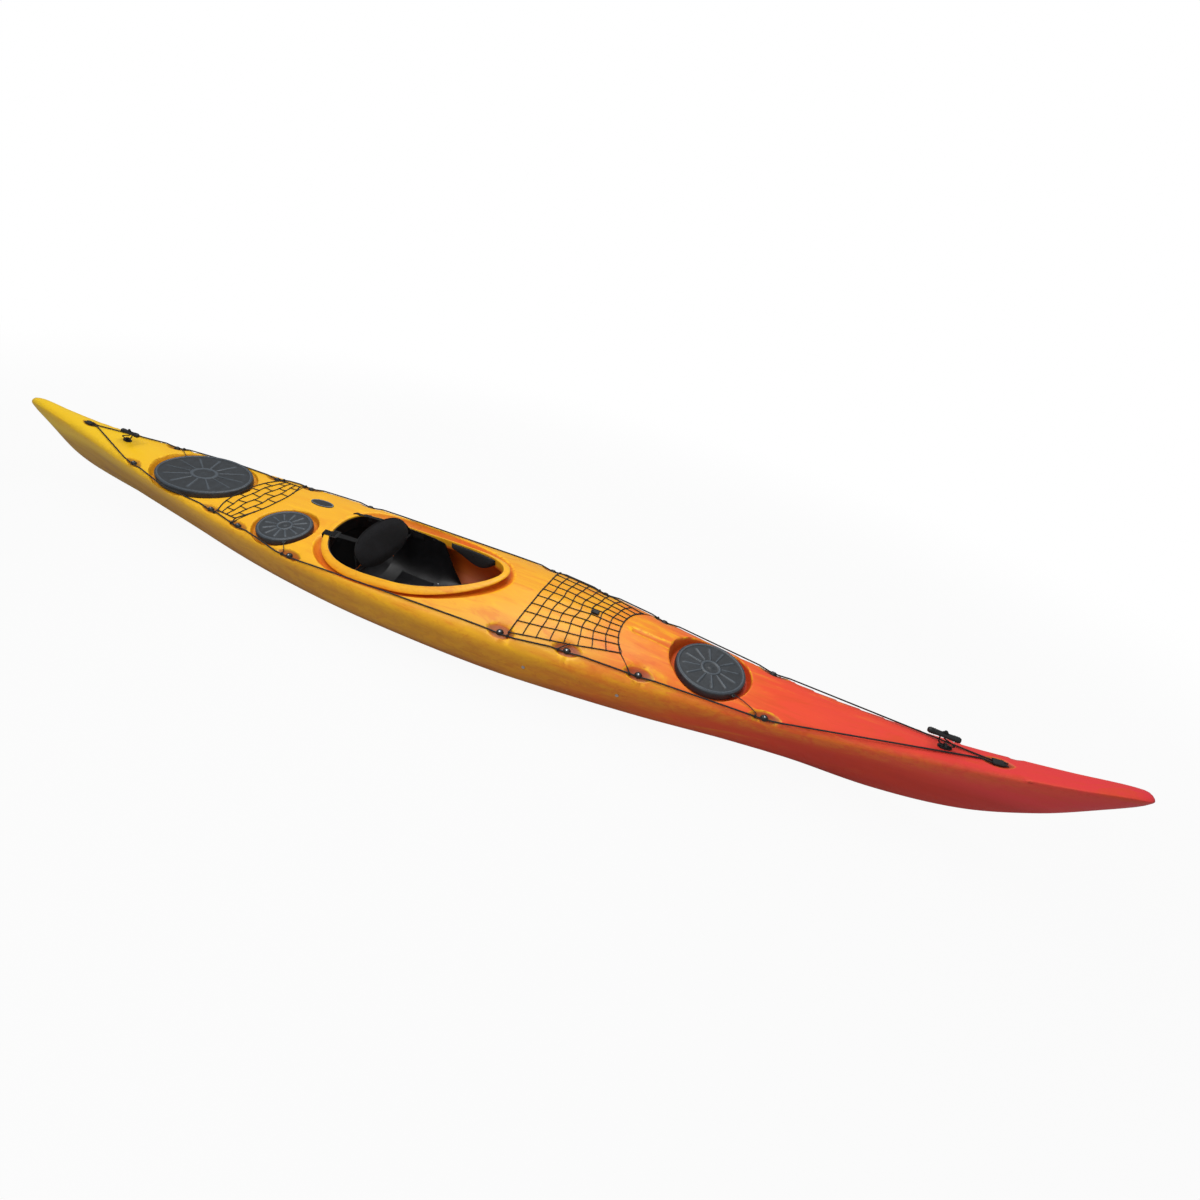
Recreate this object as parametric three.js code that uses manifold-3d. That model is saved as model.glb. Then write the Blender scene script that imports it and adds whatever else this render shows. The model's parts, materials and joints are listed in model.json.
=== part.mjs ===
// Sea kayak: a one-piece moulded hull with three hatches, a fitted cockpit, deck lines and deck nets.
// Millimetres. +X runs to the bow, +Y to port and +Z up. The origin lies on the keel under the middle.
import * as THREE from "three";
import { mergeVertices } from "three/addons/utils/BufferGeometryUtils.js";
import Module from "manifold-3d";

const wasm = await Module();
wasm.setup();

// Hull sizes
const LENGTH = 5100;
const BEAM = 602; // between the sheer corners, before they are rounded
const HEIGHT = 447; // keel to the top of the bow
const WALL = 5;
const KEEL_FLAT = 70; // half breadth of the flat keel strip, before its corners are rounded
const KEEL_TAPER = 1.5; // how fast the keel strip narrows with the beam
const TIP_ROUND = 26; // length over which each end is rounded off
const TIP_STEPS = [1, 0.85, 0.5]; // stations over that length, from the very end inwards
const TIP_BLUNT = 0.02; // least square of an end's scale
const HALF_LENGTH = LENGTH / 2;

// Gaps and overruns
const FIT = 0.3; // between pieces that touch
const CORD_FIT = 0.4; // round a cord in its hole
const OVERRUN = 40; // how far a cutter runs past what it cuts

// Facets of round things
const PIN_FACETS = 6;
const ROUND_FACETS = 8;
const BAR_FACETS = 10;
const PLATE_FACETS = 16;
const KNOT_FACETS = [6, 4];
const HOLE_SEGMENTS = 4;
const LOOP_CORD_FACETS = 5;

// Lines of the hull from stern to bow: stations as shares of half the length, heights as shares of
// HEIGHT, sheer breadths as shares of half BEAM, and the chine as shares of the sheer breadth and
// of the side's height. A keel height under nought counts as nought, so the keel is flat amidships
// and rises gently towards both ends.
const STATION_SHARES = [
  -1, -0.974, -0.913, -0.83, -0.679, -0.528, -0.377, -0.226, -0.075, 0.094,
  0.226, 0.377, 0.491, 0.604, 0.717, 0.83, 0.913, 0.974, 1,
];
const KEEL_SHARES = [
  0.66, 0.538, 0.262, 0.127, 0.04, 0.021, 0.0145, 0.009, -0.004, -0.004,
  0.009, 0.0145, 0.019, 0.028, 0.056, 0.2, 0.456, 0.751, 0.895,
];
const SHEER_SHARES = [
  0.06, 0.1, 0.15, 0.235, 0.47, 0.681, 0.85, 0.958, 1, 0.984,
  0.882, 0.706, 0.562, 0.415, 0.284, 0.192, 0.144, 0.105, 0.08,
];
const SHEER_HEIGHT_SHARES = [
  0.746, 0.759, 0.718, 0.675, 0.628, 0.594, 0.568, 0.555, 0.555, 0.568,
  0.568, 0.559, 0.568, 0.591, 0.656, 0.757, 0.858, 0.95, 0.975,
];
const RIDGE_SHARES = [
  0.789, 0.809, 0.77, 0.727, 0.662, 0.624, 0.617, 0.645, 0.667, 0.742,
  0.753, 0.71, 0.641, 0.645, 0.701, 0.774, 0.868, 0.968, 1,
];
const CHINE_SHARES = [
  0.5, 0.5, 0.51, 0.54, 0.66, 0.78, 0.88, 0.93, 0.94, 0.93,
  0.91, 0.84, 0.72, 0.62, 0.54, 0.51, 0.5, 0.5, 0.5,
];
const CHINE_HEIGHT_SHARES = [
  0.346, 0.345, 0.338, 0.32, 0.27, 0.245, 0.21, 0.197, 0.195, 0.19,
  0.187, 0.19, 0.227, 0.27, 0.32, 0.338, 0.35, 0.35, 0.35,
];
const SHOULDER_SHARE = 0.62; // deck shoulder, of the sheer breadth
const CROWN_SHARE = 0.8; // deck shoulder, of the ridge's rise over the sheer
const CORNER_SHARES = [0.5, 0.5, 0.3, 0.5]; // how much of each side a section corner rounds off

// Cockpit coaming: an oval with a square back and a round front, draped over the crowned deck
const COAMING = {
  centreShare: -0.0745,
  halfLength: 395,
  halfWidth: 198,
  backExponent: 3.4,
  frontExponent: 1.9,
  taperShare: 0.105,
  proud: 41.783,
  riseShare: 0.044,
  crownRadius: 288,
  wall: 6,
  lip: 28,
  lipThickness: 5,
  lipDroop: 3,
  bunching: 0.35,
};
const GUTTER = { depth: 40, floor: 41, bank: 64 }; // moulded channel round the coaming

// Hatches: places as shares, half sizes over the cover, and how far the cover stands over the deck
const HATCHES = [
  {
    name: "front",
    alongShare: 0.4408,
    acrossShare: 0,
    halfLength: 138.5,
    halfWidth: 138.5,
    proud: -11,
    pitchAngle: 2.2,
    rollAngle: 0,
    ribs: 12,
    facets: 22,
    lugAngle: -40,
    tether: { side: "starboard", fittingIndex: 7, step: -1 },
  },
  {
    name: "day",
    alongShare: -0.3157,
    acrossShare: -0.463,
    halfLength: 116.5,
    halfWidth: 116.5,
    proud: 6,
    pitchAngle: 0,
    rollAngle: 3,
    ribs: 12,
    facets: 20,
    lugAngle: -48,
    tether: { side: "starboard", fittingIndex: 3, step: -1 },
  },
  {
    name: "rear",
    alongShare: -0.5525,
    acrossShare: 0,
    halfLength: 240.5,
    halfWidth: 173,
    proud: 8,
    pitchAngle: -0.8,
    rollAngle: 0,
    ribs: 12,
    facets: 24,
    lugAngle: 152,
    tether: { side: "port", fittingIndex: 0, step: 1 },
  },
];
const MOAT = { clearance: 15, draft: 8, hole: 22 };
const RIM = { inner: 20, toe: 4, flange: 2.5, wall: 5, bead: 4, beadHeight: 5, height: 25.3 };
const COVER = {
  height: 36,
  top: 10.2,
  skirt: 10.4,
  hem: 3.5,
  bevel: 2.6,
  edge: 7,
  band: 6,
  slope: 2,
  groove: 2.5,
  grooveWidth: 5,
  panel: 1.4,
  hubShare: 0.3,
  hubWallShare: 0.035,
  ribWidth: 6,
  ribRise: 1.4,
  ribSink: 1.5,
  ribShares: [0.4, 0.76],
};
const LUG = { reach: 12, root: 5, width: 14, thickness: 6, drop: 9, hole: 2.4 };

// Deck fittings in pairs, from stern to bow: along the hull and across the sheer breadth
const FITTING_SHARES = [
  [-0.6737, 0.783],
  [-0.4545, 0.814],
  [-0.3824, 0.851],
  [-0.2569, 0.909],
  [0.1329, 0.832],
  [0.2376, 0.794],
  [0.3475, 0.8],
  [0.5329, 0.842],
];
const FITTING = {
  length: 30,
  width: 25,
  height: 12,
  outlineShares: [[-1, 0], [1, 0], [1, 0.66], [0.78, 1], [0.16, 1], [-1, 0.4]],
  holeOut: 6,
  holeHeight: 5.6,
  holeSegments: 3,
  screwIn: 5.2,
  screw: 4.2,
  screwTop: 8.2,
};
const LEAF = { length: 128, width: 44, depth: 7 }; // moulded pocket under a fitting
const LEAF_BELLY = 0.42; // how full a pocket's sides are, as a share of its half length
const END_FITTING_SHARES = [-0.8416, 0.8333];
const END_FITTING = {
  length: 34,
  width: 26,
  height: 11,
  spread: 5.8,
  outlineShares: [[-1, 0], [1, 0], [1, 0.7], [0.8, 1], [-0.8, 1], [-1, 0.7]],
};
const END_LEAF = { length: 110, width: 44, depth: 6 };

// Cords
const LINE_DETOUR = { span: 1, hatchIndex: 2, angles: [110, 101, 92], clearance: 3.2 };
const LINE = { radius: 3, sides: 5, lift: 2.4, spacing: 200, knot: 5 };
const LOOP_FACETS = 4;
const TETHER = { radius: 1.6, sides: 4, loop: 5.4, loopSides: 6, reach: 34, knot: 3.4, steps: 6 };

// Carrying toggles
const TOGGLE_ENDS = [
  { name: "stern", share: -0.745, shift: 34 },
  { name: "bow", share: 0.7686, shift: -22 },
];
const PAD_EYE = {
  length: 48,
  width: 28,
  base: 4,
  arch: 8,
  span: 24,
  height: 17,
  hole: 4.4,
  holeHeight: 10,
  screw: 3.6,
  screwHead: 1.6,
  screwPlaceShare: 0.36,
};
const TOGGLE = {
  length: 112,
  radius: 11,
  waist: 9,
  nose: 0.7,
  shoulderShare: 0.44,
  bandShare: 0.34,
  rise: 50,
  cord: 2.6,
  spread: 8,
  foot: 26,
  facets: 8,
  knot: 5.5,
};

// Nets
const NET = { cord: 3.6, thickness: 3, lift: 5, border: 4.4, inboard: 17, round: 2.4 };
const NET_STRAIGHT = 0.15; // sine below which two sides of a cell count as one line
const FRONT_NET = {
  rows: 8,
  columns: 9,
  aftBow: 14,
  frontBow: 56,
  fittingIndexes: [4, 5, 6],
  staggered: false,
};
const REAR_NET = {
  rows: 4,
  columns: 5,
  hatch: "rear",
  gap: 1.9238,
  frontBow: -42,
  fittingIndexes: [1, 2],
  staggered: true,
};
const NET_FITTING = { rowIndex: 5, length: 24, width: 20, height: 9, hook: 7, hookHeight: 3 };
const DECK_PLATE = {
  alongShare: -0.3216,
  acrossShare: 0.449,
  length: 124,
  width: 56,
  thickness: 5,
  depth: 2.6,
  ring: 5,
  dish: 1,
};
const TROUGH = { startShare: 0.305, endShare: 0.374, width: 34, depth: 6 };

// Bulkheads
const BULKHEADS = { front_bulkhead: 0.361, seat_bulkhead: -0.2375, rear_bulkhead: -0.431 };
const BULKHEAD_THICKNESS = 8;

// Seat, bolted inside the coaming: stations from back to front with the wing's and base's heights
const SEAT = {
  backShare: -0.1804,
  frontShare: -0.0337,
  overBolts: 7.0625,
  thickness: 4,
  slack: 1,
  squareness: 4,
  columns: 10,
  stationShares: [
    [0, 0.97, 0.12],
    [0.17, 1, 0.09],
    [0.36, 1, 0.08],
    [0.56, 1, 0.085],
    [0.72, 0.98, 0.1],
    [0.79, 0.76, 0.125],
    [0.88, 0.5, 0.16],
    [1, 0.26, 0.19],
  ],
  boltShares: [-0.169, -0.098],
  padRows: [1, 4],
  padLift: 0.8,
  padColumns: [3, 7],
  padThickness: 18,
  padEdgeShare: 0.45,
  strapShare: -0.119,
  strapHeightShare: 0.93,
};
const WALL_BOLT = { drop: 24, radius: 3, head: 6, headThickness: 2.5, nut: 5, nutThickness: 4, slack: 2 };
const BACKREST = {
  alongShare: -0.1576,
  rise: 22,
  halfWidth: 168,
  halfHeight: 84,
  exponent: 2.3,
  facets: 18,
  leanAngle: 26.6,
  bend: 12,
  shell: 4,
  shellShare: 0.92,
  pad: 24,
  padLift: 0.9,
  edge: 9,
  sideShare: 0.94,
  sideRise: 0.72,
  faceShare: 0.72,
  crown: 1.08,
  bar: 5,
  barUp: 60,
  barBack: 8,
  barShort: 3,
  ribs: 84,
  ribWidth: 6,
  ribHeight: 40,
  socket: 10,
  socketDepth: 16,
  strapUp: 50,
};
const STRAP = {
  width: 25,
  thickness: 1.8,
  across: 101,
  buckleLength: 34,
  buckleWidth: 34,
  buckle: 6,
  buckleShare: 0.3,
  tab: 22,
  foot: 6,
  slack: 1.5,
  turnBack: 37.5,
};
const BRACE = {
  startShare: -0.0585,
  endShare: 0.047,
  depth: 74,
  top: 6,
  thickness: 14,
  slack: 2,
  stations: 6,
  endDepthShare: 0.35,
  fullnessShares: [1, 1.2, 0.8],
  leanExponent: 1.5,
  boltShares: [-0.005],
};

// Footrests
const RAIL = { height: 178, tall: 26, thickness: 8, slot: 8, standoff: 9, overhang: 22 };
const BOLT = { shares: [0.182, 0.327], radius: 3, head: 7, headThickness: 3, spacer: 4.5, clearance: 0.6 };
const PEG = {
  share: 0.6,
  width: 96,
  tall: 84,
  thickness: 9,
  rise: 6,
  forward: 10,
  carriage: 58,
  carriageThickness: 6,
  tongue: 40,
  keeper: 15,
  keeperThickness: 3,
};

// Finishes
const FINISHES = {
  hull: { color: 0xe8941c, roughness: 0.45, metalness: 0 },
  rubber: { color: 0x2b3440, roughness: 0.6, metalness: 0 },
  plastic: { color: 0x141416, roughness: 0.5, metalness: 0 },
  cord: { color: 0x0e0f0e, roughness: 0.85, metalness: 0 },
  fabric: { color: 0x17171a, roughness: 0.9, metalness: 0 },
  foam: { color: 0x101012, roughness: 0.95, metalness: 0 },
  alloy: { color: 0xa9adb2, roughness: 0.4, metalness: 0.8 },
};

const group = new THREE.Group();

// Adds a named mesh to the boat from a geometry or a solid.
function addPart(name, shape, finish) {
  const geometry = shape.isBufferGeometry ? shape : geometryOf(shape);
  const mesh = new THREE.Mesh(geometry, new THREE.MeshStandardMaterial(FINISHES[finish]));
  mesh.name = name;
  group.add(mesh);
  return mesh;
}

// A solid from a closed geometry, for joining and cutting.
function solidOf(geometry) {
  const bare = geometry.clone();
  bare.deleteAttribute("normal");
  bare.deleteAttribute("uv");
  const merged = mergeVertices(bare);
  return new wasm.Manifold(
    new wasm.Mesh({
      numProp: 3,
      vertProperties: merged.attributes.position.array,
      triVerts: new Uint32Array(merged.index.array),
    }),
  );
}

// A geometry from a solid.
function geometryOf(solid) {
  const mesh = solid.getMesh();
  const geometry = new THREE.BufferGeometry();
  geometry.setAttribute("position", new THREE.BufferAttribute(mesh.vertProperties, 3));
  geometry.setIndex(new THREE.BufferAttribute(mesh.triVerts, 1));
  return geometry;
}

// A closed skin through rows of points. A row of one point closes an end, and with ring set the
// last row joins the first.
function skin(rows, ring = false) {
  const positions = [];
  const triangles = [];
  const starts = rows.map((row) => {
    const start = positions.length / 3;
    row.forEach((point) => positions.push(point.x, point.y, point.z));
    return start;
  });
  const spans = ring ? rows.length : rows.length - 1;
  for (let i = 0; i < spans; i++) {
    const next = (i + 1) % rows.length;
    const count = Math.max(rows[i].length, rows[next].length);
    for (let j = 0; j < count; j++) {
      const k = (j + 1) % count;
      const [a, b] = rows[i].length > 1 ? [starts[i] + j, starts[i] + k] : [starts[i], starts[i]];
      const ahead = starts[next];
      const [d, c] = rows[next].length > 1 ? [ahead + j, ahead + k] : [ahead, ahead];
      if (a !== b) triangles.push(a, b, c);
      if (c !== d) triangles.push(a, c, d);
    }
  }
  const geometry = new THREE.BufferGeometry();
  geometry.setAttribute("position", new THREE.Float32BufferAttribute(positions, 3));
  geometry.setIndex(triangles);
  return geometry;
}

// A value of a table at a place along the hull, on a smooth curve through the table.
function fair(table, along) {
  const share = THREE.MathUtils.clamp(along / HALF_LENGTH, -1, 1);
  let i = STATION_SHARES.findIndex((station) => station > share) - 1;
  if (i < 0) i = STATION_SHARES.length - 2;
  const slope = (n) => {
    const low = Math.max(n - 1, 0);
    const high = Math.min(n + 1, table.length - 1);
    return (table[high] - table[low]) / (STATION_SHARES[high] - STATION_SHARES[low]);
  };
  const step = STATION_SHARES[i + 1] - STATION_SHARES[i];
  const t = (share - STATION_SHARES[i]) / step;
  const rise = table[i + 1] - table[i];
  const [start, end] = [slope(i) * step, slope(i + 1) * step];
  return table[i] + t * (start + t * (3 * rise - 2 * start - end + t * (start + end - 2 * rise)));
}

const keelHeight = (x) => Math.max(0, fair(KEEL_SHARES, x)) * HEIGHT;
const sheerHalf = (x) => (fair(SHEER_SHARES, x) * BEAM) / 2;
const sheerHeight = (x) => fair(SHEER_HEIGHT_SHARES, x) * HEIGHT;
const ridgeHeight = (x) => fair(RIDGE_SHARES, x) * HEIGHT;

// Corners of half a cross-section, from the keel to the deck ridge.
function sectionCorners(x) {
  const [keel, half, sheer, ridge] = [keelHeight(x), sheerHalf(x), sheerHeight(x), ridgeHeight(x)];
  const fullness = Math.min(1, half / (BEAM / 2)) ** KEEL_TAPER;
  return [
    new THREE.Vector2(0, keel),
    new THREE.Vector2(KEEL_FLAT * fullness, keel),
    new THREE.Vector2(half * fair(CHINE_SHARES, x), keel + (sheer - keel) * fair(CHINE_HEIGHT_SHARES, x)),
    new THREE.Vector2(half, sheer),
    new THREE.Vector2(half * SHOULDER_SHARE, sheer + (ridge - sheer) * CROWN_SHARE),
    new THREE.Vector2(0, ridge),
  ];
}

// Half a cross-section with rounded corners, moved inwards by inset.
function halfSection(x, steps, inset = 0) {
  const corners = sectionCorners(x);
  const points = [corners[0]];
  steps.forEach((count, i) => {
    const corner = corners[i + 1];
    const start = corner.clone().lerp(corners[i], CORNER_SHARES[i]);
    const end = corner.clone().lerp(corners[i + 2], CORNER_SHARES[i]);
    const arc = new THREE.QuadraticBezierCurve(start, corner, end).getPoints(count);
    const meets = i > 0 && CORNER_SHARES[i - 1] + CORNER_SHARES[i] >= 1;
    points.push(...arc.slice(meets ? 1 : 0));
  });
  points.push(corners[5]);
  return points.map((point, i) => {
    const before = points[Math.max(i - 1, 0)];
    const after = points[Math.min(i + 1, points.length - 1)];
    const along = after.clone().sub(before).normalize();
    const ends = i === 0 || i === points.length - 1;
    const straight = new THREE.Vector2(0, Math.sign(point.y - corners[3].y));
    const normal = ends ? straight : new THREE.Vector2(along.y, -along.x);
    return point.clone().addScaledVector(normal, -inset);
  });
}

// A whole cross-section as a loop, up the port side and down the starboard side.
function sectionLoop(x, steps, inset, scale) {
  const half = halfSection(x, steps, inset);
  const middle = (half[0].y + half[half.length - 1].y) / 2;
  const at = (side) => (point) =>
    new THREE.Vector3(x, side * point.x * scale, middle + (point.y - middle) * scale);
  return [...half.map(at(1)), ...half.slice(1, -1).reverse().map(at(-1))];
}

const OUTER_STEPS = [1, 3, 3, 2];
const INNER_STEPS = [1, 2, 3, 2];
const OUTER_STATIONS = 28;
const INNER_STATIONS = 20;
const CLUSTER = 1.35; // draws stations towards the ends, as an angle
const CAVITY_END_SHARES = [-0.965, 0.96];

// The hull as a solid, from tip to tip, or its hollow when inset.
function hullLoft(inset = 0) {
  const rows = [];
  const [low, high] = inset ? CAVITY_END_SHARES : [-1, 1];
  const body = (HALF_LENGTH - TIP_ROUND) / HALF_LENGTH;
  const tips = inset ? [] : [...TIP_STEPS];
  const rounded = (t) => Math.sqrt(Math.max(1 - t * t, TIP_BLUNT));
  tips.forEach((t) => rows.push([-HALF_LENGTH + TIP_ROUND * (1 - t), rounded(t)]));
  const stations = inset ? INNER_STATIONS : OUTER_STATIONS;
  for (let i = 0; i <= stations; i++) {
    const t = Math.sin(CLUSTER * ((2 * i) / stations - 1)) / Math.sin(CLUSTER);
    const share = t * body;
    if (share >= low && share <= high) rows.push([share * HALF_LENGTH, 1]);
  }
  tips.reverse().forEach((t) => rows.push([HALF_LENGTH - TIP_ROUND * (1 - t), rounded(t)]));
  const steps = inset ? INNER_STEPS : OUTER_STEPS;
  const loops = rows.map(([x, scale]) => sectionLoop(x, steps, inset, scale));
  const centre = (loop) => [new THREE.Vector3(loop[0].x, 0, (loop[0].z + loop[loop.length / 2].z) / 2)];
  return solidOf(skin([centre(loops[0]), ...loops, centre(loops[loops.length - 1])]));
}

// The outside of the hull before any hollow is pressed into it, for measuring on.
const fairSkin = new THREE.Mesh(geometryOf(hullLoft()));
const innerSkin = new THREE.Mesh(geometryOf(hullLoft(WALL)));
const probe = new THREE.Raycaster();

function firstHit(from, towards) {
  probe.set(from, towards);
  return probe.intersectObject(fairSkin)[0].point;
}

// Height of the deck over a place.
function deckHeight(x, y) {
  return firstHit(new THREE.Vector3(x, y, 2 * HEIGHT), new THREE.Vector3(0, 0, -1)).z;
}

const PROBE = 6; // step for measuring the deck's slope
const deckPoint = (x, y, lift) => new THREE.Vector3(x, y, deckHeight(x, y) + lift);

// A frame that lies on the deck: x along heading, z along the deck's normal.
function deckFrame(x, y, heading = 0, lift = 0) {
  const z = deckHeight(x, y);
  const along = new THREE.Vector3(2 * PROBE, 0, deckHeight(x + PROBE, y) - deckHeight(x - PROBE, y));
  const across = new THREE.Vector3(0, 2 * PROBE, deckHeight(x, y + PROBE) - deckHeight(x, y - PROBE));
  const normal = along.clone().cross(across).normalize();
  const forward = new THREE.Vector3(Math.cos(heading), Math.sin(heading), 0);
  forward.addScaledVector(normal, -forward.dot(normal)).normalize();
  const side = normal.clone().cross(forward);
  const origin = new THREE.Vector3(x, y, z).addScaledVector(normal, lift);
  return new THREE.Matrix4().makeBasis(forward, side, normal).setPosition(origin);
}

// Oval shape of revolution: a profile of [share of the half sizes, offset, height] swept round.
function ovalRing(profile, halfLength, halfWidth, facets, ring = true) {
  const rows = profile.map(([share, offset, z]) => {
    if (share === 0 && offset === 0) return [new THREE.Vector3(0, 0, z)];
    return Array.from({ length: facets }, (_, i) => {
      const angle = (i / facets) * 2 * Math.PI;
      const x = (halfLength * share + offset) * Math.cos(angle);
      const y = (halfWidth * share + offset) * Math.sin(angle);
      return new THREE.Vector3(x, y, z);
    });
  });
  return skin(rows, ring);
}

const TANGENT_STEP = 0.02; // angle over which the outline's direction is measured

// The cockpit's outline at an angle, moved outwards by offset.
function coamingPoint(angle, offset) {
  const centre = COAMING.centreShare * HALF_LENGTH;
  const at = (turn) => {
    const [c, s] = [Math.cos(turn), Math.sin(turn)];
    const power = 2 / (c < 0 ? COAMING.backExponent : COAMING.frontExponent);
    const along = Math.sign(c) * Math.abs(c) ** power;
    const across = Math.sign(s) * Math.abs(s) ** power * (1 - COAMING.taperShare * along);
    return new THREE.Vector2(COAMING.halfLength * along, COAMING.halfWidth * across);
  };
  const point = at(angle);
  const tangent = at(angle + TANGENT_STEP).sub(at(angle - TANGENT_STEP)).normalize();
  return new THREE.Vector2(centre + point.x + offset * tangent.y, point.y - offset * tangent.x);
}

// Height of the coaming's draped surface.
function coamingHeight(x, y) {
  const centre = COAMING.centreShare * HALF_LENGTH;
  const level = ridgeHeight(centre) + COAMING.proud;
  return level + COAMING.riseShare * (x - centre) - (y * y) / (2 * COAMING.crownRadius);
}

// Points round the cockpit, moved outwards by offset, closer together at the bends.
function coamingOutline(offset, facets) {
  return Array.from({ length: facets }, (_, i) => {
    const turn = (i / facets) * 2 * Math.PI;
    return coamingPoint(turn - COAMING.bunching * Math.sin(2 * turn), offset);
  });
}

// A ring that follows the cockpit's outline: a profile of [offset, height, level], where level is
// "edge" for heights over the opening's edge and "lip" for heights over the draped surface itself.
function coamingRing(profile, facets, ring = true) {
  const edges = coamingOutline(0, facets);
  const rows = profile.map(([offset, rise, level]) =>
    coamingOutline(offset, facets).map((place, i) => {
      const under = level === "lip" ? place : edges[i];
      return new THREE.Vector3(place.x, place.y, coamingHeight(under.x, under.y) + rise);
    }),
  );
  if (ring) return solidOf(skin(rows, true));
  const centre = (row) => {
    const sum = row.reduce((total, point) => total.add(point), new THREE.Vector3());
    return [sum.divideScalar(row.length)];
  };
  return solidOf(skin([centre(rows[0]), ...rows, centre(rows[rows.length - 1])]));
}

const COAMING_FACETS = 34;

// The coaming wall with its outward lip.
function coaming() {
  const { wall, lip, lipThickness, lipDroop } = COAMING;
  return coamingRing(
    [
      [0, -GUTTER.depth - WALL / 2, "edge"],
      [wall, -GUTTER.depth - WALL / 2, "edge"],
      [wall, -lipThickness, "lip"],
      [lip + wall / 4, -lipThickness - lipDroop, "lip"],
      [lip, -lipDroop, "lip"],
      [0, 0, "edge"],
    ],
    COAMING_FACETS,
  );
}

// The cutter for the channel round the coaming, grown for the inside of the wall.
function gutterCutter(grow) {
  return coamingRing(
    [
      [-grow, -GUTTER.depth - grow, "edge"],
      [GUTTER.floor + grow / 2, -GUTTER.depth - grow, "edge"],
      [GUTTER.bank + grow, -GUTTER.depth / 3 - grow, "edge"],
      [GUTTER.bank + grow, OVERRUN, "edge"],
      [-grow, OVERRUN, "edge"],
    ],
    COAMING_FACETS,
  );
}

// The cutter for the cockpit opening, inside the coaming's wall.
function cockpitCutter() {
  const inset = COAMING.wall / 2;
  return coamingRing(
    [
      [inset, -GUTTER.depth - 2 * OVERRUN, "edge"],
      [inset, OVERRUN, "edge"],
    ],
    COAMING_FACETS,
    false,
  );
}

// The frame of a hatch: its origin is on the moat's floor, under the cover's centre.
function hatchFrame(hatch) {
  const x = hatch.alongShare * HALF_LENGTH;
  const y = hatch.acrossShare * sheerHalf(x);
  const turn = new THREE.Euler(
    THREE.MathUtils.degToRad(hatch.rollAngle),
    THREE.MathUtils.degToRad(hatch.pitchAngle),
    0,
  );
  const frame = new THREE.Matrix4().makeRotationFromEuler(turn);
  const floor = new THREE.Vector3(0, 0, -COVER.height).applyMatrix4(frame);
  return frame.setPosition(floor.add(new THREE.Vector3(x, y, deckHeight(x, y) + hatch.proud)));
}

// The cutter for a hatch's moat.
function moatCutter(hatch, grow) {
  const outline = [
    [0, 0, -grow],
    [1, MOAT.clearance + grow, -grow],
    [1, MOAT.clearance + MOAT.draft + grow, COVER.height],
    [1, MOAT.clearance + MOAT.draft + grow, COVER.height + 2 * OVERRUN],
    [0, 0, COVER.height + 2 * OVERRUN],
  ];
  const geometry = ovalRing(outline, hatch.halfLength, hatch.halfWidth, hatch.facets, false);
  return solidOf(geometry.applyMatrix4(hatchFrame(hatch)));
}

// The cutter for the hole under a hatch cover.
function hatchHoleCutter(hatch) {
  const outline = [
    [0, 0, -OVERRUN],
    [1, -MOAT.hole, -OVERRUN],
    [1, -MOAT.hole, OVERRUN],
    [0, 0, OVERRUN],
  ];
  const geometry = ovalRing(outline, hatch.halfLength, hatch.halfWidth, hatch.facets, false);
  return solidOf(geometry.applyMatrix4(hatchFrame(hatch)));
}

// A leaf-shaped pocket with a flat floor, depth below the deck, or the plain box that clears it.
function leafCutter(frame, leaf, grow) {
  const [half, wide] = [leaf.length / 2 + grow, leaf.width / 2 + grow];
  const outline = new THREE.Shape();
  if (grow) {
    const corners = [[-1, -1], [1, -1], [1, 1], [-1, 1]];
    outline.setFromPoints(corners.map(([x, y]) => new THREE.Vector2(x * half, y * wide)));
  } else {
    const belly = half * LEAF_BELLY;
    const corners = [[-half, 0], [-belly, -wide], [belly, -wide], [half, 0], [belly, wide], [-belly, wide]];
    outline.setFromPoints(corners.map(([x, y]) => new THREE.Vector2(x, y)));
  }
  const depth = leaf.depth + grow;
  const geometry = new THREE.ExtrudeGeometry(outline, { depth: depth + OVERRUN, bevelEnabled: false });
  geometry.translate(0, 0, -depth);
  return solidOf(geometry.applyMatrix4(frame));
}

// Places of the paired deck fittings, with the heading of the line that runs through them.
function fittingPlaces(side) {
  const ends = END_FITTING_SHARES.map((share) => new THREE.Vector2(share * HALF_LENGTH, 0));
  const places = FITTING_SHARES.map(([along, across]) => {
    const x = along * HALF_LENGTH;
    return new THREE.Vector2(x, side * across * sheerHalf(x));
  });
  const route = [ends[0], ...places, ends[1]];
  return places.map((place, i) => {
    const run = route[i + 2].clone().sub(route[i]);
    return { x: place.x, y: place.y, heading: Math.atan2(run.y, run.x) };
  });
}

const SIDES = { port: 1, starboard: -1 };
const fittingFrame = ({ x, y, heading }) => deckFrame(x, y, heading);
const endFrame = (share) => deckFrame(share * HALF_LENGTH, 0, share < 0 ? Math.PI : 0);

// The cutter for the moulded trough on the foredeck's ridge.
function troughCutter(grow) {
  const [start, end] = [TROUGH.startShare * HALF_LENGTH, TROUGH.endShare * HALF_LENGTH];
  const half = TROUGH.width / 2 + grow;
  const depth = TROUGH.depth + grow;
  const rows = [start - grow, (start + end) / 2, end + grow].map((x) => {
    const z = deckHeight(x, 0);
    return [
      new THREE.Vector3(x, -half / 2, z - depth),
      new THREE.Vector3(x, half / 2, z - depth),
      new THREE.Vector3(x, half, z + OVERRUN),
      new THREE.Vector3(x, -half, z + OVERRUN),
    ];
  });
  const centre = (row) => [row[0].clone().add(row[2]).divideScalar(2).setY(0)];
  return solidOf(skin([centre(rows[0]), ...rows, centre(rows[rows.length - 1])]));
}

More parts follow.
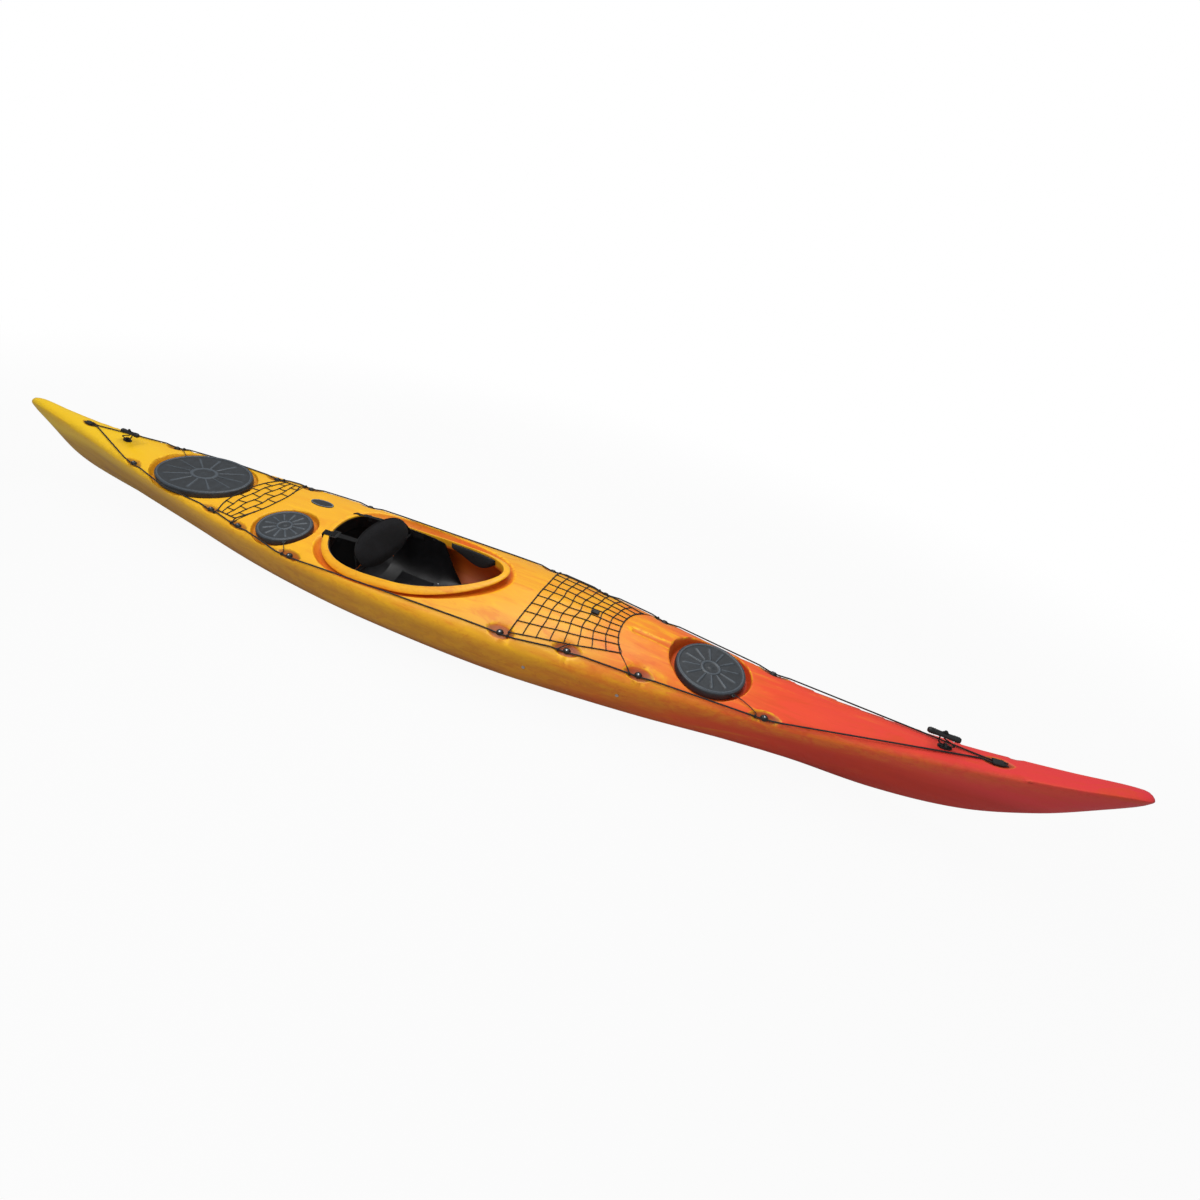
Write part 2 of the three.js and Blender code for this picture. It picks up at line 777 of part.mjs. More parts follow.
// The cutter for the shallow seat of the oval deck plate.
function plateCutter(grow) {
  const outline = [
    [0, 0, -DECK_PLATE.depth - grow],
    [1, FIT + grow, -DECK_PLATE.depth - grow],
    [1, FIT + grow, OVERRUN],
    [0, 0, OVERRUN],
  ];
  const geometry = ovalRing(outline, DECK_PLATE.length / 2, DECK_PLATE.width / 2, PLATE_FACETS, false);
  return solidOf(geometry.applyMatrix4(plateFrame()));
}

function plateFrame() {
  const x = DECK_PLATE.alongShare * HALF_LENGTH;
  return deckFrame(x, DECK_PLATE.acrossShare * sheerHalf(x));
}

// Every hollow that is pressed into the deck, grown for the inside of the wall.
function deckHollows(grow) {
  const leaves = Object.values(SIDES).flatMap((side) =>
    fittingPlaces(side).map((place) => leafCutter(fittingFrame(place), LEAF, grow)),
  );
  const ends = END_FITTING_SHARES.map((share) => leafCutter(endFrame(share), END_LEAF, grow));
  return [
    gutterCutter(grow),
    ...HATCHES.map((hatch) => moatCutter(hatch, grow)),
    ...leaves,
    ...ends,
    troughCutter(grow),
    plateCutter(grow),
  ];
}

const cutAll = (solid, cutters) => cutters.reduce((rest, cutter) => rest.subtract(cutter), solid);

// The hollow inside the hull, kept gap clear of the inner wall.
const cavity = (gap) => cutAll(hullLoft(WALL + gap), deckHollows(WALL + gap));

// Where the footrest bolts pass through the side, and which way they point.
function boltPlaces(side) {
  return BOLT.shares.map((share) => {
    const from = new THREE.Vector3(share * HALF_LENGTH, side * BEAM, RAIL.height);
    probe.set(from, new THREE.Vector3(0, -side, 0));
    const { point, face } = probe.intersectObject(fairSkin)[0];
    const normal = face.normal.clone();
    probe.set(point, normal.clone().negate());
    return { point, normal, wall: probe.intersectObject(innerSkin)[0].distance };
  });
}

function boltHoles() {
  return Object.values(SIDES).flatMap((side) =>
    boltPlaces(side).map(({ point, normal }) => {
      const out = point.clone().addScaledVector(normal, OVERRUN / 2);
      const inside = point.clone().addScaledVector(normal, -OVERRUN / 2);
      return pin(inside, out, BOLT.radius + 2 * BOLT.clearance, PIN_FACETS);
    }),
  );
}

function hullShell() {
  const outer = cutAll(hullLoft(), deckHollows(0));
  const shell = outer.subtract(cavity(0));
  const open = cutAll(shell, [cockpitCutter(), ...HATCHES.map(hatchHoleCutter), ...boltHoles()]);
  return cutAll(open.add(coaming()), wallBoltHoles());
}

// Stands a flat outline up, so that it is drawn across the boat and runs along it.
const UPRIGHT = new THREE.Matrix4().makeBasis(
  new THREE.Vector3(0, 1, 0),
  new THREE.Vector3(0, 0, 1),
  new THREE.Vector3(1, 0, 0),
);

// A path through given points, with a ring of the swept cord at each of them.
class Route extends THREE.Curve {
  constructor(points) {
    super();
    this.points = points;
  }
  getPoint(t) {
    const place = t * (this.points.length - 1);
    const i = Math.min(Math.floor(place), this.points.length - 2);
    return this.points[i].clone().lerp(this.points[i + 1], place - i);
  }
  getPointAt(u) {
    return this.getPoint(u);
  }
  getTangentAt(u) {
    const i = Math.round(u * (this.points.length - 1));
    const before = this.points[Math.max(i - 1, 0)];
    const here = this.points[i];
    const after = this.points[Math.min(i + 1, this.points.length - 1)];
    const coming = here.clone().sub(before).normalize();
    return coming.add(after.clone().sub(here).normalize()).normalize();
  }
}

function regularShape(radius, sides) {
  const corners = Array.from({ length: sides }, (_, i) => {
    const angle = (i / sides) * 2 * Math.PI;
    return new THREE.Vector2(radius * Math.cos(angle), radius * Math.sin(angle));
  });
  return new THREE.Shape(corners);
}

// A cord through given points.
function cord(points, radius, sides) {
  const path = new Route(points);
  return solidOf(
    new THREE.ExtrudeGeometry(regularShape(radius, sides), {
      steps: points.length - 1,
      extrudePath: path,
      bevelEnabled: false,
    }),
  );
}

// Points of a smooth curve through a few places.
function smooth(points, count) {
  return new THREE.CatmullRomCurve3(points, false, "centripetal").getSpacedPoints(count);
}

function knot(centre, radius) {
  const ball = new THREE.SphereGeometry(radius, ...KNOT_FACETS);
  return solidOf(ball.translate(centre.x, centre.y, centre.z));
}

const joined = (solids) => solids.slice(1).reduce((whole, solid) => whole.add(solid), solids[0]);

// Hatch rims: a flanged ring on the moat's floor, with a bead that the cover's skirt grips.
function hatchRim(hatch) {
  const { inner, toe, flange, wall, bead, beadHeight, height } = RIM;
  const profile = [
    [1, -inner, FIT],
    [1, -toe, FIT],
    [1, -toe, FIT + flange],
    [1, wall - inner, FIT + flange],
    [1, wall + bead - inner, height - beadHeight],
    [1, -inner, height],
  ];
  return ovalRing(profile, hatch.halfLength, hatch.halfWidth, hatch.facets).applyMatrix4(hatchFrame(hatch));
}

// Hatch covers: a soft cap with a thick skirt, a ribbed panel and a raised hub.
function coverCap(hatch) {
  const { height, skirt, hem, bevel, edge, band, slope, groove, grooveWidth, panel } = COVER;
  const { hubShare, hubWallShare } = COVER;
  const ceiling = height - COVER.top;
  const groovePlace = edge + band + slope;
  const profile = [
    [0, 0, ceiling],
    [1, -skirt, ceiling],
    [1, -skirt, hem],
    [1, -bevel, hem],
    [1, 0, hem + bevel],
    [1, 0, height - edge],
    [1, -edge / 3, height - edge / 3],
    [1, -edge, height],
    [1, -edge - band, height],
    [1, -groovePlace, height - groove],
    [1, -groovePlace - grooveWidth, height - panel],
    [hubShare + hubWallShare, 0, height - panel],
    [hubShare, 0, height],
    [0, 0, height - panel / 2],
  ];
  return solidOf(ovalRing(profile, hatch.halfLength, hatch.halfWidth, hatch.facets, false));
}

function coverRibs(hatch) {
  const [start, end] = COVER.ribShares;
  return Array.from({ length: hatch.ribs }, (_, i) => {
    const angle = ((i + 1 / 2) / hatch.ribs) * 2 * Math.PI;
    const reach = new THREE.Vector2(hatch.halfLength * Math.cos(angle), hatch.halfWidth * Math.sin(angle));
    const height = COVER.ribRise + COVER.ribSink;
    const rib = new THREE.BoxGeometry(reach.length() * (end - start), COVER.ribWidth, height);
    const middle = reach.clone().multiplyScalar((start + end) / 2);
    const top = COVER.height - COVER.panel + COVER.ribRise - height / 2;
    rib.applyMatrix4(new THREE.Matrix4().makeRotationZ(reach.angle()));
    return solidOf(rib.translate(middle.x, middle.y, top));
  });
}

// Where the lug of a cover stands: its hole, and the way it points.
function lugPlace(hatch) {
  const angle = THREE.MathUtils.degToRad(hatch.lugAngle);
  const [c, s] = [Math.cos(angle), Math.sin(angle)];
  const outward = new THREE.Vector3(c / hatch.halfLength, s / hatch.halfWidth, 0).normalize();
  const edge = new THREE.Vector3(hatch.halfLength * c, hatch.halfWidth * s, COVER.height - LUG.drop);
  return { outward, edge, hole: edge.clone().addScaledVector(outward, LUG.reach / 2) };
}

function coverLug(hatch) {
  const { outward, edge, hole } = lugPlace(hatch);
  const turn = new THREE.Matrix4().makeRotationZ(Math.atan2(outward.y, outward.x));
  const tab = new THREE.BoxGeometry(LUG.reach + LUG.root, LUG.width, LUG.thickness);
  const middle = edge.clone().addScaledVector(outward, (LUG.reach - LUG.root) / 2);
  const solid = solidOf(tab.applyMatrix4(turn).translate(middle.x, middle.y, middle.z));
  const drill = new THREE.CylinderGeometry(LUG.hole, LUG.hole, 2 * LUG.thickness, ROUND_FACETS);
  drill.rotateX(Math.PI / 2);
  return solid.subtract(solidOf(drill.translate(hole.x, hole.y, hole.z)));
}

function hatchCover(hatch) {
  const solid = joined([coverCap(hatch), ...coverRibs(hatch), coverLug(hatch)]);
  return geometryOf(solid).applyMatrix4(hatchFrame(hatch));
}

// A loop of cord round a line at a place, as an eight-sided ring.
function loopRound(centre, along, radius) {
  const { loop, loopSides } = TETHER;
  const up = new THREE.Vector3(0, 0, 1);
  const side = up.clone().cross(along).normalize();
  const top = along.clone().cross(side).normalize();
  const profile = Array.from({ length: LOOP_FACETS }, (_, i) => (i / LOOP_FACETS) * 2 * Math.PI);
  const rows = profile.map((angle) =>
    Array.from({ length: loopSides }, (_, j) => {
      const turn = ((j + 1 / 2) / loopSides) * 2 * Math.PI;
      const reach = loop + radius * Math.cos(angle);
      const point = centre.clone().addScaledVector(along, radius * Math.sin(angle));
      point.addScaledVector(side, reach * Math.cos(turn)).addScaledVector(top, reach * Math.sin(turn));
      return point;
    }),
  );
  return solidOf(skin(rows, true));
}

// Deck fittings: a low body with a round hole for the line and a screw beside it.
function fittingBody(side) {
  const half = FITTING.width / 2;
  const corners = FITTING.outlineShares.map(
    ([y, z]) => new THREE.Vector2(side * y * half, z * FITTING.height),
  );
  const outline = new THREE.Shape(corners);
  const hole = new THREE.Path();
  hole.absarc(side * FITTING.holeOut, FITTING.holeHeight, LINE.radius + 2 * CORD_FIT, 0, 2 * Math.PI);
  outline.holes.push(hole);
  const options = { depth: FITTING.length, bevelEnabled: false, curveSegments: FITTING.holeSegments };
  const body = new THREE.ExtrudeGeometry(outline, options);
  body.translate(0, 0, -FITTING.length / 2).applyMatrix4(UPRIGHT);
  const tall = FITTING.screwTop - FIT;
  const screw = new THREE.CylinderGeometry(FITTING.screw, FITTING.screw, tall, PIN_FACETS);
  screw.rotateX(Math.PI / 2).translate(0, -side * FITTING.screwIn, (FITTING.screwTop + FIT) / 2);
  return solidOf(body).add(solidOf(screw));
}

function deckFitting(place, side) {
  const frame = deckFrame(place.x, place.y, place.heading, FIT - LEAF.depth);
  return geometryOf(fittingBody(side)).applyMatrix4(frame);
}

// End fittings: a block with two holes side by side, one for each deck line.
function endFitting(share) {
  const { length, width, height, spread, outlineShares } = END_FITTING;
  const corners = outlineShares.map(([y, z]) => new THREE.Vector2((y * width) / 2, z * height));
  const outline = new THREE.Shape(corners);
  [-spread, spread].forEach((y) => {
    const hole = new THREE.Path();
    outline.holes.push(hole.absarc(y, FITTING.holeHeight, LINE.radius + 2 * CORD_FIT, 0, 2 * Math.PI));
  });
  const options = { depth: length, bevelEnabled: false, curveSegments: HOLE_SEGMENTS };
  const body = new THREE.ExtrudeGeometry(outline, options);
  body.translate(0, 0, -length / 2).applyMatrix4(UPRIGHT);
  const frame = deckFrame(share * HALF_LENGTH, 0, share < 0 ? Math.PI : 0, FIT - END_LEAF.depth);
  return body.applyMatrix4(frame);
}

// Places on a taut line between two points: it lies on the deck and bridges the hollows.
function tautRun(start, end, lift, count) {
  const samples = Array.from({ length: count + 2 }, (_, i) => {
    const point = start.clone().lerp(end, i / (count + 1));
    if (i > 0 && i <= count) point.z = deckHeight(point.x, point.y) + lift;
    return point;
  });
  const run = [samples[0]];
  let here = 0;
  while (here < samples.length - 1) {
    let best = here + 1;
    const slope = (n) => (samples[n].z - samples[here].z) / (n - here);
    for (let n = here + 2; n < samples.length; n++) if (slope(n) >= slope(best)) best = n;
    run.push(samples[best]);
    here = best;
  }
  return run;
}

// Where the deck line bends round a hatch cover that stands in its way.
function detourPoints(side) {
  const hatch = HATCHES[LINE_DETOUR.hatchIndex];
  const reach = LINE.radius + LINE_DETOUR.clearance;
  return LINE_DETOUR.angles.map((degrees) => {
    const angle = THREE.MathUtils.degToRad(degrees);
    const x = hatch.alongShare * HALF_LENGTH + (hatch.halfLength + reach) * Math.cos(angle);
    const y = (hatch.halfWidth + reach) * Math.sin(angle) * side;
    return deckPoint(x, y, LINE.radius + LINE.lift);
  });
}

// Where a deck line leaves a fitting, local places being along, outboard and up from the floor.
function lineAt(side, index, along) {
  const place = fittingPlaces(side)[index];
  const frame = deckFrame(place.x, place.y, place.heading, FIT - LEAF.depth);
  const half = FITTING.length / 2 + LINE.radius;
  const pocket = LEAF.length / 2;
  const over = LEAF.depth + LINE.radius + LINE.lift - FIT;
  const reach = Math.abs(along);
  const rise = THREE.MathUtils.clamp((reach - half) / (pocket - half), 0, 1) * (over - FITTING.holeHeight);
  const local = new THREE.Vector3(along, side * FITTING.holeOut, FITTING.holeHeight + rise);
  return local.applyMatrix4(frame);
}

// Where a deck line runs through the end fitting, beyond being the distance past its middle.
function lineEnd(side, share, beyond, drop = 0) {
  const frame = deckFrame(share * HALF_LENGTH, 0, share < 0 ? Math.PI : 0, FIT - END_LEAF.depth);
  const turn = share < 0 ? -1 : 1;
  const local = new THREE.Vector3(beyond, turn * side * END_FITTING.spread, FITTING.holeHeight + drop);
  return local.applyMatrix4(frame);
}

function lineEndRun(side, share) {
  const half = END_FITTING.length / 2 + LINE.radius;
  const pocket = END_LEAF.length / 2;
  const over = END_LEAF.depth + LINE.radius + LINE.lift - FIT - FITTING.holeHeight;
  return [
    lineEnd(side, share, half + LINE.radius),
    lineEnd(side, share, half),
    lineEnd(side, share, -half),
    lineEnd(side, share, -pocket, over),
  ];
}

// The deck line of one side, from the stern fitting to the bow fitting, with a knot at each end.
function deckLine(side) {
  const half = FITTING.length / 2 + LINE.radius;
  const pocket = LEAF.length / 2;
  const [stern, bow] = END_FITTING_SHARES.map((share) => lineEndRun(side, share));
  const points = [...stern];
  FITTING_SHARES.forEach((_, i) => {
    const stops = i === LINE_DETOUR.span ? detourPoints(side) : [];
    [...stops, lineAt(side, i, -pocket)].forEach((before) => {
      const from = points[points.length - 1];
      const count = Math.round(from.distanceTo(before) / LINE.spacing);
      points.push(...tautRun(from, before, LINE.radius + LINE.lift, count).slice(1));
    });
    points.push(lineAt(side, i, -half), lineAt(side, i, half), lineAt(side, i, pocket));
  });
  const last = bow[bow.length - 1];
  const from = points[points.length - 1];
  const count = Math.round(from.distanceTo(last) / LINE.spacing);
  points.push(...tautRun(from, last, LINE.radius + LINE.lift, count).slice(1, -1), ...bow.reverse());
  const knots = [points[0], points[points.length - 1]].map((end) => knot(end, LINE.knot));
  return joined([cord(points, LINE.radius, LINE.sides), ...knots]);
}

// The tether of a hatch cover: a loop round the deck line, and a stopper knot under the lug.
function tether(hatch) {
  const side = SIDES[hatch.tether.side];
  const { fittingIndex: fitting, step } = hatch.tether;
  const centre = lineAt(side, fitting, step * TETHER.reach);
  const ahead = lineAt(side, fitting, step * TETHER.reach + PROBE);
  const along = ahead.clone().sub(lineAt(side, fitting, step * TETHER.reach - PROBE)).normalize();
  const frame = hatchFrame(hatch);
  const { outward, hole } = lugPlace(hatch);
  const lug = (out, up) => hole.clone().addScaledVector(outward, out).setZ(hole.z + up).applyMatrix4(frame);
  const inboard = new THREE.Vector3(0, 0, 1).cross(along).multiplyScalar(-side).normalize();
  const ring = centre.clone().addScaledVector(inboard, TETHER.loop);
  const leave = ring.clone().addScaledVector(inboard, 2 * TETHER.knot);
  leave.z = Math.max(leave.z, deckHeight(leave.x, leave.y) + TETHER.knot);
  const top = lug(0, LUG.thickness);
  const over = top.clone().lerp(leave, 1 / 2);
  over.z = Math.max(over.z, deckHeight(over.x, over.y) + TETHER.knot) + TETHER.knot;
  const middle = smooth([top, over, leave, ring], TETHER.steps);
  const points = [lug(0, -LUG.thickness), lug(0, -LUG.thickness / 2), lug(0, LUG.thickness / 2), ...middle];
  return joined([
    cord(points, TETHER.radius, TETHER.sides),
    knot(lug(0, -LUG.thickness / 2 - TETHER.knot), TETHER.knot),
    loopRound(centre, along, TETHER.radius),
  ]);
}

// Corners of a cell's hole, moved in from the cell's sides by each side's own distance.
function insetLoop(loop, distances) {
  const up = new THREE.Vector3(0, 0, 1);
  return loop.map((point, i) => {
    const before = loop[(i + loop.length - 1) % loop.length];
    const after = loop[(i + 1) % loop.length];
    const coming = point.clone().sub(before).normalize();
    const going = after.clone().sub(point).normalize();
    const [inOne, inTwo] = [up.clone().cross(coming), up.clone().cross(going)];
    const one = point.clone().addScaledVector(inOne, distances[(i + loop.length - 1) % loop.length]);
    const two = point.clone().addScaledVector(inTwo, distances[i]);
    const turn = coming.x * going.y - coming.y * going.x;
    if (Math.abs(turn) < NET_STRAIGHT) return one.add(two).divideScalar(2);
    const apart = two.clone().sub(one);
    const t = (apart.x * going.y - apart.y * going.x) / turn;
    return one.addScaledVector(coming, t);
  });
}

// A flat net as one body: every cell is a frame round a hole, and cells share their corners. The
// cords are ridged above and below, so a cell's faces meet at the hole's edge.
function netSolid(cells) {
  const positions = [];
  const put = (...points) => points.forEach((point) => positions.push(point.x, point.y, point.z));
  const quad = (a, b, c, d) => {
    put(a, b, c);
    put(a, c, d);
  };
  const low = (point) => point.clone().setZ(point.z - NET.thickness);
  cells.forEach(({ loop, border }) => {
    const distances = border.map((edge) => (edge ? NET.border : NET.cord / 2));
    const hole = insetLoop(loop, distances).map((point) => point.setZ(point.z - NET.thickness / 2));
    loop.forEach((point, i) => {
      const k = (i + 1) % loop.length;
      quad(point, loop[k], hole[k], hole[i]);
      quad(low(loop[k]), low(point), hole[i], hole[k]);
      if (border[i]) quad(loop[k], point, low(point), low(loop[k]));
    });
  });
  const geometry = new THREE.BufferGeometry();
  geometry.setAttribute("position", new THREE.Float32BufferAttribute(positions, 3));
  return solidOf(geometry);
}

// Cells of a net over an area given by place(along, across), both shares. A staggered net shifts
// every second row by half a cell.
function netCells({ rows, columns, staggered }, place) {
  const cells = [];
  for (let row = 0; row < rows; row++) {
    const shift = staggered && row % 2 === 1;
    const stops = shift
      ? [0, ...Array.from({ length: columns }, (_, i) => 2 * i + 1), 2 * columns]
      : Array.from({ length: columns + 1 }, (_, i) => 2 * i);
    stops.slice(0, -1).forEach((start, i) => {
      const end = stops[i + 1];
      const steps = Array.from({ length: end - start + 1 }, (_, j) => start + j);
      const used = staggered ? steps : [start, end];
      const at = (r) => (step) => place(r / rows, step / columns - 1);
      const near = used.map(at(row));
      const far = used.map(at(row + 1)).reverse();
      const loop = [...near, ...far].reverse();
      const flags = (flag, count) => Array.from({ length: count }, () => flag);
      const border = [
        ...flags(row === rows - 1, used.length - 1),
        end === 2 * columns,
        ...flags(row === 0, used.length - 1),
        start === 0,
      ];
      cells.push({ loop, border });
    });
  }
  return cells;
}

// The cord loops that hold a net's corners, one round the deck line at each side.
function netPlaces(net, side) {
  const last = net.fittingIndexes.length - 1;
  return net.fittingIndexes.map((index, i) => {
    const step = i === 0 ? 1 : -1;
    const centre = lineAt(side, index, step * TETHER.reach);
    const along = lineAt(side, index, step * TETHER.reach + PROBE).sub(centre).normalize();
    const inboard = new THREE.Vector3(0, 0, 1).cross(along).multiplyScalar(-side).normalize();
    const place = fittingPlaces(side)[index];
    const middle = i > 0 && i < last;
    const beside = centre.clone().addScaledVector(inboard, 2 * TETHER.loop);
    const corner = middle
      ? deckPoint(place.x, place.y - side * NET.inboard, NET.lift)
      : deckPoint(beside.x, beside.y, NET.lift);
    return { centre, along, inboard, corner };
  });
}

// Place on a net's top face from shares along it and across it.
function netSurface(net) {
  const port = netPlaces(net, 1);
  const edgePlaces = port.map(({ corner }) => corner);
  const [aft, front] = [edgePlaces[0].x, edgePlaces[edgePlaces.length - 1].x];
  const edgeAt = (x) => {
    const i = Math.max(1, edgePlaces.findIndex((point) => point.x >= x));
    const [one, two] = [edgePlaces[i - 1], edgePlaces[i]];
    return THREE.MathUtils.mapLinear(x, one.x, two.x, one.y, two.y);
  };
  const hatch = HATCHES.find(({ name }) => name === net.hatch);
  const aftEdge = hatch ? hatch.alongShare * HALF_LENGTH + hatch.halfLength + net.gap : aft + net.aftBow;
  return (along, across) => {
    const reach = 1 - Math.abs(across) ** NET.round;
    const start = aft + (aftEdge - aft) * reach;
    const end = front - net.frontBow * reach;
    const x = start + (end - start) * along;
    const y = across * edgeAt(THREE.MathUtils.clamp(aft + (front - aft) * along, aft, front));
    return deckPoint(x, y, NET.lift + NET.thickness / 2);
  };
}

function deckNet(net) {
  const cells = netCells(net, netSurface(net));
  const loops = Object.values(SIDES).flatMap((side) =>
    netPlaces(net, side).flatMap(({ centre, along, inboard, corner }) => {
      const end = centre.clone().addScaledVector(inboard, TETHER.loop);
      const link = cord([corner, end], TETHER.radius, TETHER.sides);
      return [loopRound(centre, along, TETHER.radius), link];
    }),
  );
  return joined([netSolid(cells), ...loops]);
}

// The hook on the foredeck's ridge, whose nose holds a cross cord of the net down.
function netHook() {
  const { length, width, height, hook, hookHeight, rowIndex } = NET_FITTING;
  const held = netSurface(FRONT_NET)(rowIndex / FRONT_NET.rows, 0);
  const place = held.x - NET.cord / 2 - 2 * FIT - length / 2;
  const half = length / 2;
  const nose = height - hookHeight;
  const corners = [
    [-half, 0],
    [half, 0],
    [half, nose],
    [half + hook, nose],
    [half + hook / 2, height],
    [hook - half, height],
    [-half, height / 2],
  ];
  const outline = new THREE.Shape(corners.map(([x, z]) => new THREE.Vector2(x, z)));
  const body = new THREE.ExtrudeGeometry(outline, { depth: width, bevelEnabled: false });
  body.translate(0, 0, -width / 2).rotateX(Math.PI / 2);
  return body.applyMatrix4(deckFrame(place, 0, 0, 2 * FIT));
}

// The oval plate let into the aft deck: a dished disc with a raised rim.
function deckPlate() {
  const { length, width, thickness, ring, dish } = DECK_PLATE;
  const profile = [
    [0, 0, 0],
    [1, 0, 0],
    [1, 0, thickness - FIT * 3],
    [1, -ring / 2, thickness],
    [1, -ring, thickness],
    [1, (-ring * 3) / 2, thickness - dish],
    [0, 0, thickness - dish],
  ];
  const plate = ovalRing(profile, length / 2, width / 2, PLATE_FACETS, false);
  return plate.translate(0, 0, FIT - DECK_PLATE.depth).applyMatrix4(plateFrame());
}

// Pad eyes: a screwed plate with a round-topped arch, whose hole runs along the boat.
function padEye(share) {
  const { length, width, base, arch, span, height, hole, holeHeight } = PAD_EYE;
  const frame = deckFrame(share * HALF_LENGTH, 0, 0, FIT);
  const plate = new THREE.CylinderGeometry(length / 2, length / 2, base, BAR_FACETS);
  plate.rotateX(Math.PI / 2).scale(1, width / length, 1).translate(0, 0, base / 2);
  const outline = new THREE.Shape();
  outline.moveTo(-span / 2, base / 2);
  outline.lineTo(span / 2, base / 2);
  outline.quadraticCurveTo(span / 2, height, 0, height);
  outline.quadraticCurveTo(-span / 2, height, -span / 2, base / 2);
  const eye = new THREE.Path();
  outline.holes.push(eye.absarc(0, holeHeight, hole, 0, 2 * Math.PI));
  const options = { depth: arch, bevelEnabled: false, curveSegments: HOLE_SEGMENTS };
  const body = new THREE.ExtrudeGeometry(outline, options);
  body.translate(0, 0, -arch / 2).applyMatrix4(UPRIGHT);
  const screws = [-1, 1].map((end) => {
    const tall = base + PAD_EYE.screwHead - FIT;
    const head = new THREE.CylinderGeometry(PAD_EYE.screw, PAD_EYE.screw, tall, PIN_FACETS);
    const middle = (base + PAD_EYE.screwHead + FIT) / 2;
    return solidOf(head.rotateX(Math.PI / 2).translate(end * length * PAD_EYE.screwPlaceShare, 0, middle));
  });
  return geometryOf(joined([solidOf(plate), solidOf(body), ...screws])).applyMatrix4(frame);
}

// Centre of a pad eye's hole, and of the toggle that hangs from it.
function eyeCentre(share) {
  const frame = deckFrame(share * HALF_LENGTH, 0, 0, FIT);
  return new THREE.Vector3(0, 0, PAD_EYE.holeHeight).applyMatrix4(frame);
}

function toggleCentre({ share, shift }) {
  const eye = eyeCentre(share);
  return eye.add(new THREE.Vector3(shift, 0, TOGGLE.rise - PAD_EYE.holeHeight));
}

// Toggles: a waisted grip with two holes for its loop.
function toggle(end) {
  const { length, radius, waist, nose, shoulderShare, bandShare, facets, cord: thread, spread } = TOGGLE;
  const half = [
    [waist / radius, 0],
    [1, bandShare],
    [1, shoulderShare],
    [nose, 1 / 2],
    [0, 1 / 2],
  ];
  const mirrored = half.slice(1).map(([r, along]) => [r, -along]);
  const profile = [...mirrored.reverse(), ...half];
  const lathe = new THREE.LatheGeometry(
    profile.map(([r, along]) => new THREE.Vector2(r * radius, along * length)),
    facets,
  );
  const grip = solidOf(lathe.rotateZ(-Math.PI / 2));
  const holes = [-spread, spread].map((x) => {
    const bore = thread + 2 * CORD_FIT;
    const drill = new THREE.CylinderGeometry(bore, bore, 2 * length, ROUND_FACETS);
    return solidOf(drill.rotateX(Math.PI / 2).translate(x, 0, 0));
  });
  const centre = toggleCentre(end);
  return geometryOf(cutAll(grip, holes)).translate(centre.x, centre.y, centre.z);
}

// The cord that holds a toggle: through the pad eye, up both holes and knotted over the grip.
function toggleLoop(end) {
  const { radius, spread, foot, cord: thread } = TOGGLE;
  const eye = eyeCentre(end.share);
  const grip = toggleCentre(end);
  const top = grip.z + radius + thread + FIT;
  const below = grip.z - radius;
  const at = (x, z) => new THREE.Vector3(x, 0, z);
  const bottom = eye.z - PAD_EYE.hole + thread + 2 * CORD_FIT;
  const half = PAD_EYE.arch / 2 + thread;
  const arm = (turn) => [
    at(grip.x + (turn * thread) / 2 + turn * FIT, top),
    at(grip.x + turn * (spread - thread), top),
    at(grip.x + turn * spread, top - thread),
    at(grip.x + turn * spread, below - thread),
    at(eye.x + turn * foot, eye.z + PAD_EYE.height - PAD_EYE.holeHeight),
    at(eye.x + turn * (foot - thread), bottom + thread),
    at(eye.x + turn * half, bottom),
  ];
  const points = [...arm(-1), ...arm(1).reverse()];
  const ball = knot(at(grip.x, top + thread / 2), TOGGLE.knot);
  return joined([cord(points, thread, LOOP_CORD_FACETS), ball]);
}

// Half width of the cockpit opening at a place along the boat.
function openingHalf(x) {
  const ring = coamingOutline(0, COAMING_FACETS).filter((point) => point.y >= 0);
  const i = ring.findIndex((point) => point.x <= x);
  return THREE.MathUtils.mapLinear(x, ring[i - 1].x, ring[i].x, ring[i - 1].y, ring[i].y);
}

// A solid between an upper and a lower grid of points. Rows follow each other towards the bow and
// each row runs from port to starboard.
function slab(upper, lower) {
  const positions = [];
  const triangles = [];
  const loops = upper.map((row, i) => [...row, ...lower[i].slice().reverse()]);
  const width = loops[0].length;
  loops.forEach((loop) => loop.forEach((point) => positions.push(point.x, point.y, point.z)));
  for (let i = 0; i + 1 < loops.length; i++) {
    for (let j = 0; j < width; j++) {
      const k = (j + 1) % width;
      const [a, b, c, d] = [i * width + j, i * width + k, (i + 1) * width + k, (i + 1) * width + j];
      triangles.push(a, b, c, a, c, d);
    }
  }
  const last = (loops.length - 1) * width;
  for (let j = 0; j + 1 < width / 2; j++) {
    const [a, b, c, d] = [j, j + 1, width - 2 - j, width - 1 - j];
    triangles.push(a, c, b, a, d, c);
    triangles.push(last + a, last + b, last + c, last + a, last + c, last + d);
  }
  const geometry = new THREE.BufferGeometry();
  geometry.setAttribute("position", new THREE.Float32BufferAttribute(positions, 3));
  geometry.setIndex(triangles);
  return solidOf(geometry);
}

// Moves a grid of points along its own normals.
function offsetRows(rows, distance) {
  return rows.map((row, i) =>
    row.map((point, j) => {
      const along = rows[Math.min(i + 1, rows.length - 1)][j].clone().sub(rows[Math.max(i - 1, 0)][j]);
      const side = row[Math.min(j + 1, row.length - 1)].clone().sub(row[Math.max(j - 1, 0)]);
      return point.clone().addScaledVector(side.cross(along).normalize(), distance);
    }),
  );
}

const sheet = (rows, thickness) => slab(rows, offsetRows(rows, -thickness));

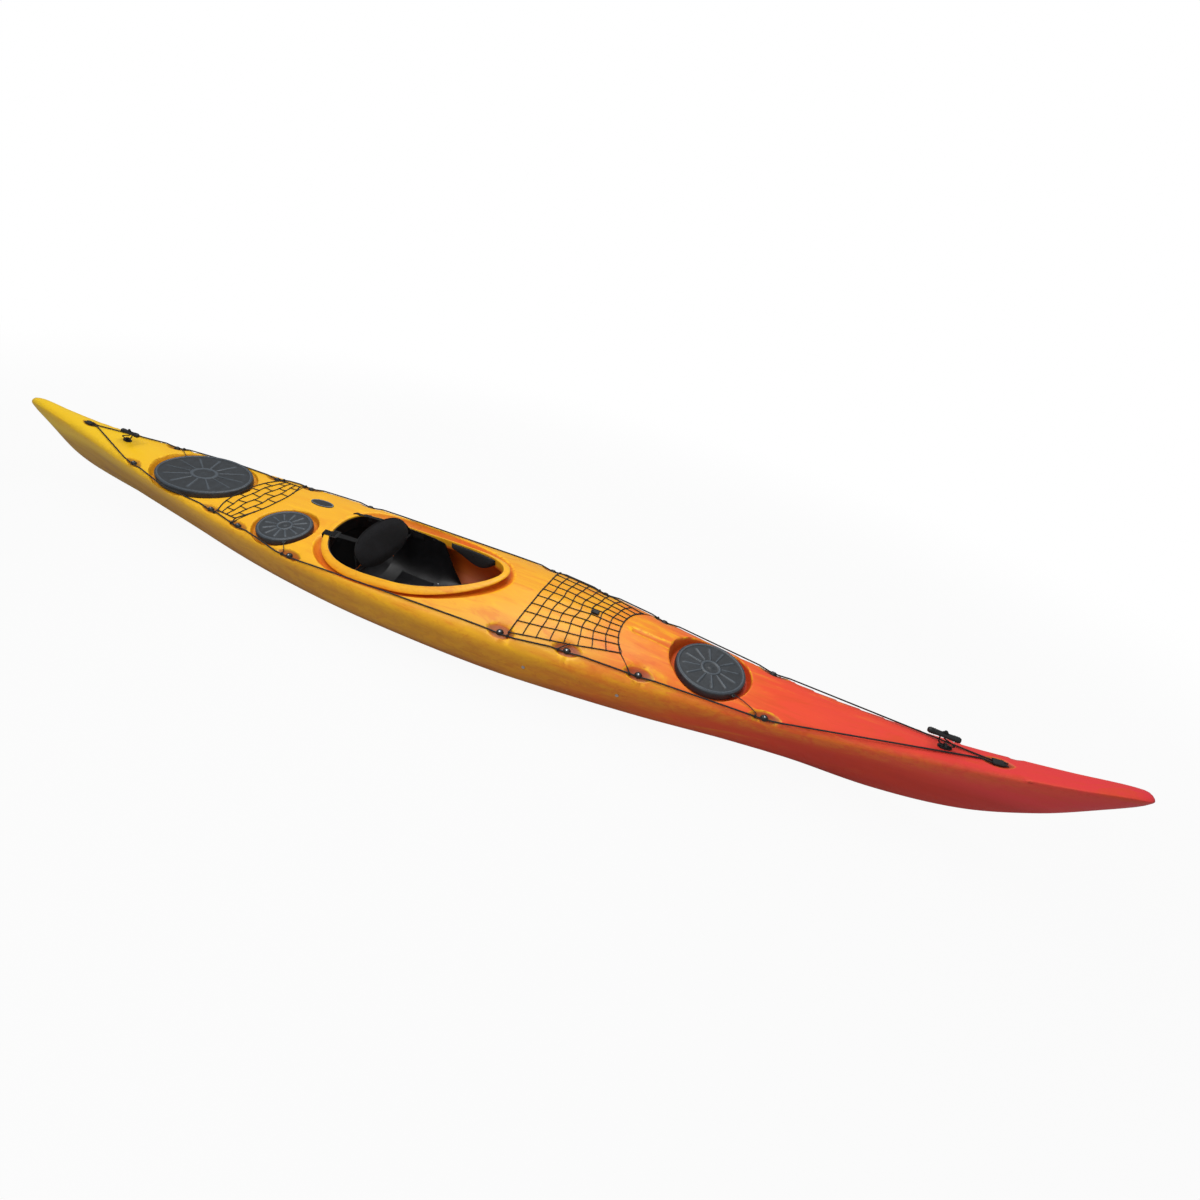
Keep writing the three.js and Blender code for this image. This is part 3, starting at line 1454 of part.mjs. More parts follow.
// A round pin from one point to another.
function pin(from, to, radius, sides) {
  const length = from.distanceTo(to);
  const geometry = new THREE.CylinderGeometry(radius, radius, length, sides);
  const turn = new THREE.Quaternion().setFromUnitVectors(
    new THREE.Vector3(0, 1, 0),
    to.clone().sub(from).normalize(),
  );
  const middle = from.clone().add(to).divideScalar(2);
  return solidOf(geometry.applyQuaternion(turn).translate(middle.x, middle.y, middle.z));
}

// Places and directions of the bolts that go through the coaming's wall.
function wallBolts(shares, side) {
  return shares.map((share) => {
    const x = share * HALF_LENGTH;
    const half = openingHalf(x);
    const z = coamingHeight(x, half) - WALL_BOLT.drop;
    return new THREE.Vector3(x, side * half, z);
  });
}

const alongY = (point, side, distance) => point.clone().add(new THREE.Vector3(0, side * distance, 0));

// A bolt through the coaming's wall, its head inboard of a piece and its nut in the channel.
function wallBolt(place, side, inboard) {
  const { radius, head, headThickness, nut, nutThickness } = WALL_BOLT;
  const outer = COAMING.wall + WALL_BOLT.slack;
  const at = (distance) => alongY(place, side, distance);
  return joined([
    pin(at(-inboard), at(outer + nutThickness), radius, PIN_FACETS),
    pin(at(-inboard - headThickness), at(-inboard + FIT), head, PIN_FACETS),
    pin(at(outer), at(outer + nutThickness), nut, PIN_FACETS),
  ]);
}

function wallBoltHoles() {
  return Object.values(SIDES).flatMap((side) =>
    wallBolts([...SEAT.boltShares, ...BRACE.boltShares], side).map((place) => {
      const clear = WALL_BOLT.radius + 2 * CORD_FIT;
      return pin(alongY(place, side, -OVERRUN / 4), alongY(place, side, OVERRUN / 2), clear, PIN_FACETS);
    }),
  );
}

// The seat's wings end a little over the bolts that hold them to the coaming's wall.
const seatHeight = () =>
  coamingHeight(COAMING.centreShare * HALF_LENGTH, COAMING.halfWidth) - WALL_BOLT.drop + SEAT.overBolts;

// The seat's upper face as rows of points: a square-bottomed trough with high wings.
function seatRows() {
  const [back, front] = [SEAT.backShare * HALF_LENGTH, SEAT.frontShare * HALF_LENGTH];
  return SEAT.stationShares.map(([along, topShare, baseShare]) => {
    const x = back + (front - back) * along;
    const [top, base] = [topShare * seatHeight(), baseShare * seatHeight()];
    const half = openingHalf(x) - SEAT.thickness - SEAT.slack;
    return Array.from({ length: SEAT.columns + 1 }, (_, j) => {
      const angle = Math.PI * (1 / 2 - j / SEAT.columns);
      const [s, c] = [Math.sin(angle), Math.abs(Math.cos(angle))];
      const y = half * Math.sign(s) * Math.abs(s) ** (2 / SEAT.squareness);
      const ends = j === 0 || j === SEAT.columns;
      return new THREE.Vector3(x, y, ends ? top : top - (top - base) * c ** (2 / SEAT.squareness));
    });
  });
}

function seatPan() {
  const bolts = Object.values(SIDES).flatMap((side) =>
    wallBolts(SEAT.boltShares, side).map((place) => wallBolt(place, side, SEAT.thickness + SEAT.slack)),
  );
  const sockets = Object.values(SIDES).map((side) => backrestSocket(side));
  return joined([sheet(seatRows(), SEAT.thickness), ...bolts, ...sockets]);
}

// The seat pad: a cushion with a soft crown that lies on the pan.
function seatPad() {
  const [firstRow, lastRow] = SEAT.padRows;
  const [firstColumn, lastColumn] = SEAT.padColumns;
  const rows = seatRows()
    .slice(firstRow, lastRow + 1)
    .map((row) => row.slice(firstColumn, lastColumn + 1));
  const lower = offsetRows(rows, SEAT.padLift);
  const crown = (i, count) => (i === 0 || i === count - 1 ? SEAT.padEdgeShare : 1);
  const upper = lower.map((row, i) =>
    row.map((point, j) => {
      const share = Math.min(crown(i, lower.length), crown(j, row.length));
      return point.clone().add(new THREE.Vector3(0, 0, SEAT.padThickness * share));
    }),
  );
  return slab(upper, lower);
}

// The backrest's own frame: x across to port, y up its face and z out of its front.
function backrestFrame() {
  const lean = THREE.MathUtils.degToRad(BACKREST.leanAngle);
  const across = new THREE.Vector3(0, 1, 0);
  const up = new THREE.Vector3(-Math.sin(lean), 0, Math.cos(lean));
  const out = across.clone().cross(up);
  const centre = new THREE.Vector3(BACKREST.alongShare * HALF_LENGTH, 0, seatHeight() + BACKREST.rise);
  return new THREE.Matrix4().makeBasis(across, up, out).setPosition(centre);
}

// A point of the bent backrest: shares of its oval, and a distance in front of the shell's face.
function backrestPoint(share, angle, front) {
  const power = 2 / BACKREST.exponent;
  const [c, s] = [Math.cos(angle), Math.sin(angle)];
  const x = BACKREST.halfWidth * share * Math.sign(c) * Math.abs(c) ** power;
  const y = BACKREST.halfHeight * share * Math.sign(s) * Math.abs(s) ** power;
  return new THREE.Vector3(x, y, front + BACKREST.bend * (x / BACKREST.halfWidth) ** 2);
}

function backrestLayers(profile) {
  const rows = profile.map(([share, front]) =>
    share === 0
      ? [backrestPoint(0, 0, front)]
      : Array.from({ length: BACKREST.facets }, (_, i) =>
          backrestPoint(share, (i / BACKREST.facets) * 2 * Math.PI, front),
        ),
  );
  return solidOf(skin(rows));
}

// The backrest's shell, with the bar it turns on and two ribs that join them.
function backrestShell() {
  const { shell, shellShare, bar, barUp, barBack, ribs, ribWidth, ribHeight, bend, halfWidth } = BACKREST;
  const plate = backrestLayers([
    [0, -shell],
    [1 / 2, -shell],
    [shellShare, -shell],
    [shellShare, 0],
    [1 / 2, 0],
    [0, 0],
  ]);
  const half = barHalf();
  const [left, right] = [-half, half].map((x) => new THREE.Vector3(x, -barUp, -barBack));
  const rod = pin(left, right, bar, BAR_FACETS);
  const stays = [-ribs, ribs].map((x) => {
    const depth = barBack + bend * (x / halfWidth) ** 2 - shell / 2;
    const rib = new THREE.BoxGeometry(ribWidth, ribHeight, depth);
    return solidOf(rib.translate(x, -barUp, -barBack + depth / 2));
  });
  return geometryOf(joined([plate, rod, ...stays])).applyMatrix4(backrestFrame());
}

const barPlace = () =>
  new THREE.Vector3(0, -BACKREST.barUp, -BACKREST.barBack).applyMatrix4(backrestFrame());
const wingInner = (x) => openingHalf(x) - SEAT.thickness - SEAT.slack;

// The inner face of a seat wing between the stations on either side of a place.
function wingFace(x) {
  const [back, front] = [SEAT.backShare * HALF_LENGTH, SEAT.frontShare * HALF_LENGTH];
  const places = SEAT.stationShares.map(([along]) => back + (front - back) * along);
  const i = Math.max(1, places.findIndex((place) => place >= x));
  const [one, two] = [places[i - 1], places[i]];
  return THREE.MathUtils.mapLinear(x, one, two, wingInner(one), wingInner(two));
}

const barHalf = () => wingInner(barPlace().x) - BACKREST.barShort;

// The socket on a seat wing that holds an end of the backrest's bar.
function backrestSocket(side) {
  const { socket, socketDepth, bar } = BACKREST;
  const place = barPlace();
  const face = wingInner(place.x);
  const depth = socketDepth + SEAT.thickness / 2;
  const block = new THREE.CylinderGeometry(socket, socket, depth, BAR_FACETS);
  block.translate(place.x, side * (face - (socketDepth - SEAT.thickness / 2) / 2), place.z);
  const from = new THREE.Vector3(place.x, side * (face - socketDepth - FIT), place.z);
  const to = new THREE.Vector3(place.x, side * (face - BACKREST.barShort + CORD_FIT), place.z);
  return solidOf(block).subtract(pin(from, to, bar + CORD_FIT, BAR_FACETS));
}

// The backrest's pad: a soft oval, thin at its edge and full in front.
function backrestPad() {
  const { pad, padLift, edge, sideShare, sideRise, faceShare, crown } = BACKREST;
  const solid = backrestLayers([
    [0, padLift],
    [1 / 2, padLift],
    [BACKREST.shellShare, padLift],
    [1, edge],
    [sideShare, pad * sideRise],
    [faceShare, pad],
    [0, pad * crown],
  ]);
  return geometryOf(solid).applyMatrix4(backrestFrame());
}

// A webbing strap through a row of places, with its direction across at each of them.
function strap(places, cross) {
  const rows = places.map((place, i) => {
    const reach = cross(i).multiplyScalar(STRAP.width / 2);
    return [place.clone().add(reach), place.clone().sub(reach)];
  });
  return sheet(rows, STRAP.thickness);
}

// Height of the channel's floor behind the cockpit, under the lip.
function gutterFloor(x, y) {
  const from = new THREE.Vector3(x, y, coamingHeight(x, y) - GUTTER.depth / 2);
  probe.set(from, new THREE.Vector3(0, 0, -1));
  return probe.intersectObject(hullSkin)[0].point.z;
}

// A rear strap: anchored in the channel, over the coaming's lip and forward to the backrest.
function backrestStrap(side) {
  const y = side * STRAP.across;
  const centre = COAMING.centreShare * HALF_LENGTH;
  const near = (STRAP.across - STRAP.width / 2) / COAMING.halfWidth / (1 + COAMING.taperShare);
  const share = near ** COAMING.backExponent;
  const edge = centre - COAMING.halfLength * (1 - share) ** (1 / COAMING.backExponent);
  const outer = edge - COAMING.lip - COAMING.wall / 4 - 2 * STRAP.thickness;
  const over = (x, lift) => new THREE.Vector3(x, y, coamingHeight(x, y) + STRAP.thickness + lift);
  const floor = gutterFloor(outer + STRAP.foot, y) + STRAP.thickness + FIT;
  const hold = new THREE.Vector3(side * STRAP.across, BACKREST.strapUp, 0);
  hold.z = BACKREST.bend * (STRAP.across / BACKREST.halfWidth) ** 2 - BACKREST.shell - FIT;
  const low = hold.clone().setY(BACKREST.strapUp - STRAP.tab).applyMatrix4(backrestFrame());
  const top = hold.clone().applyMatrix4(backrestFrame());
  const behind = top.clone().add(new THREE.Vector3(-3 * STRAP.thickness, 0, STRAP.thickness));
  const places = [
    new THREE.Vector3(outer, y, floor + 2 * FIT),
    new THREE.Vector3(outer, y, coamingHeight(outer, y) - COAMING.lipThickness),
    over(outer + STRAP.thickness, -FIT),
    over(edge - COAMING.lip / 2, FIT),
    over(edge, FIT * 2),
    behind.clone().lerp(over(edge, 0), 1 / 2),
    behind,
    top,
    low,
  ];
  const draped = new THREE.Vector3(0, 1, -y / COAMING.crownRadius).normalize();
  const bent = (2 * BACKREST.bend * STRAP.across) / BACKREST.halfWidth ** 2;
  const flat = new THREE.Vector3(1, 0, side * bent).transformDirection(backrestFrame());
  const band = strap(places, (i) => (i < 5 ? draped : flat).clone());
  const buckle = new THREE.BoxGeometry(STRAP.buckleLength, STRAP.buckleWidth, STRAP.buckle);
  const middle = places[5].clone().lerp(places[4], STRAP.buckleShare);
  const run = places[5].clone().sub(places[4]);
  buckle.rotateY(-Math.atan2(run.z, run.x)).translate(middle.x, middle.y, middle.z);
  const foot = new THREE.CylinderGeometry(STRAP.foot, STRAP.foot, 2 * STRAP.thickness, ROUND_FACETS);
  foot.rotateX(Math.PI / 2 - y / COAMING.crownRadius);
  foot.translate(outer + STRAP.foot, y, floor + 3 * FIT);
  return joined([band, solidOf(buckle), solidOf(foot)]);
}

// A side strap: from behind the backrest's edge forward to the seat's wing.
function sideStrap(side) {
  const frame = backrestFrame();
  const { halfWidth, bend, shell, shellShare } = BACKREST;
  const at = (across, front) => new THREE.Vector3(side * across, 0, front).applyMatrix4(frame);
  const behind = (across) => bend * (across / halfWidth) ** 2 - shell - FIT * 2;
  const inner = halfWidth * shellShare - STRAP.width / 2;
  const edge = halfWidth + 2 * STRAP.thickness;
  const [x, z] = [SEAT.strapShare * HALF_LENGTH, SEAT.strapHeightShare * seatHeight()];
  const wing = (back) => {
    const face = wingFace(x - back) - STRAP.thickness - STRAP.slack;
    return new THREE.Vector3(x - back, side * face, z);
  };
  const round = at(edge, bend);
  const places = [
    at(inner, behind(inner)),
    at(halfWidth, behind(halfWidth)),
    round,
    wing(STRAP.turnBack),
    wing(0),
  ];
  const rows = places.map((place, i) => {
    const up = i < 2 ? new THREE.Vector3(0, 1, 0).transformDirection(frame) : new THREE.Vector3(0, 0, 1);
    const reach = up.multiplyScalar((side * STRAP.width) / 2);
    return [place.clone().sub(reach), place.clone().add(reach)];
  });
  return slab(offsetRows(rows, STRAP.thickness), rows);
}

// A thigh brace: a padded fin bolted inside the coaming's wall.
function thighBrace(side) {
  const [start, end] = [BRACE.startShare * HALF_LENGTH, BRACE.endShare * HALF_LENGTH];
  const { slack, thickness, endDepthShare, fullnessShares } = BRACE;
  const rows = Array.from({ length: BRACE.stations + 1 }, (_, i) => {
    const t = i / BRACE.stations;
    const x = start + (end - start) * t;
    const half = openingHalf(x);
    const slope = (openingHalf(x + PROBE) - openingHalf(x - PROBE)) / (2 * PROBE);
    const inward = new THREE.Vector3(slope, -side, 0).normalize();
    const wall = new THREE.Vector3(x, side * half, coamingHeight(x, half) - BRACE.top);
    const fullness = endDepthShare + (1 - endDepthShare) * Math.sin(Math.PI * t ** BRACE.leanExponent);
    const depth = BRACE.depth * fullness;
    const down = (distance) => wall.clone().add(new THREE.Vector3(0, 0, -distance));
    const at = (inset, distance) => down(distance).addScaledVector(inward, inset);
    const downs = [0, depth / 2, depth];
    const skinFace = downs.map((distance, n) => at(slack + thickness * fullnessShares[n], distance));
    const wallFace = downs.map((distance) => at(slack, distance));
    return side > 0 ? [skinFace, wallFace] : [skinFace.reverse(), wallFace.reverse()];
  });
  const pad = slab(rows.map(([upper]) => upper), rows.map(([, lower]) => lower));
  const bolts = wallBolts(BRACE.boltShares, side).map((place) => wallBolt(place, side, slack + thickness));
  return joined([pad, ...bolts]);
}

// A bulkhead: a plate across the hull, a little clear of the inner wall.
function bulkhead(share, room) {
  const plate = new THREE.BoxGeometry(BULKHEAD_THICKNESS, 2 * BEAM, 2 * HEIGHT);
  return solidOf(plate.translate(share * HALF_LENGTH, 0, HEIGHT)).intersect(room);
}

// The line of a footrest rail: where its outboard face stands over the two bolts.
function railLine(side) {
  const [aft, front] = boltPlaces(side).map(({ point, wall }) =>
    alongY(point, side, -wall - RAIL.standoff),
  );
  const along = front.clone().sub(aft).normalize();
  const inboard = new THREE.Vector3(0, 0, 1).cross(along).multiplyScalar(-side).normalize();
  return { aft, front, along, inboard };
}

// A box that lies along a rail: its middle, its length, how far it spans inboard, and its height.
function railBox(line, middle, length, from, to, tall, rise = 0) {
  const { along, inboard } = line;
  const box = new THREE.BoxGeometry(length, to - from, tall);
  box.rotateZ(Math.atan2(along.y, along.x));
  const centre = middle.clone().addScaledVector(inboard, (from + to) / 2);
  return solidOf(box.translate(centre.x, centre.y, centre.z + rise));
}

function footrestRail(side) {
  const line = railLine(side);
  const middle = line.aft.clone().add(line.front).divideScalar(2);
  const span = line.aft.distanceTo(line.front);
  const bar = railBox(line, middle, span + 2 * RAIL.overhang, 0, RAIL.thickness, RAIL.tall);
  const slot = railBox(line, middle, span - 2 * RAIL.overhang, -FIT, RAIL.thickness + FIT, RAIL.slot);
  const bolts = boltPlaces(side).flatMap(({ point, normal, wall }) => {
    const out = (distance) => point.clone().addScaledVector(normal, distance);
    const inner = -wall - RAIL.standoff - RAIL.thickness / 2;
    return [
      pin(out(inner), out(FIT + BOLT.headThickness / 2), BOLT.radius, PIN_FACETS),
      pin(out(FIT), out(FIT + BOLT.headThickness), BOLT.head, ROUND_FACETS),
      pin(out(inner), out(-wall - FIT * 2), BOLT.spacer, PIN_FACETS),
    ];
  });
  return joined([bar.subtract(slot), ...bolts]);
}

// A foot peg: a carriage that slides along the rail's slot, and a ribbed plate for the foot.
function footPeg(side) {
  const line = railLine(side);
  const span = line.aft.distanceTo(line.front);
  const middle = line.aft.clone().addScaledVector(line.along, span * PEG.share);
  const { carriage, carriageThickness, tongue, keeper, keeperThickness } = PEG;
  const { width, tall, thickness, rise } = PEG;
  const face = RAIL.thickness + FIT;
  const plateMiddle = middle.clone().addScaledVector(line.along, PEG.forward);
  return joined([
    railBox(line, middle, carriage, face, face + carriageThickness, RAIL.tall),
    railBox(line, middle, tongue, -keeperThickness, face + carriageThickness / 2, RAIL.slot - 2 * FIT),
    railBox(line, middle, tongue, -FIT - keeperThickness, -FIT, keeper),
    railBox(line, plateMiddle, thickness, face + carriageThickness / 2, face + width, tall, rise),
  ]);
}

const hullSolid = hullShell();
const hullSkin = new THREE.Mesh(geometryOf(hullSolid));
addPart("hull_shell", hullSolid, "hull");
HATCHES.forEach((hatch) => {
  addPart(`${hatch.name}_hatch_rim`, hatchRim(hatch), "plastic");
  addPart(`${hatch.name}_hatch_cover`, hatchCover(hatch), "rubber");
  addPart(`${hatch.name}_hatch_tether`, tether(hatch), "cord");
});
Object.entries(SIDES).forEach(([name, side]) => {
  addPart(`deck_line_${name}`, deckLine(side), "cord");
  fittingPlaces(side).forEach((place, i) => {
    addPart(`deck_fitting_${name}_${i + 1}`, deckFitting(place, side), "plastic");
  });
});
addPart("front_deck_net", deckNet(FRONT_NET), "cord");
addPart("rear_deck_net", deckNet(REAR_NET), "cord");
addPart("net_hook", netHook(), "plastic");
addPart("oval_deck_plate", deckPlate(), "plastic");
const room = cavity(2 * FIT);
Object.entries(BULKHEADS).forEach(([name, share]) => addPart(name, bulkhead(share, room), "foam"));
addPart("seat_pan", seatPan(), "plastic");
addPart("seat_pad", seatPad(), "fabric");
addPart("backrest_shell", backrestShell(), "plastic");
addPart("backrest_pad", backrestPad(), "fabric");
Object.entries(SIDES).forEach(([name, side]) => {
  addPart(`backrest_strap_${name}`, backrestStrap(side), "fabric");
  addPart(`side_strap_${name}`, sideStrap(side), "fabric");
  addPart(`thigh_brace_${name}`, thighBrace(side), "foam");
  addPart(`footrest_rail_${name}`, footrestRail(side), "alloy");
  addPart(`foot_peg_${name}`, footPeg(side), "plastic");
});
TOGGLE_ENDS.forEach((end, i) => {
  addPart(`${end.name}_end_fitting`, endFitting(END_FITTING_SHARES[i]), "plastic");
  addPart(`${end.name}_pad_eye`, padEye(end.share), "plastic");
  addPart(`${end.name}_toggle`, toggle(end), "plastic");
  addPart(`${end.name}_toggle_loop`, toggleLoop(end), "cord");
});

export default group;
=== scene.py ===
import json
import math

import bmesh
import bpy
import numpy as np
from bpy.props import FloatProperty, FloatVectorProperty, PointerProperty
from mathutils import Matrix, Vector
from mathutils.bvhtree import BVHTree
from mathutils.geometry import delaunay_2d_cdt
from mathutils.kdtree import KDTree


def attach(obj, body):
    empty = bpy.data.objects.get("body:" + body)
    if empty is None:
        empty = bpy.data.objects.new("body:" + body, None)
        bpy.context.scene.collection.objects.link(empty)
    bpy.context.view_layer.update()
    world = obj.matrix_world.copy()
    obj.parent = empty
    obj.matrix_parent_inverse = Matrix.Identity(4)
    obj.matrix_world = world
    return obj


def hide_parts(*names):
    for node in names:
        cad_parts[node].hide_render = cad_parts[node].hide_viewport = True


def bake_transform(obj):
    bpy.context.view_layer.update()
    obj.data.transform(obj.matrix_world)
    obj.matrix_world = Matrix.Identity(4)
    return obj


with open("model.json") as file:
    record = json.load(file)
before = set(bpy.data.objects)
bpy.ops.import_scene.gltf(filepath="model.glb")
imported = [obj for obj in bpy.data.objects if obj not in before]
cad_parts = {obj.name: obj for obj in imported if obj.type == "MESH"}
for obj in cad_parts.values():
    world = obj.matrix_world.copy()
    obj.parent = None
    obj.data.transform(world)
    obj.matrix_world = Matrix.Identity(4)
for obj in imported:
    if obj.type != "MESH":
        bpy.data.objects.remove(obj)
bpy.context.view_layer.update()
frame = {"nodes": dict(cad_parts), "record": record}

bl_info = {
    "name": "Sea kayak looks",
    "version": (1, 0, 0),
    "blender": (4, 5, 0),
    "location": "3D View > Sidebar > Kayak",
    "description": "Fine surfaces, cords, padding and finishes of a sea kayak around its packed solids",
    "category": "Object",
}

# Geometry is worked out in millimetres, +X to the bow, +Y to port, +Z up, and made in metres.
MM = 0.001
LENGTH, BEAM, HEIGHT = 5100.0, 602.0, 447.0
HALF = LENGTH / 2
WALL = 5.0
KEEL_FLAT = 70.0
TIP_ROUND = 26.0
SHOULDER, CROWN = 0.62, 0.8
CORNER_SHARES = (0.5, 0.5, 0.3, 0.5)
PLAN_ENDS = (-2230.0, 2210.0)  # between these the deck is meshed in plan, beyond them in sections
SIDES = {"port": 1, "starboard": -1}

STATIONS = np.array([
    -1, -0.974, -0.913, -0.83, -0.679, -0.528, -0.377, -0.226, -0.075, 0.094,
    0.226, 0.377, 0.491, 0.604, 0.717, 0.83, 0.913, 0.974, 1,
])
LINES = {
    "keel": [0.66, 0.538, 0.262, 0.127, 0.04, 0.021, 0.0145, 0.009, -0.004, -0.004,
             0.009, 0.0145, 0.019, 0.028, 0.056, 0.2, 0.456, 0.751, 0.895],
    "sheer": [0.06, 0.1, 0.15, 0.235, 0.47, 0.681, 0.85, 0.958, 1, 0.984,
              0.882, 0.706, 0.562, 0.415, 0.284, 0.192, 0.144, 0.105, 0.08],
    "sheer_height": [0.746, 0.759, 0.718, 0.675, 0.628, 0.594, 0.568, 0.555, 0.555, 0.568,
                     0.568, 0.559, 0.568, 0.591, 0.656, 0.757, 0.858, 0.95, 0.975],
    "ridge": [0.789, 0.809, 0.77, 0.727, 0.662, 0.624, 0.617, 0.645, 0.667, 0.742,
              0.753, 0.71, 0.641, 0.645, 0.701, 0.774, 0.868, 0.968, 1],
    "chine": [0.5, 0.5, 0.51, 0.54, 0.66, 0.78, 0.88, 0.93, 0.94, 0.93,
              0.91, 0.84, 0.72, 0.62, 0.54, 0.51, 0.5, 0.5, 0.5],
    "chine_height": [0.346, 0.345, 0.338, 0.32, 0.27, 0.245, 0.21, 0.197, 0.195, 0.19,
                     0.187, 0.19, 0.227, 0.27, 0.32, 0.338, 0.35, 0.35, 0.35],
}

# Cockpit coaming
COAMING_CENTRE = -0.0745 * HALF
COAMING_HALF = (395.0, 198.0)
COAMING_POWERS = (3.4, 1.9)
COAMING_TAPER = 0.105
COAMING_LEVEL, COAMING_RISE, COAMING_CROWN = 340.0, 0.044, 576.0
COAMING_DEPTH = 46.0
GUTTER_DEPTH, GUTTER_BANK = 40.0, 64.0

# Black lining round the cockpit's back and a black mat behind the seat: partly the seat's own black and
# partly painted shade, dark sheets where the hull's inside lies in shade
SHADE_LINER_START, SHADE_LINER_GAP, SHADE_LINER_THICK, SHADE_LINER_FOOT = -395.0, 0.8, 2.0, 216.0
SHADE_MAT_X, SHADE_MAT_HALF, SHADE_MAT_ABOVE = (-592.0, -405.0), 206.0, 200.0

# Hatches: floor origin, normal, half sizes, lug angle and tether
HATCHES = {
    "front": {"origin": (1122.66, 0, 252.09), "normal": (0.0384, 0, 0.9993), "half": (138.5, 138.5),
              "lug": -40, "tether": ("starboard", 7, -1)},
    "day": {"origin": (-805.03, -123.74, 244.55), "normal": (0, -0.0523, 0.9986), "half": (116.5, 116.5),
            "lug": -48, "tether": ("starboard", 3, -1)},
    "rear": {"origin": (-1408.37, 0, 252.82), "normal": (-0.014, 0, 0.9999), "half": (240.5, 173.0),
             "lug": 152, "tether": ("port", 0, 1)},
}
COVER_HEIGHT, RIB_FOOT, RIBS = 36.0, 0.2, 12

FITTINGS = (
    (-0.6737, 0.783), (-0.4545, 0.814), (-0.3824, 0.851), (-0.2569, 0.909),
    (0.1329, 0.832), (0.2376, 0.794), (0.3475, 0.8), (0.5329, 0.842),
)
LEAF = (64.0, 22.0, 7.0)
FITTING_LENGTH, FITTING_OUT, FITTING_HOLE = 30.0, 6.0, 5.6
END_SHARES = (-0.8416, 0.8333)
END_LEAF = (55.0, 22.0, 6.0)
END_LENGTH, END_SPREAD = 34.0, 5.8
LINE_RADIUS, LINE_LIFT, FIT = 3.0, 2.4, 0.3
TETHER_RADIUS, TETHER_REACH, LOOP_REACH = 1.6, 34.0, 5.2
NETS = {
    "front": {"rows": 8, "columns": 9, "aft": 14.0, "front": 44.0, "fittings": (4, 5, 6), "staggered": False,
              "inset": (12, 17, 62), "draw": (0, 0, 50)},
    "rear": {"rows": 4, "columns": 5, "aft": -42.0, "front": -42.0, "fittings": (1, 2), "staggered": True,
             "inset": (16, 28), "draw": (0, 12)},
}
PLATE = (-0.3216 * HALF, 0.449, 62.0, 28.0)
TROUGH = (778.0, 972.0)
TOGGLES = {
    "stern": {"eye": (-1898.98, 0, 318.06), "grip": (-1864.98, 0, 358.06), "body": "toggle_stern"},
    "bow": {"eye": (1958.9, 0, 336.88), "grip": (1936.9, 0, 376.88), "body": "toggle_bow"},
}


# Shader building


def linear(colour):
    """A hex colour as linear RGBA."""
    channels = [int(colour[i:i + 2], 16) / 255 for i in (0, 2, 4)]
    curve = [c / 12.92 if c <= 0.04045 else ((c + 0.055) / 1.055) ** 2.4 for c in channels]
    return (*curve, 1.0)


class Value:
    """A shader socket that takes part in sums, each of which adds its Math node."""

    def __init__(self, shader, socket):
        self.shader = shader
        self.socket = socket

    def _math(self, operation, *terms):
        return self.shader.node("ShaderNodeMath", {"operation": operation}, dict(enumerate(terms)))

    def __add__(self, other):
        return self._math("ADD", self, other)

    def __sub__(self, other):
        return self._math("SUBTRACT", self, other)

    def __rsub__(self, other):
        return self._math("SUBTRACT", other, self)

    def __mul__(self, other):
        return self._math("MULTIPLY", self, other)

    __radd__ = __add__
    __rmul__ = __mul__

    def fade(self, low, high):
        """A smooth rise from 0 at low to 1 at high."""
        settings = {"interpolation_type": "SMOOTHSTEP"}
        return self.shader.node("ShaderNodeMapRange", settings, {0: self, 1: low, 2: high})

    def wave(self):
        """The sine of the value."""
        return self._math("SINE", self)


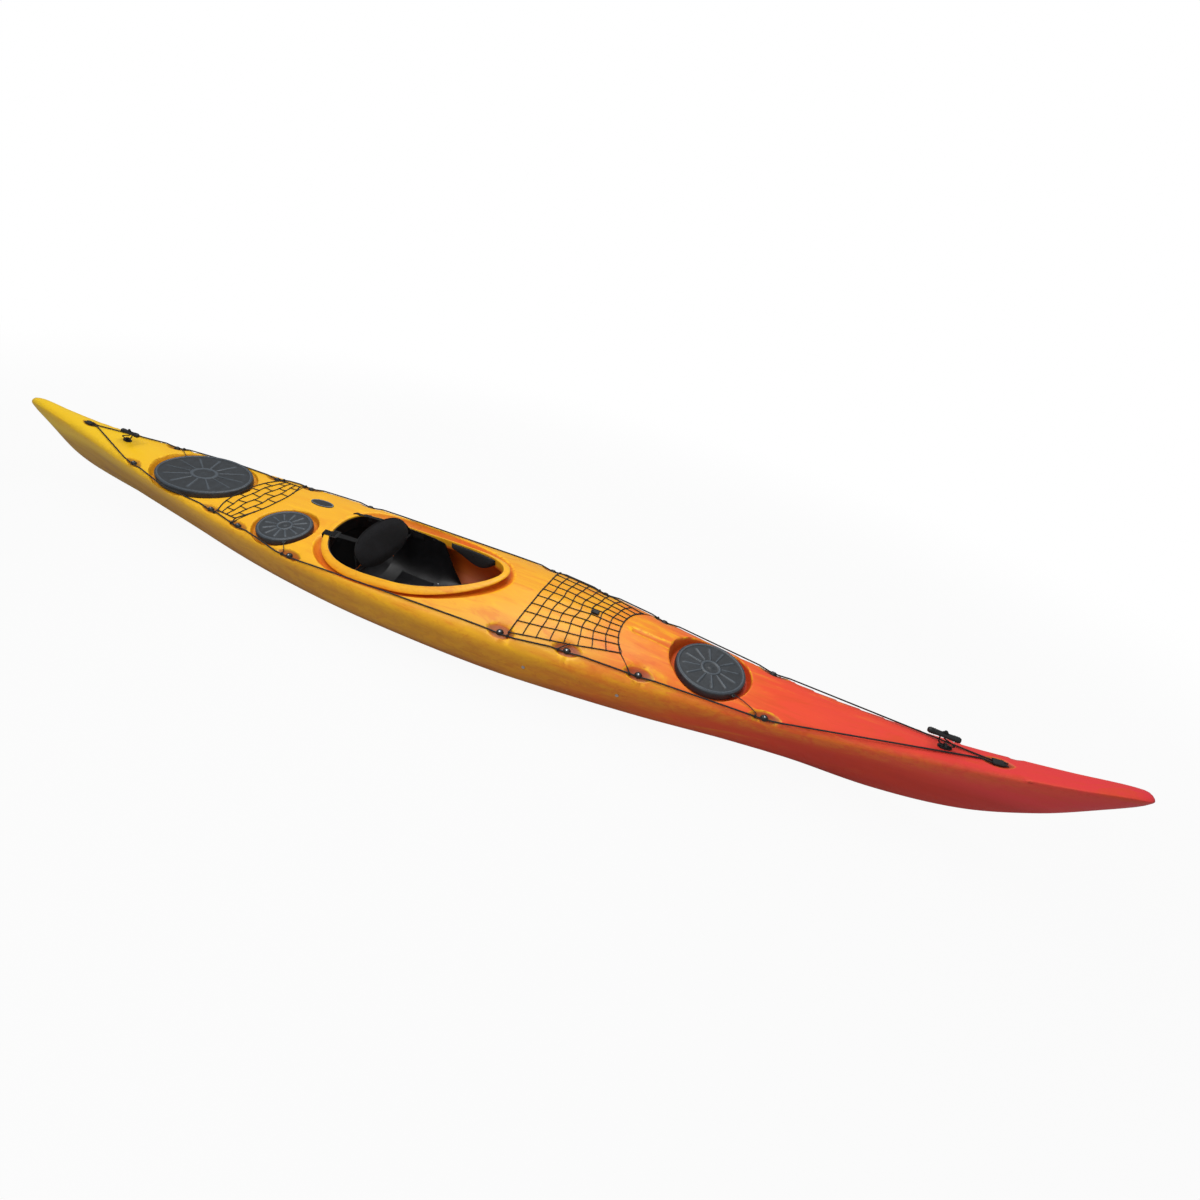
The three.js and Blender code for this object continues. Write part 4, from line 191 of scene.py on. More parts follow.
class Shader:
    """The nodes of a new material, or of a world."""

    def __init__(self, name, world=False):
        self.owner = (bpy.data.worlds if world else bpy.data.materials).new(name)
        self.owner.use_nodes = True
        self.tree = self.owner.node_tree
        self.tree.nodes.clear()
        self.place = self.node("ShaderNodeTexCoord", out="Object")

    def node(self, kind, settings=None, sockets=None, out=0):
        """Adds a node: its settings first, then the values or links of its sockets."""
        node = self.tree.nodes.new(kind)
        for key, value in (settings or {}).items():
            if key == "stops":
                self._stops(node.color_ramp, value)
            else:
                setattr(node, key, value)
        for key, value in (sockets or {}).items():
            if isinstance(value, Value):
                self.tree.links.new(value.socket, node.inputs[key])
            else:
                node.inputs[key].default_value = value
        return Value(self, node.outputs[out])

    @staticmethod
    def _stops(ramp, stops):
        while len(ramp.elements) < len(stops):
            ramp.elements.new(1)
        for element, (place, colour) in zip(ramp.elements, stops):
            element.position = place
            element.color = colour

    def noise(self, scale, detail=3, rough=0.5, stretch=(1, 1, 1), warp=0.0):
        """Soft noise of the object's own space, finer along a stretched axis."""
        place = self.node("ShaderNodeVectorMath", {"operation": "MULTIPLY"}, {0: self.place, 1: stretch})
        sockets = {"Vector": place, "Scale": scale, "Detail": detail, "Roughness": rough, "Distortion": warp}
        return self.node("ShaderNodeTexNoise", None, sockets)

    def cells(self, scale):
        """Distances to scattered cell centres."""
        sockets = {"Vector": self.place, "Scale": scale}
        return self.node("ShaderNodeTexVoronoi", {"feature": "F1"}, sockets, "Distance")

    def axis(self, name):
        """One coordinate of the object's own space, in metres."""
        return self.node("ShaderNodeSeparateXYZ", None, {0: self.place}, name)

    def field(self, name):
        """A value stored in the mesh."""
        return self.node("ShaderNodeAttribute", {"attribute_name": name}, None, "Fac")

    def mix(self, factor, one, two):
        """A colour between two colours."""
        return self.node("ShaderNodeMix", {"data_type": "RGBA"}, {0: factor, 6: one, 7: two}, 2)

    def ramp(self, factor, stops):
        """A colour from a row of stops."""
        return self.node("ShaderNodeValToRGB", {"stops": stops}, {0: factor})

    def bump(self, height, distance, strength=1.0, normal=None):
        """A relief of the surface, with its height in metres."""
        sockets = {"Height": height, "Distance": distance, "Strength": strength}
        if normal:
            sockets["Normal"] = normal
        return self.node("ShaderNodeBump", None, sockets)

    def surface(self, **sockets):
        """Ends the material in one Principled surface."""
        named = {key.replace("_", " "): value for key, value in sockets.items()}
        return self.end(self.node("ShaderNodeBsdfPrincipled", None, named))

    def end(self, shader, kind="ShaderNodeOutputMaterial"):
        """Ends the tree in a shader, and gives back its material or world."""
        output = self.tree.nodes.new(kind)
        self.tree.links.new(shader.socket, output.inputs["Surface"])
        return self.owner


# Fields that the hull's finish reads: edge for a yellow that is partly a painted highlight, hollow for a red
# that is partly painted shade, and the pocket and inside fields for painted shade.
HULL_FIELDS = ("edge", "hollow", "pit", "inside")


def hull_finish(look):
    """Marbled moulded plastic that fades from the stern's yellow to the bow's red, with painted shade and
    painted highlights.
    """
    s = Shader("hull_plastic")
    along = s.axis("X") * (1 / (LENGTH * MM)) + 0.5
    drift = (s.noise(2.2, 4, 0.55, (1, 1.4, 1.4), 0.6) - 0.5) * 0.16
    streak = (s.noise(11, 5, 0.62, (0.25, 1.6, 1.2), 0.9) - 0.5) * 0.12
    marbled = along + drift + streak
    colour = s.ramp(marbled, [
        (0.0, tuple(look.stern) + (1,)), (0.3, tuple(look.aft) + (1,)), (0.6, tuple(look.cockpit) + (1,)),
        (0.69, tuple(look.fore) + (1,)), (0.78, tuple(look.red) + (1,)), (1.0, tuple(look.bow) + (1,)),
    ])
    vein = s.noise(9, 6, 0.65, (0.28, 1.8, 1.4), 1.6)
    colour = s.mix(vein.fade(0.5, 0.68) * along.fade(0.2, 0.6) * 0.45, colour, linear("D24A16"))
    colour = s.mix((1 - vein).fade(0.52, 0.7) * (1 - along.fade(0.72, 0.9)) * 0.5, colour, linear("F2B80E"))
    edge, hollow, pit, inside = (s.field(name) for name in HULL_FIELDS)
    # Painted shade: below the deck's edge the sides turn to darker browns and reds, streaked by noise, as on
    # a side that the light from above misses.
    low = 1 - s.axis("Z").fade(0.18, 0.262)
    flank_shade_streaks = s.noise(7, 5, 0.62, (0.3, 1, 2.2), 0.8).fade(0.32, 0.7)
    shaded_flank = s.ramp(marbled, [
        (0.0, linear("AC7412")), (0.5, linear("A8620C")), (0.64, linear("B85A0E")), (0.72, linear("CC4610")),
        (0.8, linear("CE3614")), (1.0, linear("BE2A2A")),
    ])
    colour = s.mix(low * (0.62 + 0.3 * flank_shade_streaks), colour, shaded_flank)
    # Hollows turn red, deeper towards the bow: partly the marbling's red and partly painted shade in the
    # recesses.
    cloud = s.noise(6, 4, 0.6, (0.5, 1, 1), 0.6).fade(0.25, 0.7)
    red = s.mix(along.fade(0.55, 0.85), linear("D65418"), linear("AE221A"))
    colour = s.mix(hollow * (0.45 + 0.4 * cloud) * (0.5 + 0.5 * along.fade(0.2, 0.5)), colour, red)
    # Yellow on the rims of the hollows, the coaming's lip and the deck's border: partly the moulding's yellow
    # and partly a painted highlight.
    blot = s.noise(26, 6, 0.62, (0.5, 1, 1), 1.4)
    yellow_and_highlight = edge * (0.45 + 0.55 * blot.fade(0.4, 0.58)) * (1.5 - along).fade(0.45, 0.8)
    colour = s.mix(yellow_and_highlight, colour, linear("F6BC14"))
    scorch = s.noise(42, 5, 0.6, (0.5, 1, 1), 2.2)
    fleck = (edge * 0.8 + hollow * 0.4) * scorch.fade(0.52, 0.66)
    colour = s.mix(fleck * 0.8, colour, linear("B8340E"))
    # Painted shade: the floors of the fittings' pockets turn dark brown.
    colour = s.mix(pit * 0.6, colour, linear("5A1E08"))
    # Painted shade: the hull's inner face turns a darker orange-red.
    colour = s.mix(inside * 0.6, colour, linear("D8541A"))
    fine = s.noise(420, 2, 0.6)
    grain = s.cells(900)
    scuff = s.noise(60, 4, 0.7, (0.15, 1, 1)).fade(0.62, 0.8)
    rough = 0.36 + 0.14 * s.noise(9, 4) + 0.12 * scuff
    relief = s.bump(fine * 0.6 + grain * 0.4, 0.0004, 0.35)
    ripple = s.bump(s.noise(7, 2, 0.4), 0.004, 0.2, relief)
    return s.surface(Base_Color=colour, Roughness=rough, Normal=ripple, Specular_IOR_Level=0.3,
                     Coat_Weight=0.05, Coat_Roughness=0.25)


def rubber_finish():
    """Grey-black cover rubber, bloomed, with a painted highlight on its crests and painted shade in its
    grooves.
    """
    s = Shader("cover_rubber")
    bloom = s.noise(34, 5, 0.65, (1, 1, 1), 0.8)
    highlight_and_gloss_mottle = s.noise(180, 3, 0.7)
    crest = s.field("crest")
    colour = s.mix(bloom.fade(0.35, 0.75) * 0.6, linear("272C31"), linear("3A424A"))
    # Painted highlight: the ribs' crests turn paler, mottled by noise.
    colour = s.mix(crest * (0.35 + 0.4 * highlight_and_gloss_mottle.fade(0.3, 0.7)), colour, linear("525B64"))
    # Painted shade: the low floor between the ribs turns darker.
    colour = s.mix(s.field("groove") * 0.3, colour, linear("101214"))
    rough = 0.36 + 0.18 * bloom + 0.1 * highlight_and_gloss_mottle
    relief = s.bump(s.noise(700, 2) * 0.5 + s.noise(90, 3) * 0.5, 0.0005, 0.4)
    return s.surface(Base_Color=colour, Roughness=rough, Normal=relief, Specular_IOR_Level=0.55)


def plastic_finish(name, dark, pale, rough=0.42):
    """Textured black moulding plastic."""
    s = Shader(name)
    patch = s.noise(40, 4, 0.6)
    colour = s.mix(patch.fade(0.35, 0.8), linear(dark), linear(pale))
    wear = s.noise(160, 3, 0.7, (0.4, 1, 1)).fade(0.62, 0.8)
    colour = s.mix(wear * 0.3, colour, linear("4A4C50"))
    relief = s.bump(s.cells(1400), 0.0003, 0.4)
    gloss = rough + 0.16 * patch + 0.08 * wear
    return s.surface(Base_Color=colour, Roughness=gloss, Normal=relief)


def plate_finish():
    """The deck plate's grey plastic, darker inside its ring."""
    s = Shader("plate_plastic")
    patch = s.noise(60, 4, 0.6)
    colour = s.mix(s.field("crest"), linear("1C2024"), linear("6A7076"))
    colour = s.mix(patch.fade(0.4, 0.8) * 0.3, colour, linear("3A4046"))
    relief = s.bump(s.cells(1400), 0.0002, 0.3)
    return s.surface(Base_Color=colour, Roughness=0.32 + 0.14 * patch, Normal=relief)


def cord_finish():
    """Braided black cord with a pale fleck in its sheath."""
    s = Shader("braided_cord")
    strand = s.cells(520)
    fleck = s.noise(260, 2).fade(0.64, 0.74)
    colour = s.mix(strand.fade(0.1, 0.7), linear("040504"), linear("101210"))
    colour = s.mix(fleck * 0.4, colour, linear("2C3129"))
    relief = s.bump(strand, 0.0012, 0.8)
    return s.surface(Base_Color=colour, Roughness=0.62 + 0.15 * strand, Normal=relief, Sheen_Weight=0.06)


def weave_finish(name, dark, pale, pitch, sheen=0.04):
    """Woven cloth: two crossing sets of yarns."""
    s = Shader(name)
    rate = 2 * math.pi / pitch
    warp = (s.axis("X") * rate).wave()
    weft = (s.axis("Y") * rate).wave()
    rise = (s.axis("Z") * rate).wave()
    yarn = warp * weft * 0.4 + warp * rise * 0.3 + weft * rise * 0.3
    fibre = s.noise(900, 2)
    cloud = s.noise(18, 4, 0.6).fade(0.3, 0.75)
    colour = s.mix(cloud, linear(dark), linear(pale))
    colour = s.mix(yarn.fade(0.1, 0.6) * 0.35, colour, linear("28282B"))
    relief = s.bump(yarn * 0.7 + fibre * 0.5, 0.0006, 0.6)
    rough = 0.78 + 0.14 * fibre
    return s.surface(Base_Color=colour, Roughness=rough, Normal=relief, Sheen_Weight=sheen,
                     Sheen_Roughness=0.5, Specular_IOR_Level=0.2)


def foam_finish():
    """Closed-cell black foam."""
    s = Shader("cell_foam")
    cells = s.cells(420)
    cloud = s.noise(14, 4)
    colour = s.mix(cloud, linear("0A0A0C"), linear("161619"))
    relief = s.bump(cells, 0.0008, 0.7)
    return s.surface(Base_Color=colour, Roughness=0.86 + 0.1 * cells, Normal=relief)


def alloy_finish():
    """Dull extruded alloy and bolt heads."""
    s = Shader("dull_alloy")
    brush = s.noise(300, 3, 0.6, (0.05, 1, 1))
    tarnish = s.noise(35, 4).fade(0.4, 0.8)
    colour = s.mix(tarnish, linear("B4B7BA"), linear("8E9194"))
    relief = s.bump(brush, 0.0002, 0.3)
    return s.surface(Base_Color=colour, Metallic=0.9 - 0.25 * tarnish, Roughness=0.3 + 0.2 * brush,
                     Normal=relief)


FINISHES = {}


def finish(name):
    """The material of a record slot, made once."""
    if name not in FINISHES:
        looks = bpy.context.scene.kayak_looks
        makers = {
            "hull": lambda: hull_finish(looks),
            "rubber": rubber_finish,
            "plastic": lambda: plastic_finish("fitting_plastic", "101113", "1B1D20"),
            "seat": lambda: plastic_finish("seat_plastic", "08080A", "121215", 0.36),
            "plate": plate_finish,
            "cord": cord_finish,
            "fabric": lambda: weave_finish("padded_cloth", "0B0B0D", "141417", 0.0021),
            "webbing": lambda: weave_finish("strap_webbing", "060607", "0E0E10", 0.0032),
            "foam": foam_finish,
            "alloy": alloy_finish,
        }
        FINISHES[name] = makers[name]()
    return FINISHES[name]


def size(name):
    """A size that the panel sets, in millimetres."""
    return getattr(bpy.context.scene.kayak_looks, name) / MM


# Mesh building

JOIN_GAP = 0.05


def turns(count):
    """Angles that share a full turn evenly."""
    return np.arange(count) / count * 2 * math.pi


def axes_at(ahead, side, up, origin):
    """A frame from its three axes and its origin."""
    matrix = Matrix((ahead, side, up)).transposed().to_4x4()
    matrix.translation = origin
    return matrix


def tilted(normal, origin):
    """A frame on a slope, with its first axis towards the bow."""
    ahead = (Vector((1, 0, 0)) - normal * normal.x).normalized()
    return axes_at(ahead, normal.cross(ahead), normal, origin)


def merge(obj):
    """Joins points that lie together, and turns the faces outwards."""
    bm = bmesh.new()
    bm.from_mesh(obj.data)
    bmesh.ops.remove_doubles(bm, verts=bm.verts, dist=JOIN_GAP * MM)
    bmesh.ops.recalc_face_normals(bm, faces=bm.faces)
    bm.to_mesh(obj.data)
    bm.free()
    obj.data.shade_smooth()


def point_tree(points):
    """A search tree over points."""
    tree = KDTree(len(points))
    for i, p in enumerate(points):
        tree.insert(p, i)
    tree.balance()
    return tree


class Shape:
    """Gathers surfaces, in millimetres, and makes one object of them."""

    def __init__(self):
        self.points = []
        self.faces = []

    def add(self, points, faces, matrix=None):
        start = len(self.points)
        if matrix is not None:
            points = [matrix @ Vector(p) for p in points]
        self.points.extend(tuple(p) for p in points)
        self.faces.extend([tuple(start + i for i in face) for face in faces])

    def grid(self, rows, ring=False, across=True, caps=False, matrix=None):
        """Rows of points joined by quads. A ring joins its last row to its first, and across closes
        each row."""
        rows = np.asarray(rows, float)
        count, width = rows.shape[:2]
        faces = []
        for i in range(count if ring else count - 1):
            k = (i + 1) % count
            for j in range(width if across else width - 1):
                m = (j + 1) % width
                faces.append((i * width + j, i * width + m, k * width + m, k * width + j))
        if caps:
            faces.append(tuple(range(width - 1, -1, -1)))
            faces.append(tuple(range((count - 1) * width, count * width)))
        self.add(rows.reshape(-1, 3), faces, matrix)

    def tube(self, path, radius, sides=8, ring=False, flat=1.0):
        """A round cord along a path."""
        path = np.asarray(path, float)
        count = len(path)
        ahead = np.roll(path, -1, 0) - np.roll(path, 1, 0)
        if not ring:
            ahead[0] = path[1] - path[0]
            ahead[-1] = path[-1] - path[-2]
        ahead /= np.maximum(np.linalg.norm(ahead, axis=1, keepdims=True), 1e-9)
        side = np.cross(ahead[0], (0, 0, 1))
        if np.linalg.norm(side) < 0.2:
            side = np.cross(ahead[0], (0, 1, 0))
        rows = []
        radii = np.broadcast_to(radius, count)
        turn = turns(sides)
        for i in range(count):
            side = side - ahead[i] * np.dot(side, ahead[i])
            side /= np.linalg.norm(side)
            up = np.cross(side, ahead[i])
            around = np.outer(np.cos(turn), side) + flat * np.outer(np.sin(turn), up)
            rows.append(path[i] + radii[i] * around)
        self.grid(rows, ring=ring, caps=not ring)

    def ball(self, centre, size, rings=6, sides=10):
        """A rounded knot or rivet, size being its three half sizes."""
        size = np.broadcast_to(size, 3)
        rows = []
        for i in range(rings + 1):
            rise = math.pi * (i + 0.02) / (rings + 0.04)
            turn = turns(sides)
            r = math.sin(rise)
            row = np.stack([r * np.cos(turn), r * np.sin(turn), np.full(sides, -math.cos(rise))], 1)
            rows.append(np.asarray(centre) + row * size)
        self.grid(rows, caps=True)

    def make(self, name, material, body=None, nodes=(), slot=None, sharp=50):
        """Makes the object, which rides on its body and stands for its CAD nodes."""
        mesh = bpy.data.meshes.new(name)
        mesh.from_pydata([Vector(p) * MM for p in self.points], [], self.faces)
        obj = bpy.data.objects.new(name, mesh)
        bpy.context.scene.collection.objects.link(obj)
        bm = bmesh.new()
        bm.from_mesh(mesh)
        bmesh.ops.recalc_face_normals(bm, faces=bm.faces)
        bm.to_mesh(mesh)
        bm.free()
        mesh.shade_smooth()
        mesh.set_sharp_from_angle(angle=math.radians(sharp))
        mesh.materials.append(material)
        if body:
            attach(obj, body)
        if nodes:
            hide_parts(*nodes)
        return obj


def smooth_path(points, count):
    """Evenly shared points of a smooth curve through a few places."""
    points = np.asarray(points, float)
    padded = np.vstack([2 * points[0] - points[1], points, 2 * points[-1] - points[-2]])
    out = []
    for k in np.linspace(0, len(points) - 1, count):
        i = min(int(k), len(points) - 2)
        t = k - i
        a, b, c, d = padded[i:i + 4]
        out.append(0.5 * (2 * b + (c - a) * t + (2 * a - 5 * b + 4 * c - d) * t * t
                          + (3 * b - a - 3 * c + d) * t ** 3))
    return np.array(out)


def softened(profile, rounds=2):
    """A closed profile with its corners cut."""
    profile = np.asarray(profile, float)
    for _ in range(rounds):
        ahead = np.roll(profile, -1, 0)
        profile = np.stack([0.75 * profile + 0.25 * ahead, 0.25 * profile + 0.75 * ahead], 1).reshape(-1, 2)
    return profile


# Hull lines


def fair(name, x):
    """A line of the hull at places along it."""
    table = np.array(LINES[name], float)
    last = len(STATIONS) - 1
    share = np.clip(np.asarray(x, float) / HALF, -1, 1)
    i = np.clip(np.searchsorted(STATIONS, share, side="right") - 1, 0, last - 1)
    low = np.maximum(np.arange(last + 1) - 1, 0)
    high = np.minimum(np.arange(last + 1) + 1, last)
    slopes = (table[high] - table[low]) / (STATIONS[high] - STATIONS[low])
    step = STATIONS[i + 1] - STATIONS[i]
    t = (share - STATIONS[i]) / step
    rise = table[i + 1] - table[i]
    start, end = slopes[i] * step, slopes[i + 1] * step
    return table[i] + t * (start + t * (3 * rise - 2 * start - end + t * (start + end - 2 * rise)))


def sheer_half(x):
    """Half breadth at the sheer."""
    return fair("sheer", x) * BEAM / 2


def section(x, bends):
    """Half cross-sections at places, from the keel up, as [place, point, (y, z)]. Bends gives, for
    each rounded corner, the shares along its curve."""
    x = np.atleast_1d(np.asarray(x, float))
    keel = np.maximum(fair("keel", x), 0) * HEIGHT
    half = sheer_half(x)
    sheer, ridge = fair("sheer_height", x) * HEIGHT, fair("ridge", x) * HEIGHT
    full = np.minimum(1, half / (BEAM / 2)) ** 1.5
    corners = np.array([
        [0 * x, keel],
        [KEEL_FLAT * full, keel],
        [half * fair("chine", x), keel + (sheer - keel) * fair("chine_height", x)],
        [half, sheer],
        [half * SHOULDER, sheer + (ridge - sheer) * CROWN],
        [0 * x, ridge],
    ]).transpose(2, 0, 1)
    rows = []
    for i, shares in enumerate(bends):
        if shares is None:
            continue
        corner, cut = corners[:, i + 1], CORNER_SHARES[i]
        start = corner + (corners[:, i] - corner) * cut
        end = corner + (corners[:, i + 2] - corner) * cut
        for t in shares:
            rows.append((1 - t) ** 2 * start + 2 * t * (1 - t) * corner + t * t * end)
    return np.array(rows).transpose(1, 0, 2), corners


def side_sections(x):
    """The side of the hull from the keel to the deck's border."""
    rows, corners = section(x, [np.linspace(0, 1, 7), np.linspace(0.15, 1, 8), np.linspace(0, 0.5, 8), None])
    keel = corners[:, :1]
    flat = keel + (rows[:, :1] - keel) * np.array([0.5])[None, :, None]
    straight = rows[:, 14:15] + (rows[:, 15:16] - rows[:, 14:15]) * np.array([0.33, 0.67])[None, :, None]
    return np.concatenate([keel, flat, rows[:, :15], straight, rows[:, 15:]], 1)


def deck_sections(x, steps=26):
    """The deck from its border to the ridge."""
    rows, corners = section(x, [None, None, np.linspace(0.5, 1, steps), np.linspace(0, 1, steps)])
    ridge = corners[:, 5:6]
    top = rows[:, -1:] + (ridge - rows[:, -1:]) * np.linspace(0.1, 1, steps // 2)[None, :, None]
    return np.concatenate([rows, top], 1)


def border(x):
    """Half breadth of the deck at its border."""
    return section(x, [None, None, [0.5], None])[0][:, 0, 0]


DECK_X = np.linspace(-HALF, HALF, 1021)
DECK_U = np.linspace(0, 1, 121)


def deck_table():
    """Deck heights over a grid of places along the hull and shares of its breadth."""
    rows = deck_sections(DECK_X, 40)
    across = np.sin(DECK_U * math.pi / 2)
    return np.array([np.interp(across * row[0, 0], row[::-1, 0], row[::-1, 1]) for row in rows])


DECK_TABLE = deck_table()


def deck(x, y):
    """Height of the fair deck, before any hollow is pressed into it."""
    x, y = np.asarray(x, float), np.asarray(y, float)
    share = np.clip(np.abs(y) / np.interp(x, DECK_X, BORDERS), 0, 1)
    u = np.arcsin(share) * 2 / math.pi * (len(DECK_U) - 1)
    v = (np.clip(x, -HALF, HALF) + HALF) / LENGTH * (len(DECK_X) - 1)
    i = np.clip(v.astype(int), 0, len(DECK_X) - 2)
    j = np.clip(u.astype(int), 0, len(DECK_U) - 2)
    a, b = v - i, u - j
    low = DECK_TABLE[i, j] * (1 - b) + DECK_TABLE[i, j + 1] * b
    high = DECK_TABLE[i + 1, j] * (1 - b) + DECK_TABLE[i + 1, j + 1] * b
    return low * (1 - a) + high * a


BORDERS = border(DECK_X)


def soft(d, radius):
    """A ramp that starts smoothly round zero."""
    return (d + np.sqrt(d * d + radius * radius)) / 2


def lower(one, two, radius):
    """The lower of two heights, rounded where they meet."""
    near = np.clip(1 - np.abs(one - two) / radius, 0, None)
    return np.minimum(one, two) - near * near * radius / 4


# Cockpit outline


def coaming_outline(count, offset=0.0, bunch=0.3):
    """Points round the cockpit and their outward normals."""
    turn = turns(count)
    turn = turn - bunch * np.sin(2 * turn)

    def at(angle):
        c, s = np.cos(angle), np.sin(angle)
        power = 2 / np.where(c < 0, COAMING_POWERS[0], COAMING_POWERS[1])
        along = np.sign(c) * np.abs(c) ** power
        across = np.sign(s) * np.abs(s) ** power * (1 - COAMING_TAPER * along)
        return np.stack([COAMING_HALF[0] * along, COAMING_HALF[1] * across], 1)

    ahead = at(turn + 0.02) - at(turn - 0.02)
    ahead /= np.linalg.norm(ahead, axis=1, keepdims=True)
    out = np.stack([ahead[:, 1], -ahead[:, 0]], 1)
    return at(turn) + (COAMING_CENTRE, 0) + out * offset, out


def coaming_height(x, y):
    """Height of the coaming's edge, which is draped like a saddle."""
    return COAMING_LEVEL + COAMING_RISE * (x - COAMING_CENTRE) - y * y / COAMING_CROWN


def opening_half(x):
    """Half width of the cockpit opening."""
    ring, _ = coaming_outline(720, 0)
    upper = ring[ring[:, 1] >= 0]
    order = np.argsort(upper[:, 0])
    return np.interp(x, upper[order, 0], upper[order, 1])


def coaming_distance(x, y):
    """Distance outside the cockpit's outline, and the height of the nearest edge."""
    ring, out = coaming_outline(720, 0)
    place = np.stack([x, y], 1)
    distance = np.full(len(place), 1e4)
    level = np.zeros(len(place))
    near = np.abs(place[:, 0] - COAMING_CENTRE) < COAMING_HALF[0] + 140
    chosen = np.where(near)[0]
    for part in np.array_split(chosen, max(1, len(chosen) // 2000)):
        gap = place[part][:, None] - ring[None]
        square = (gap ** 2).sum(2)
        best = square.argmin(1)
        sign = np.sign((gap[np.arange(len(part)), best] * out[best]).sum(1))
        distance[part] = np.sqrt(square[np.arange(len(part)), best]) * sign
        level[part] = coaming_height(ring[best, 0], ring[best, 1])
    return distance, level


# Places on the deck


def cad_surface(node):
    """A search tree over a CAD node."""
    mesh = frame["nodes"][node].data
    return BVHTree.FromPolygons([v.co for v in mesh.vertices], [tuple(p.vertices) for p in mesh.polygons])


CAD_HULL = cad_surface("hull_shell")


def floor_frame(x, y, heading):
    """The frame of a pocket's floor, as the CAD hull has it: x along the heading, z up."""
    point, normal, _, _ = CAD_HULL.ray_cast(Vector((x, y, 500)) * MM, Vector((0, 0, -1)))
    if normal.z < 0:
        normal = -normal
    ahead = Vector((math.cos(heading), math.sin(heading), 0))
    ahead = (ahead - normal * ahead.dot(normal)).normalized()
    side = normal.cross(ahead)
    return axes_at(ahead, side, normal, point / MM)


def fitting_places(side):
    """Frames of one side's deck fittings, on the floors of their pockets."""
    ends = [np.array([share * HALF, 0]) for share in END_SHARES]
    places = [np.array([a * HALF, side * b * float(sheer_half(a * HALF))]) for a, b in FITTINGS]
    route = [ends[0], *places, ends[1]]
    frames = []
    for i, (x, y) in enumerate(places):
        run = route[i + 2] - route[i]
        frames.append(floor_frame(x, y, math.atan2(run[1], run[0])))
    return frames


FITTING_FRAMES = {side: fitting_places(side) for side in SIDES.values()}
END_FRAMES = [floor_frame(share * HALF, 0, math.pi if share < 0 else 0) for share in END_SHARES]
POCKETS = ((LEAF, FITTING_FRAMES[1] + FITTING_FRAMES[-1]), (END_LEAF, END_FRAMES))
PLATE_PLACE = (PLATE[0], PLATE[1] * float(sheer_half(PLATE[0])))


def on_deck(x, y, lift):
    """A place above the deck."""
    return np.array([x, y, float(deck(np.array([x]), np.array([y]))[0]) + lift])


# Hull surface


def hatch_distance(hatch, x, y):
    """Distance outside a hatch cover's edge, in plan."""
    (ox, oy, _), (a, b) = hatch["origin"], hatch["half"]
    reach = np.hypot((x - ox) / a, (y - oy) / b) + 1e-9
    return np.hypot(x - ox, y - oy) * (1 - 1 / reach)


def floor_height(origin, normal, x, y):
    """Height of a tilted floor."""
    return origin[2] - (normal[0] * (x - origin[0]) + normal[1] * (y - origin[1])) / normal[2]


def pocket(matrix, leaf, x, y):
    """Height of a leaf-shaped pocket, its half width, and how far across it a place lies."""
    back = matrix.inverted()
    s = back[0][0] * (x - matrix[0][3]) + back[0][1] * (y - matrix[1][3])
    w = back[1][0] * (x - matrix[0][3]) + back[1][1] * (y - matrix[1][3])
    normal = (matrix[0][2], matrix[1][2], matrix[2][2])
    flat = floor_height(matrix.translation, normal, x, y)
    wide = leaf[1] * np.clip(1 - np.abs(s / leaf[0]) ** 2, 0, 1) ** 0.8
    tip = np.clip((np.abs(s) - 20) / (leaf[0] - 20), 0, None) ** 1.4
    return flat + leaf[2] * tip + 1.7 * soft(np.abs(w) - wide + 2, 3), wide, w


def pressed(x, y):
    """Height of the finished deck, and how far it is pressed in."""
    plain = deck(x, y)
    z = plain.copy()
    distance, level = coaming_distance(x, y)
    bank = 26.7 * np.clip((distance - 30) / 34, 0, 1) ** 1.7
    gutter = level - GUTTER_DEPTH + bank + 3 * soft(distance - GUTTER_BANK, 3)
    z = np.where(distance < 200, lower(z, gutter, 9), z)
    for hatch in HATCHES.values():
        away = hatch_distance(hatch, x, y)
        moat = floor_height(hatch["origin"], hatch["normal"], x, y) + 3.6 * soft(away - 15.5, 3)
        z = np.where(away < 60, lower(z, moat, 7), z)
    inboard = np.clip((np.interp(x, DECK_X, BORDERS) - np.abs(y)) / 6, 0, 1)
    for leaf, frames in POCKETS:
        for matrix in frames:
            near = np.hypot(x - matrix[0][3], y - matrix[1][3]) < leaf[0] + 14
            if near.any():
                cut, _, _ = pocket(matrix, leaf, x[near], y[near])
                cut = lower(z[near], cut, 4)
                z[near] = z[near] + (cut - z[near]) * inboard[near]
    ridge = deck(x, 0 * y)
    ends = soft(TROUGH[0] + 22 - x, 4) * 0.35
    fork = 10 * np.clip((x - 900) / 70, 0, 1)
    trough = ridge - 7 + 0.75 * soft(np.abs(y) - 9 - fork, 4) + ends
    z = np.where((x > TROUGH[0] - 10) & (x < TROUGH[1]), lower(z, trough, 5), z)
    px, py = PLATE_PLACE
    out = (np.hypot((x - px) / PLATE[2], (y - py) / PLATE[3]) - 1) * PLATE[3]
    seat = plain - 2.6 + 1.6 * soft(out - 0.8, 0.8)
    z = np.where(out < 14, lower(z, seat, 1.5), z)
    return z, plain


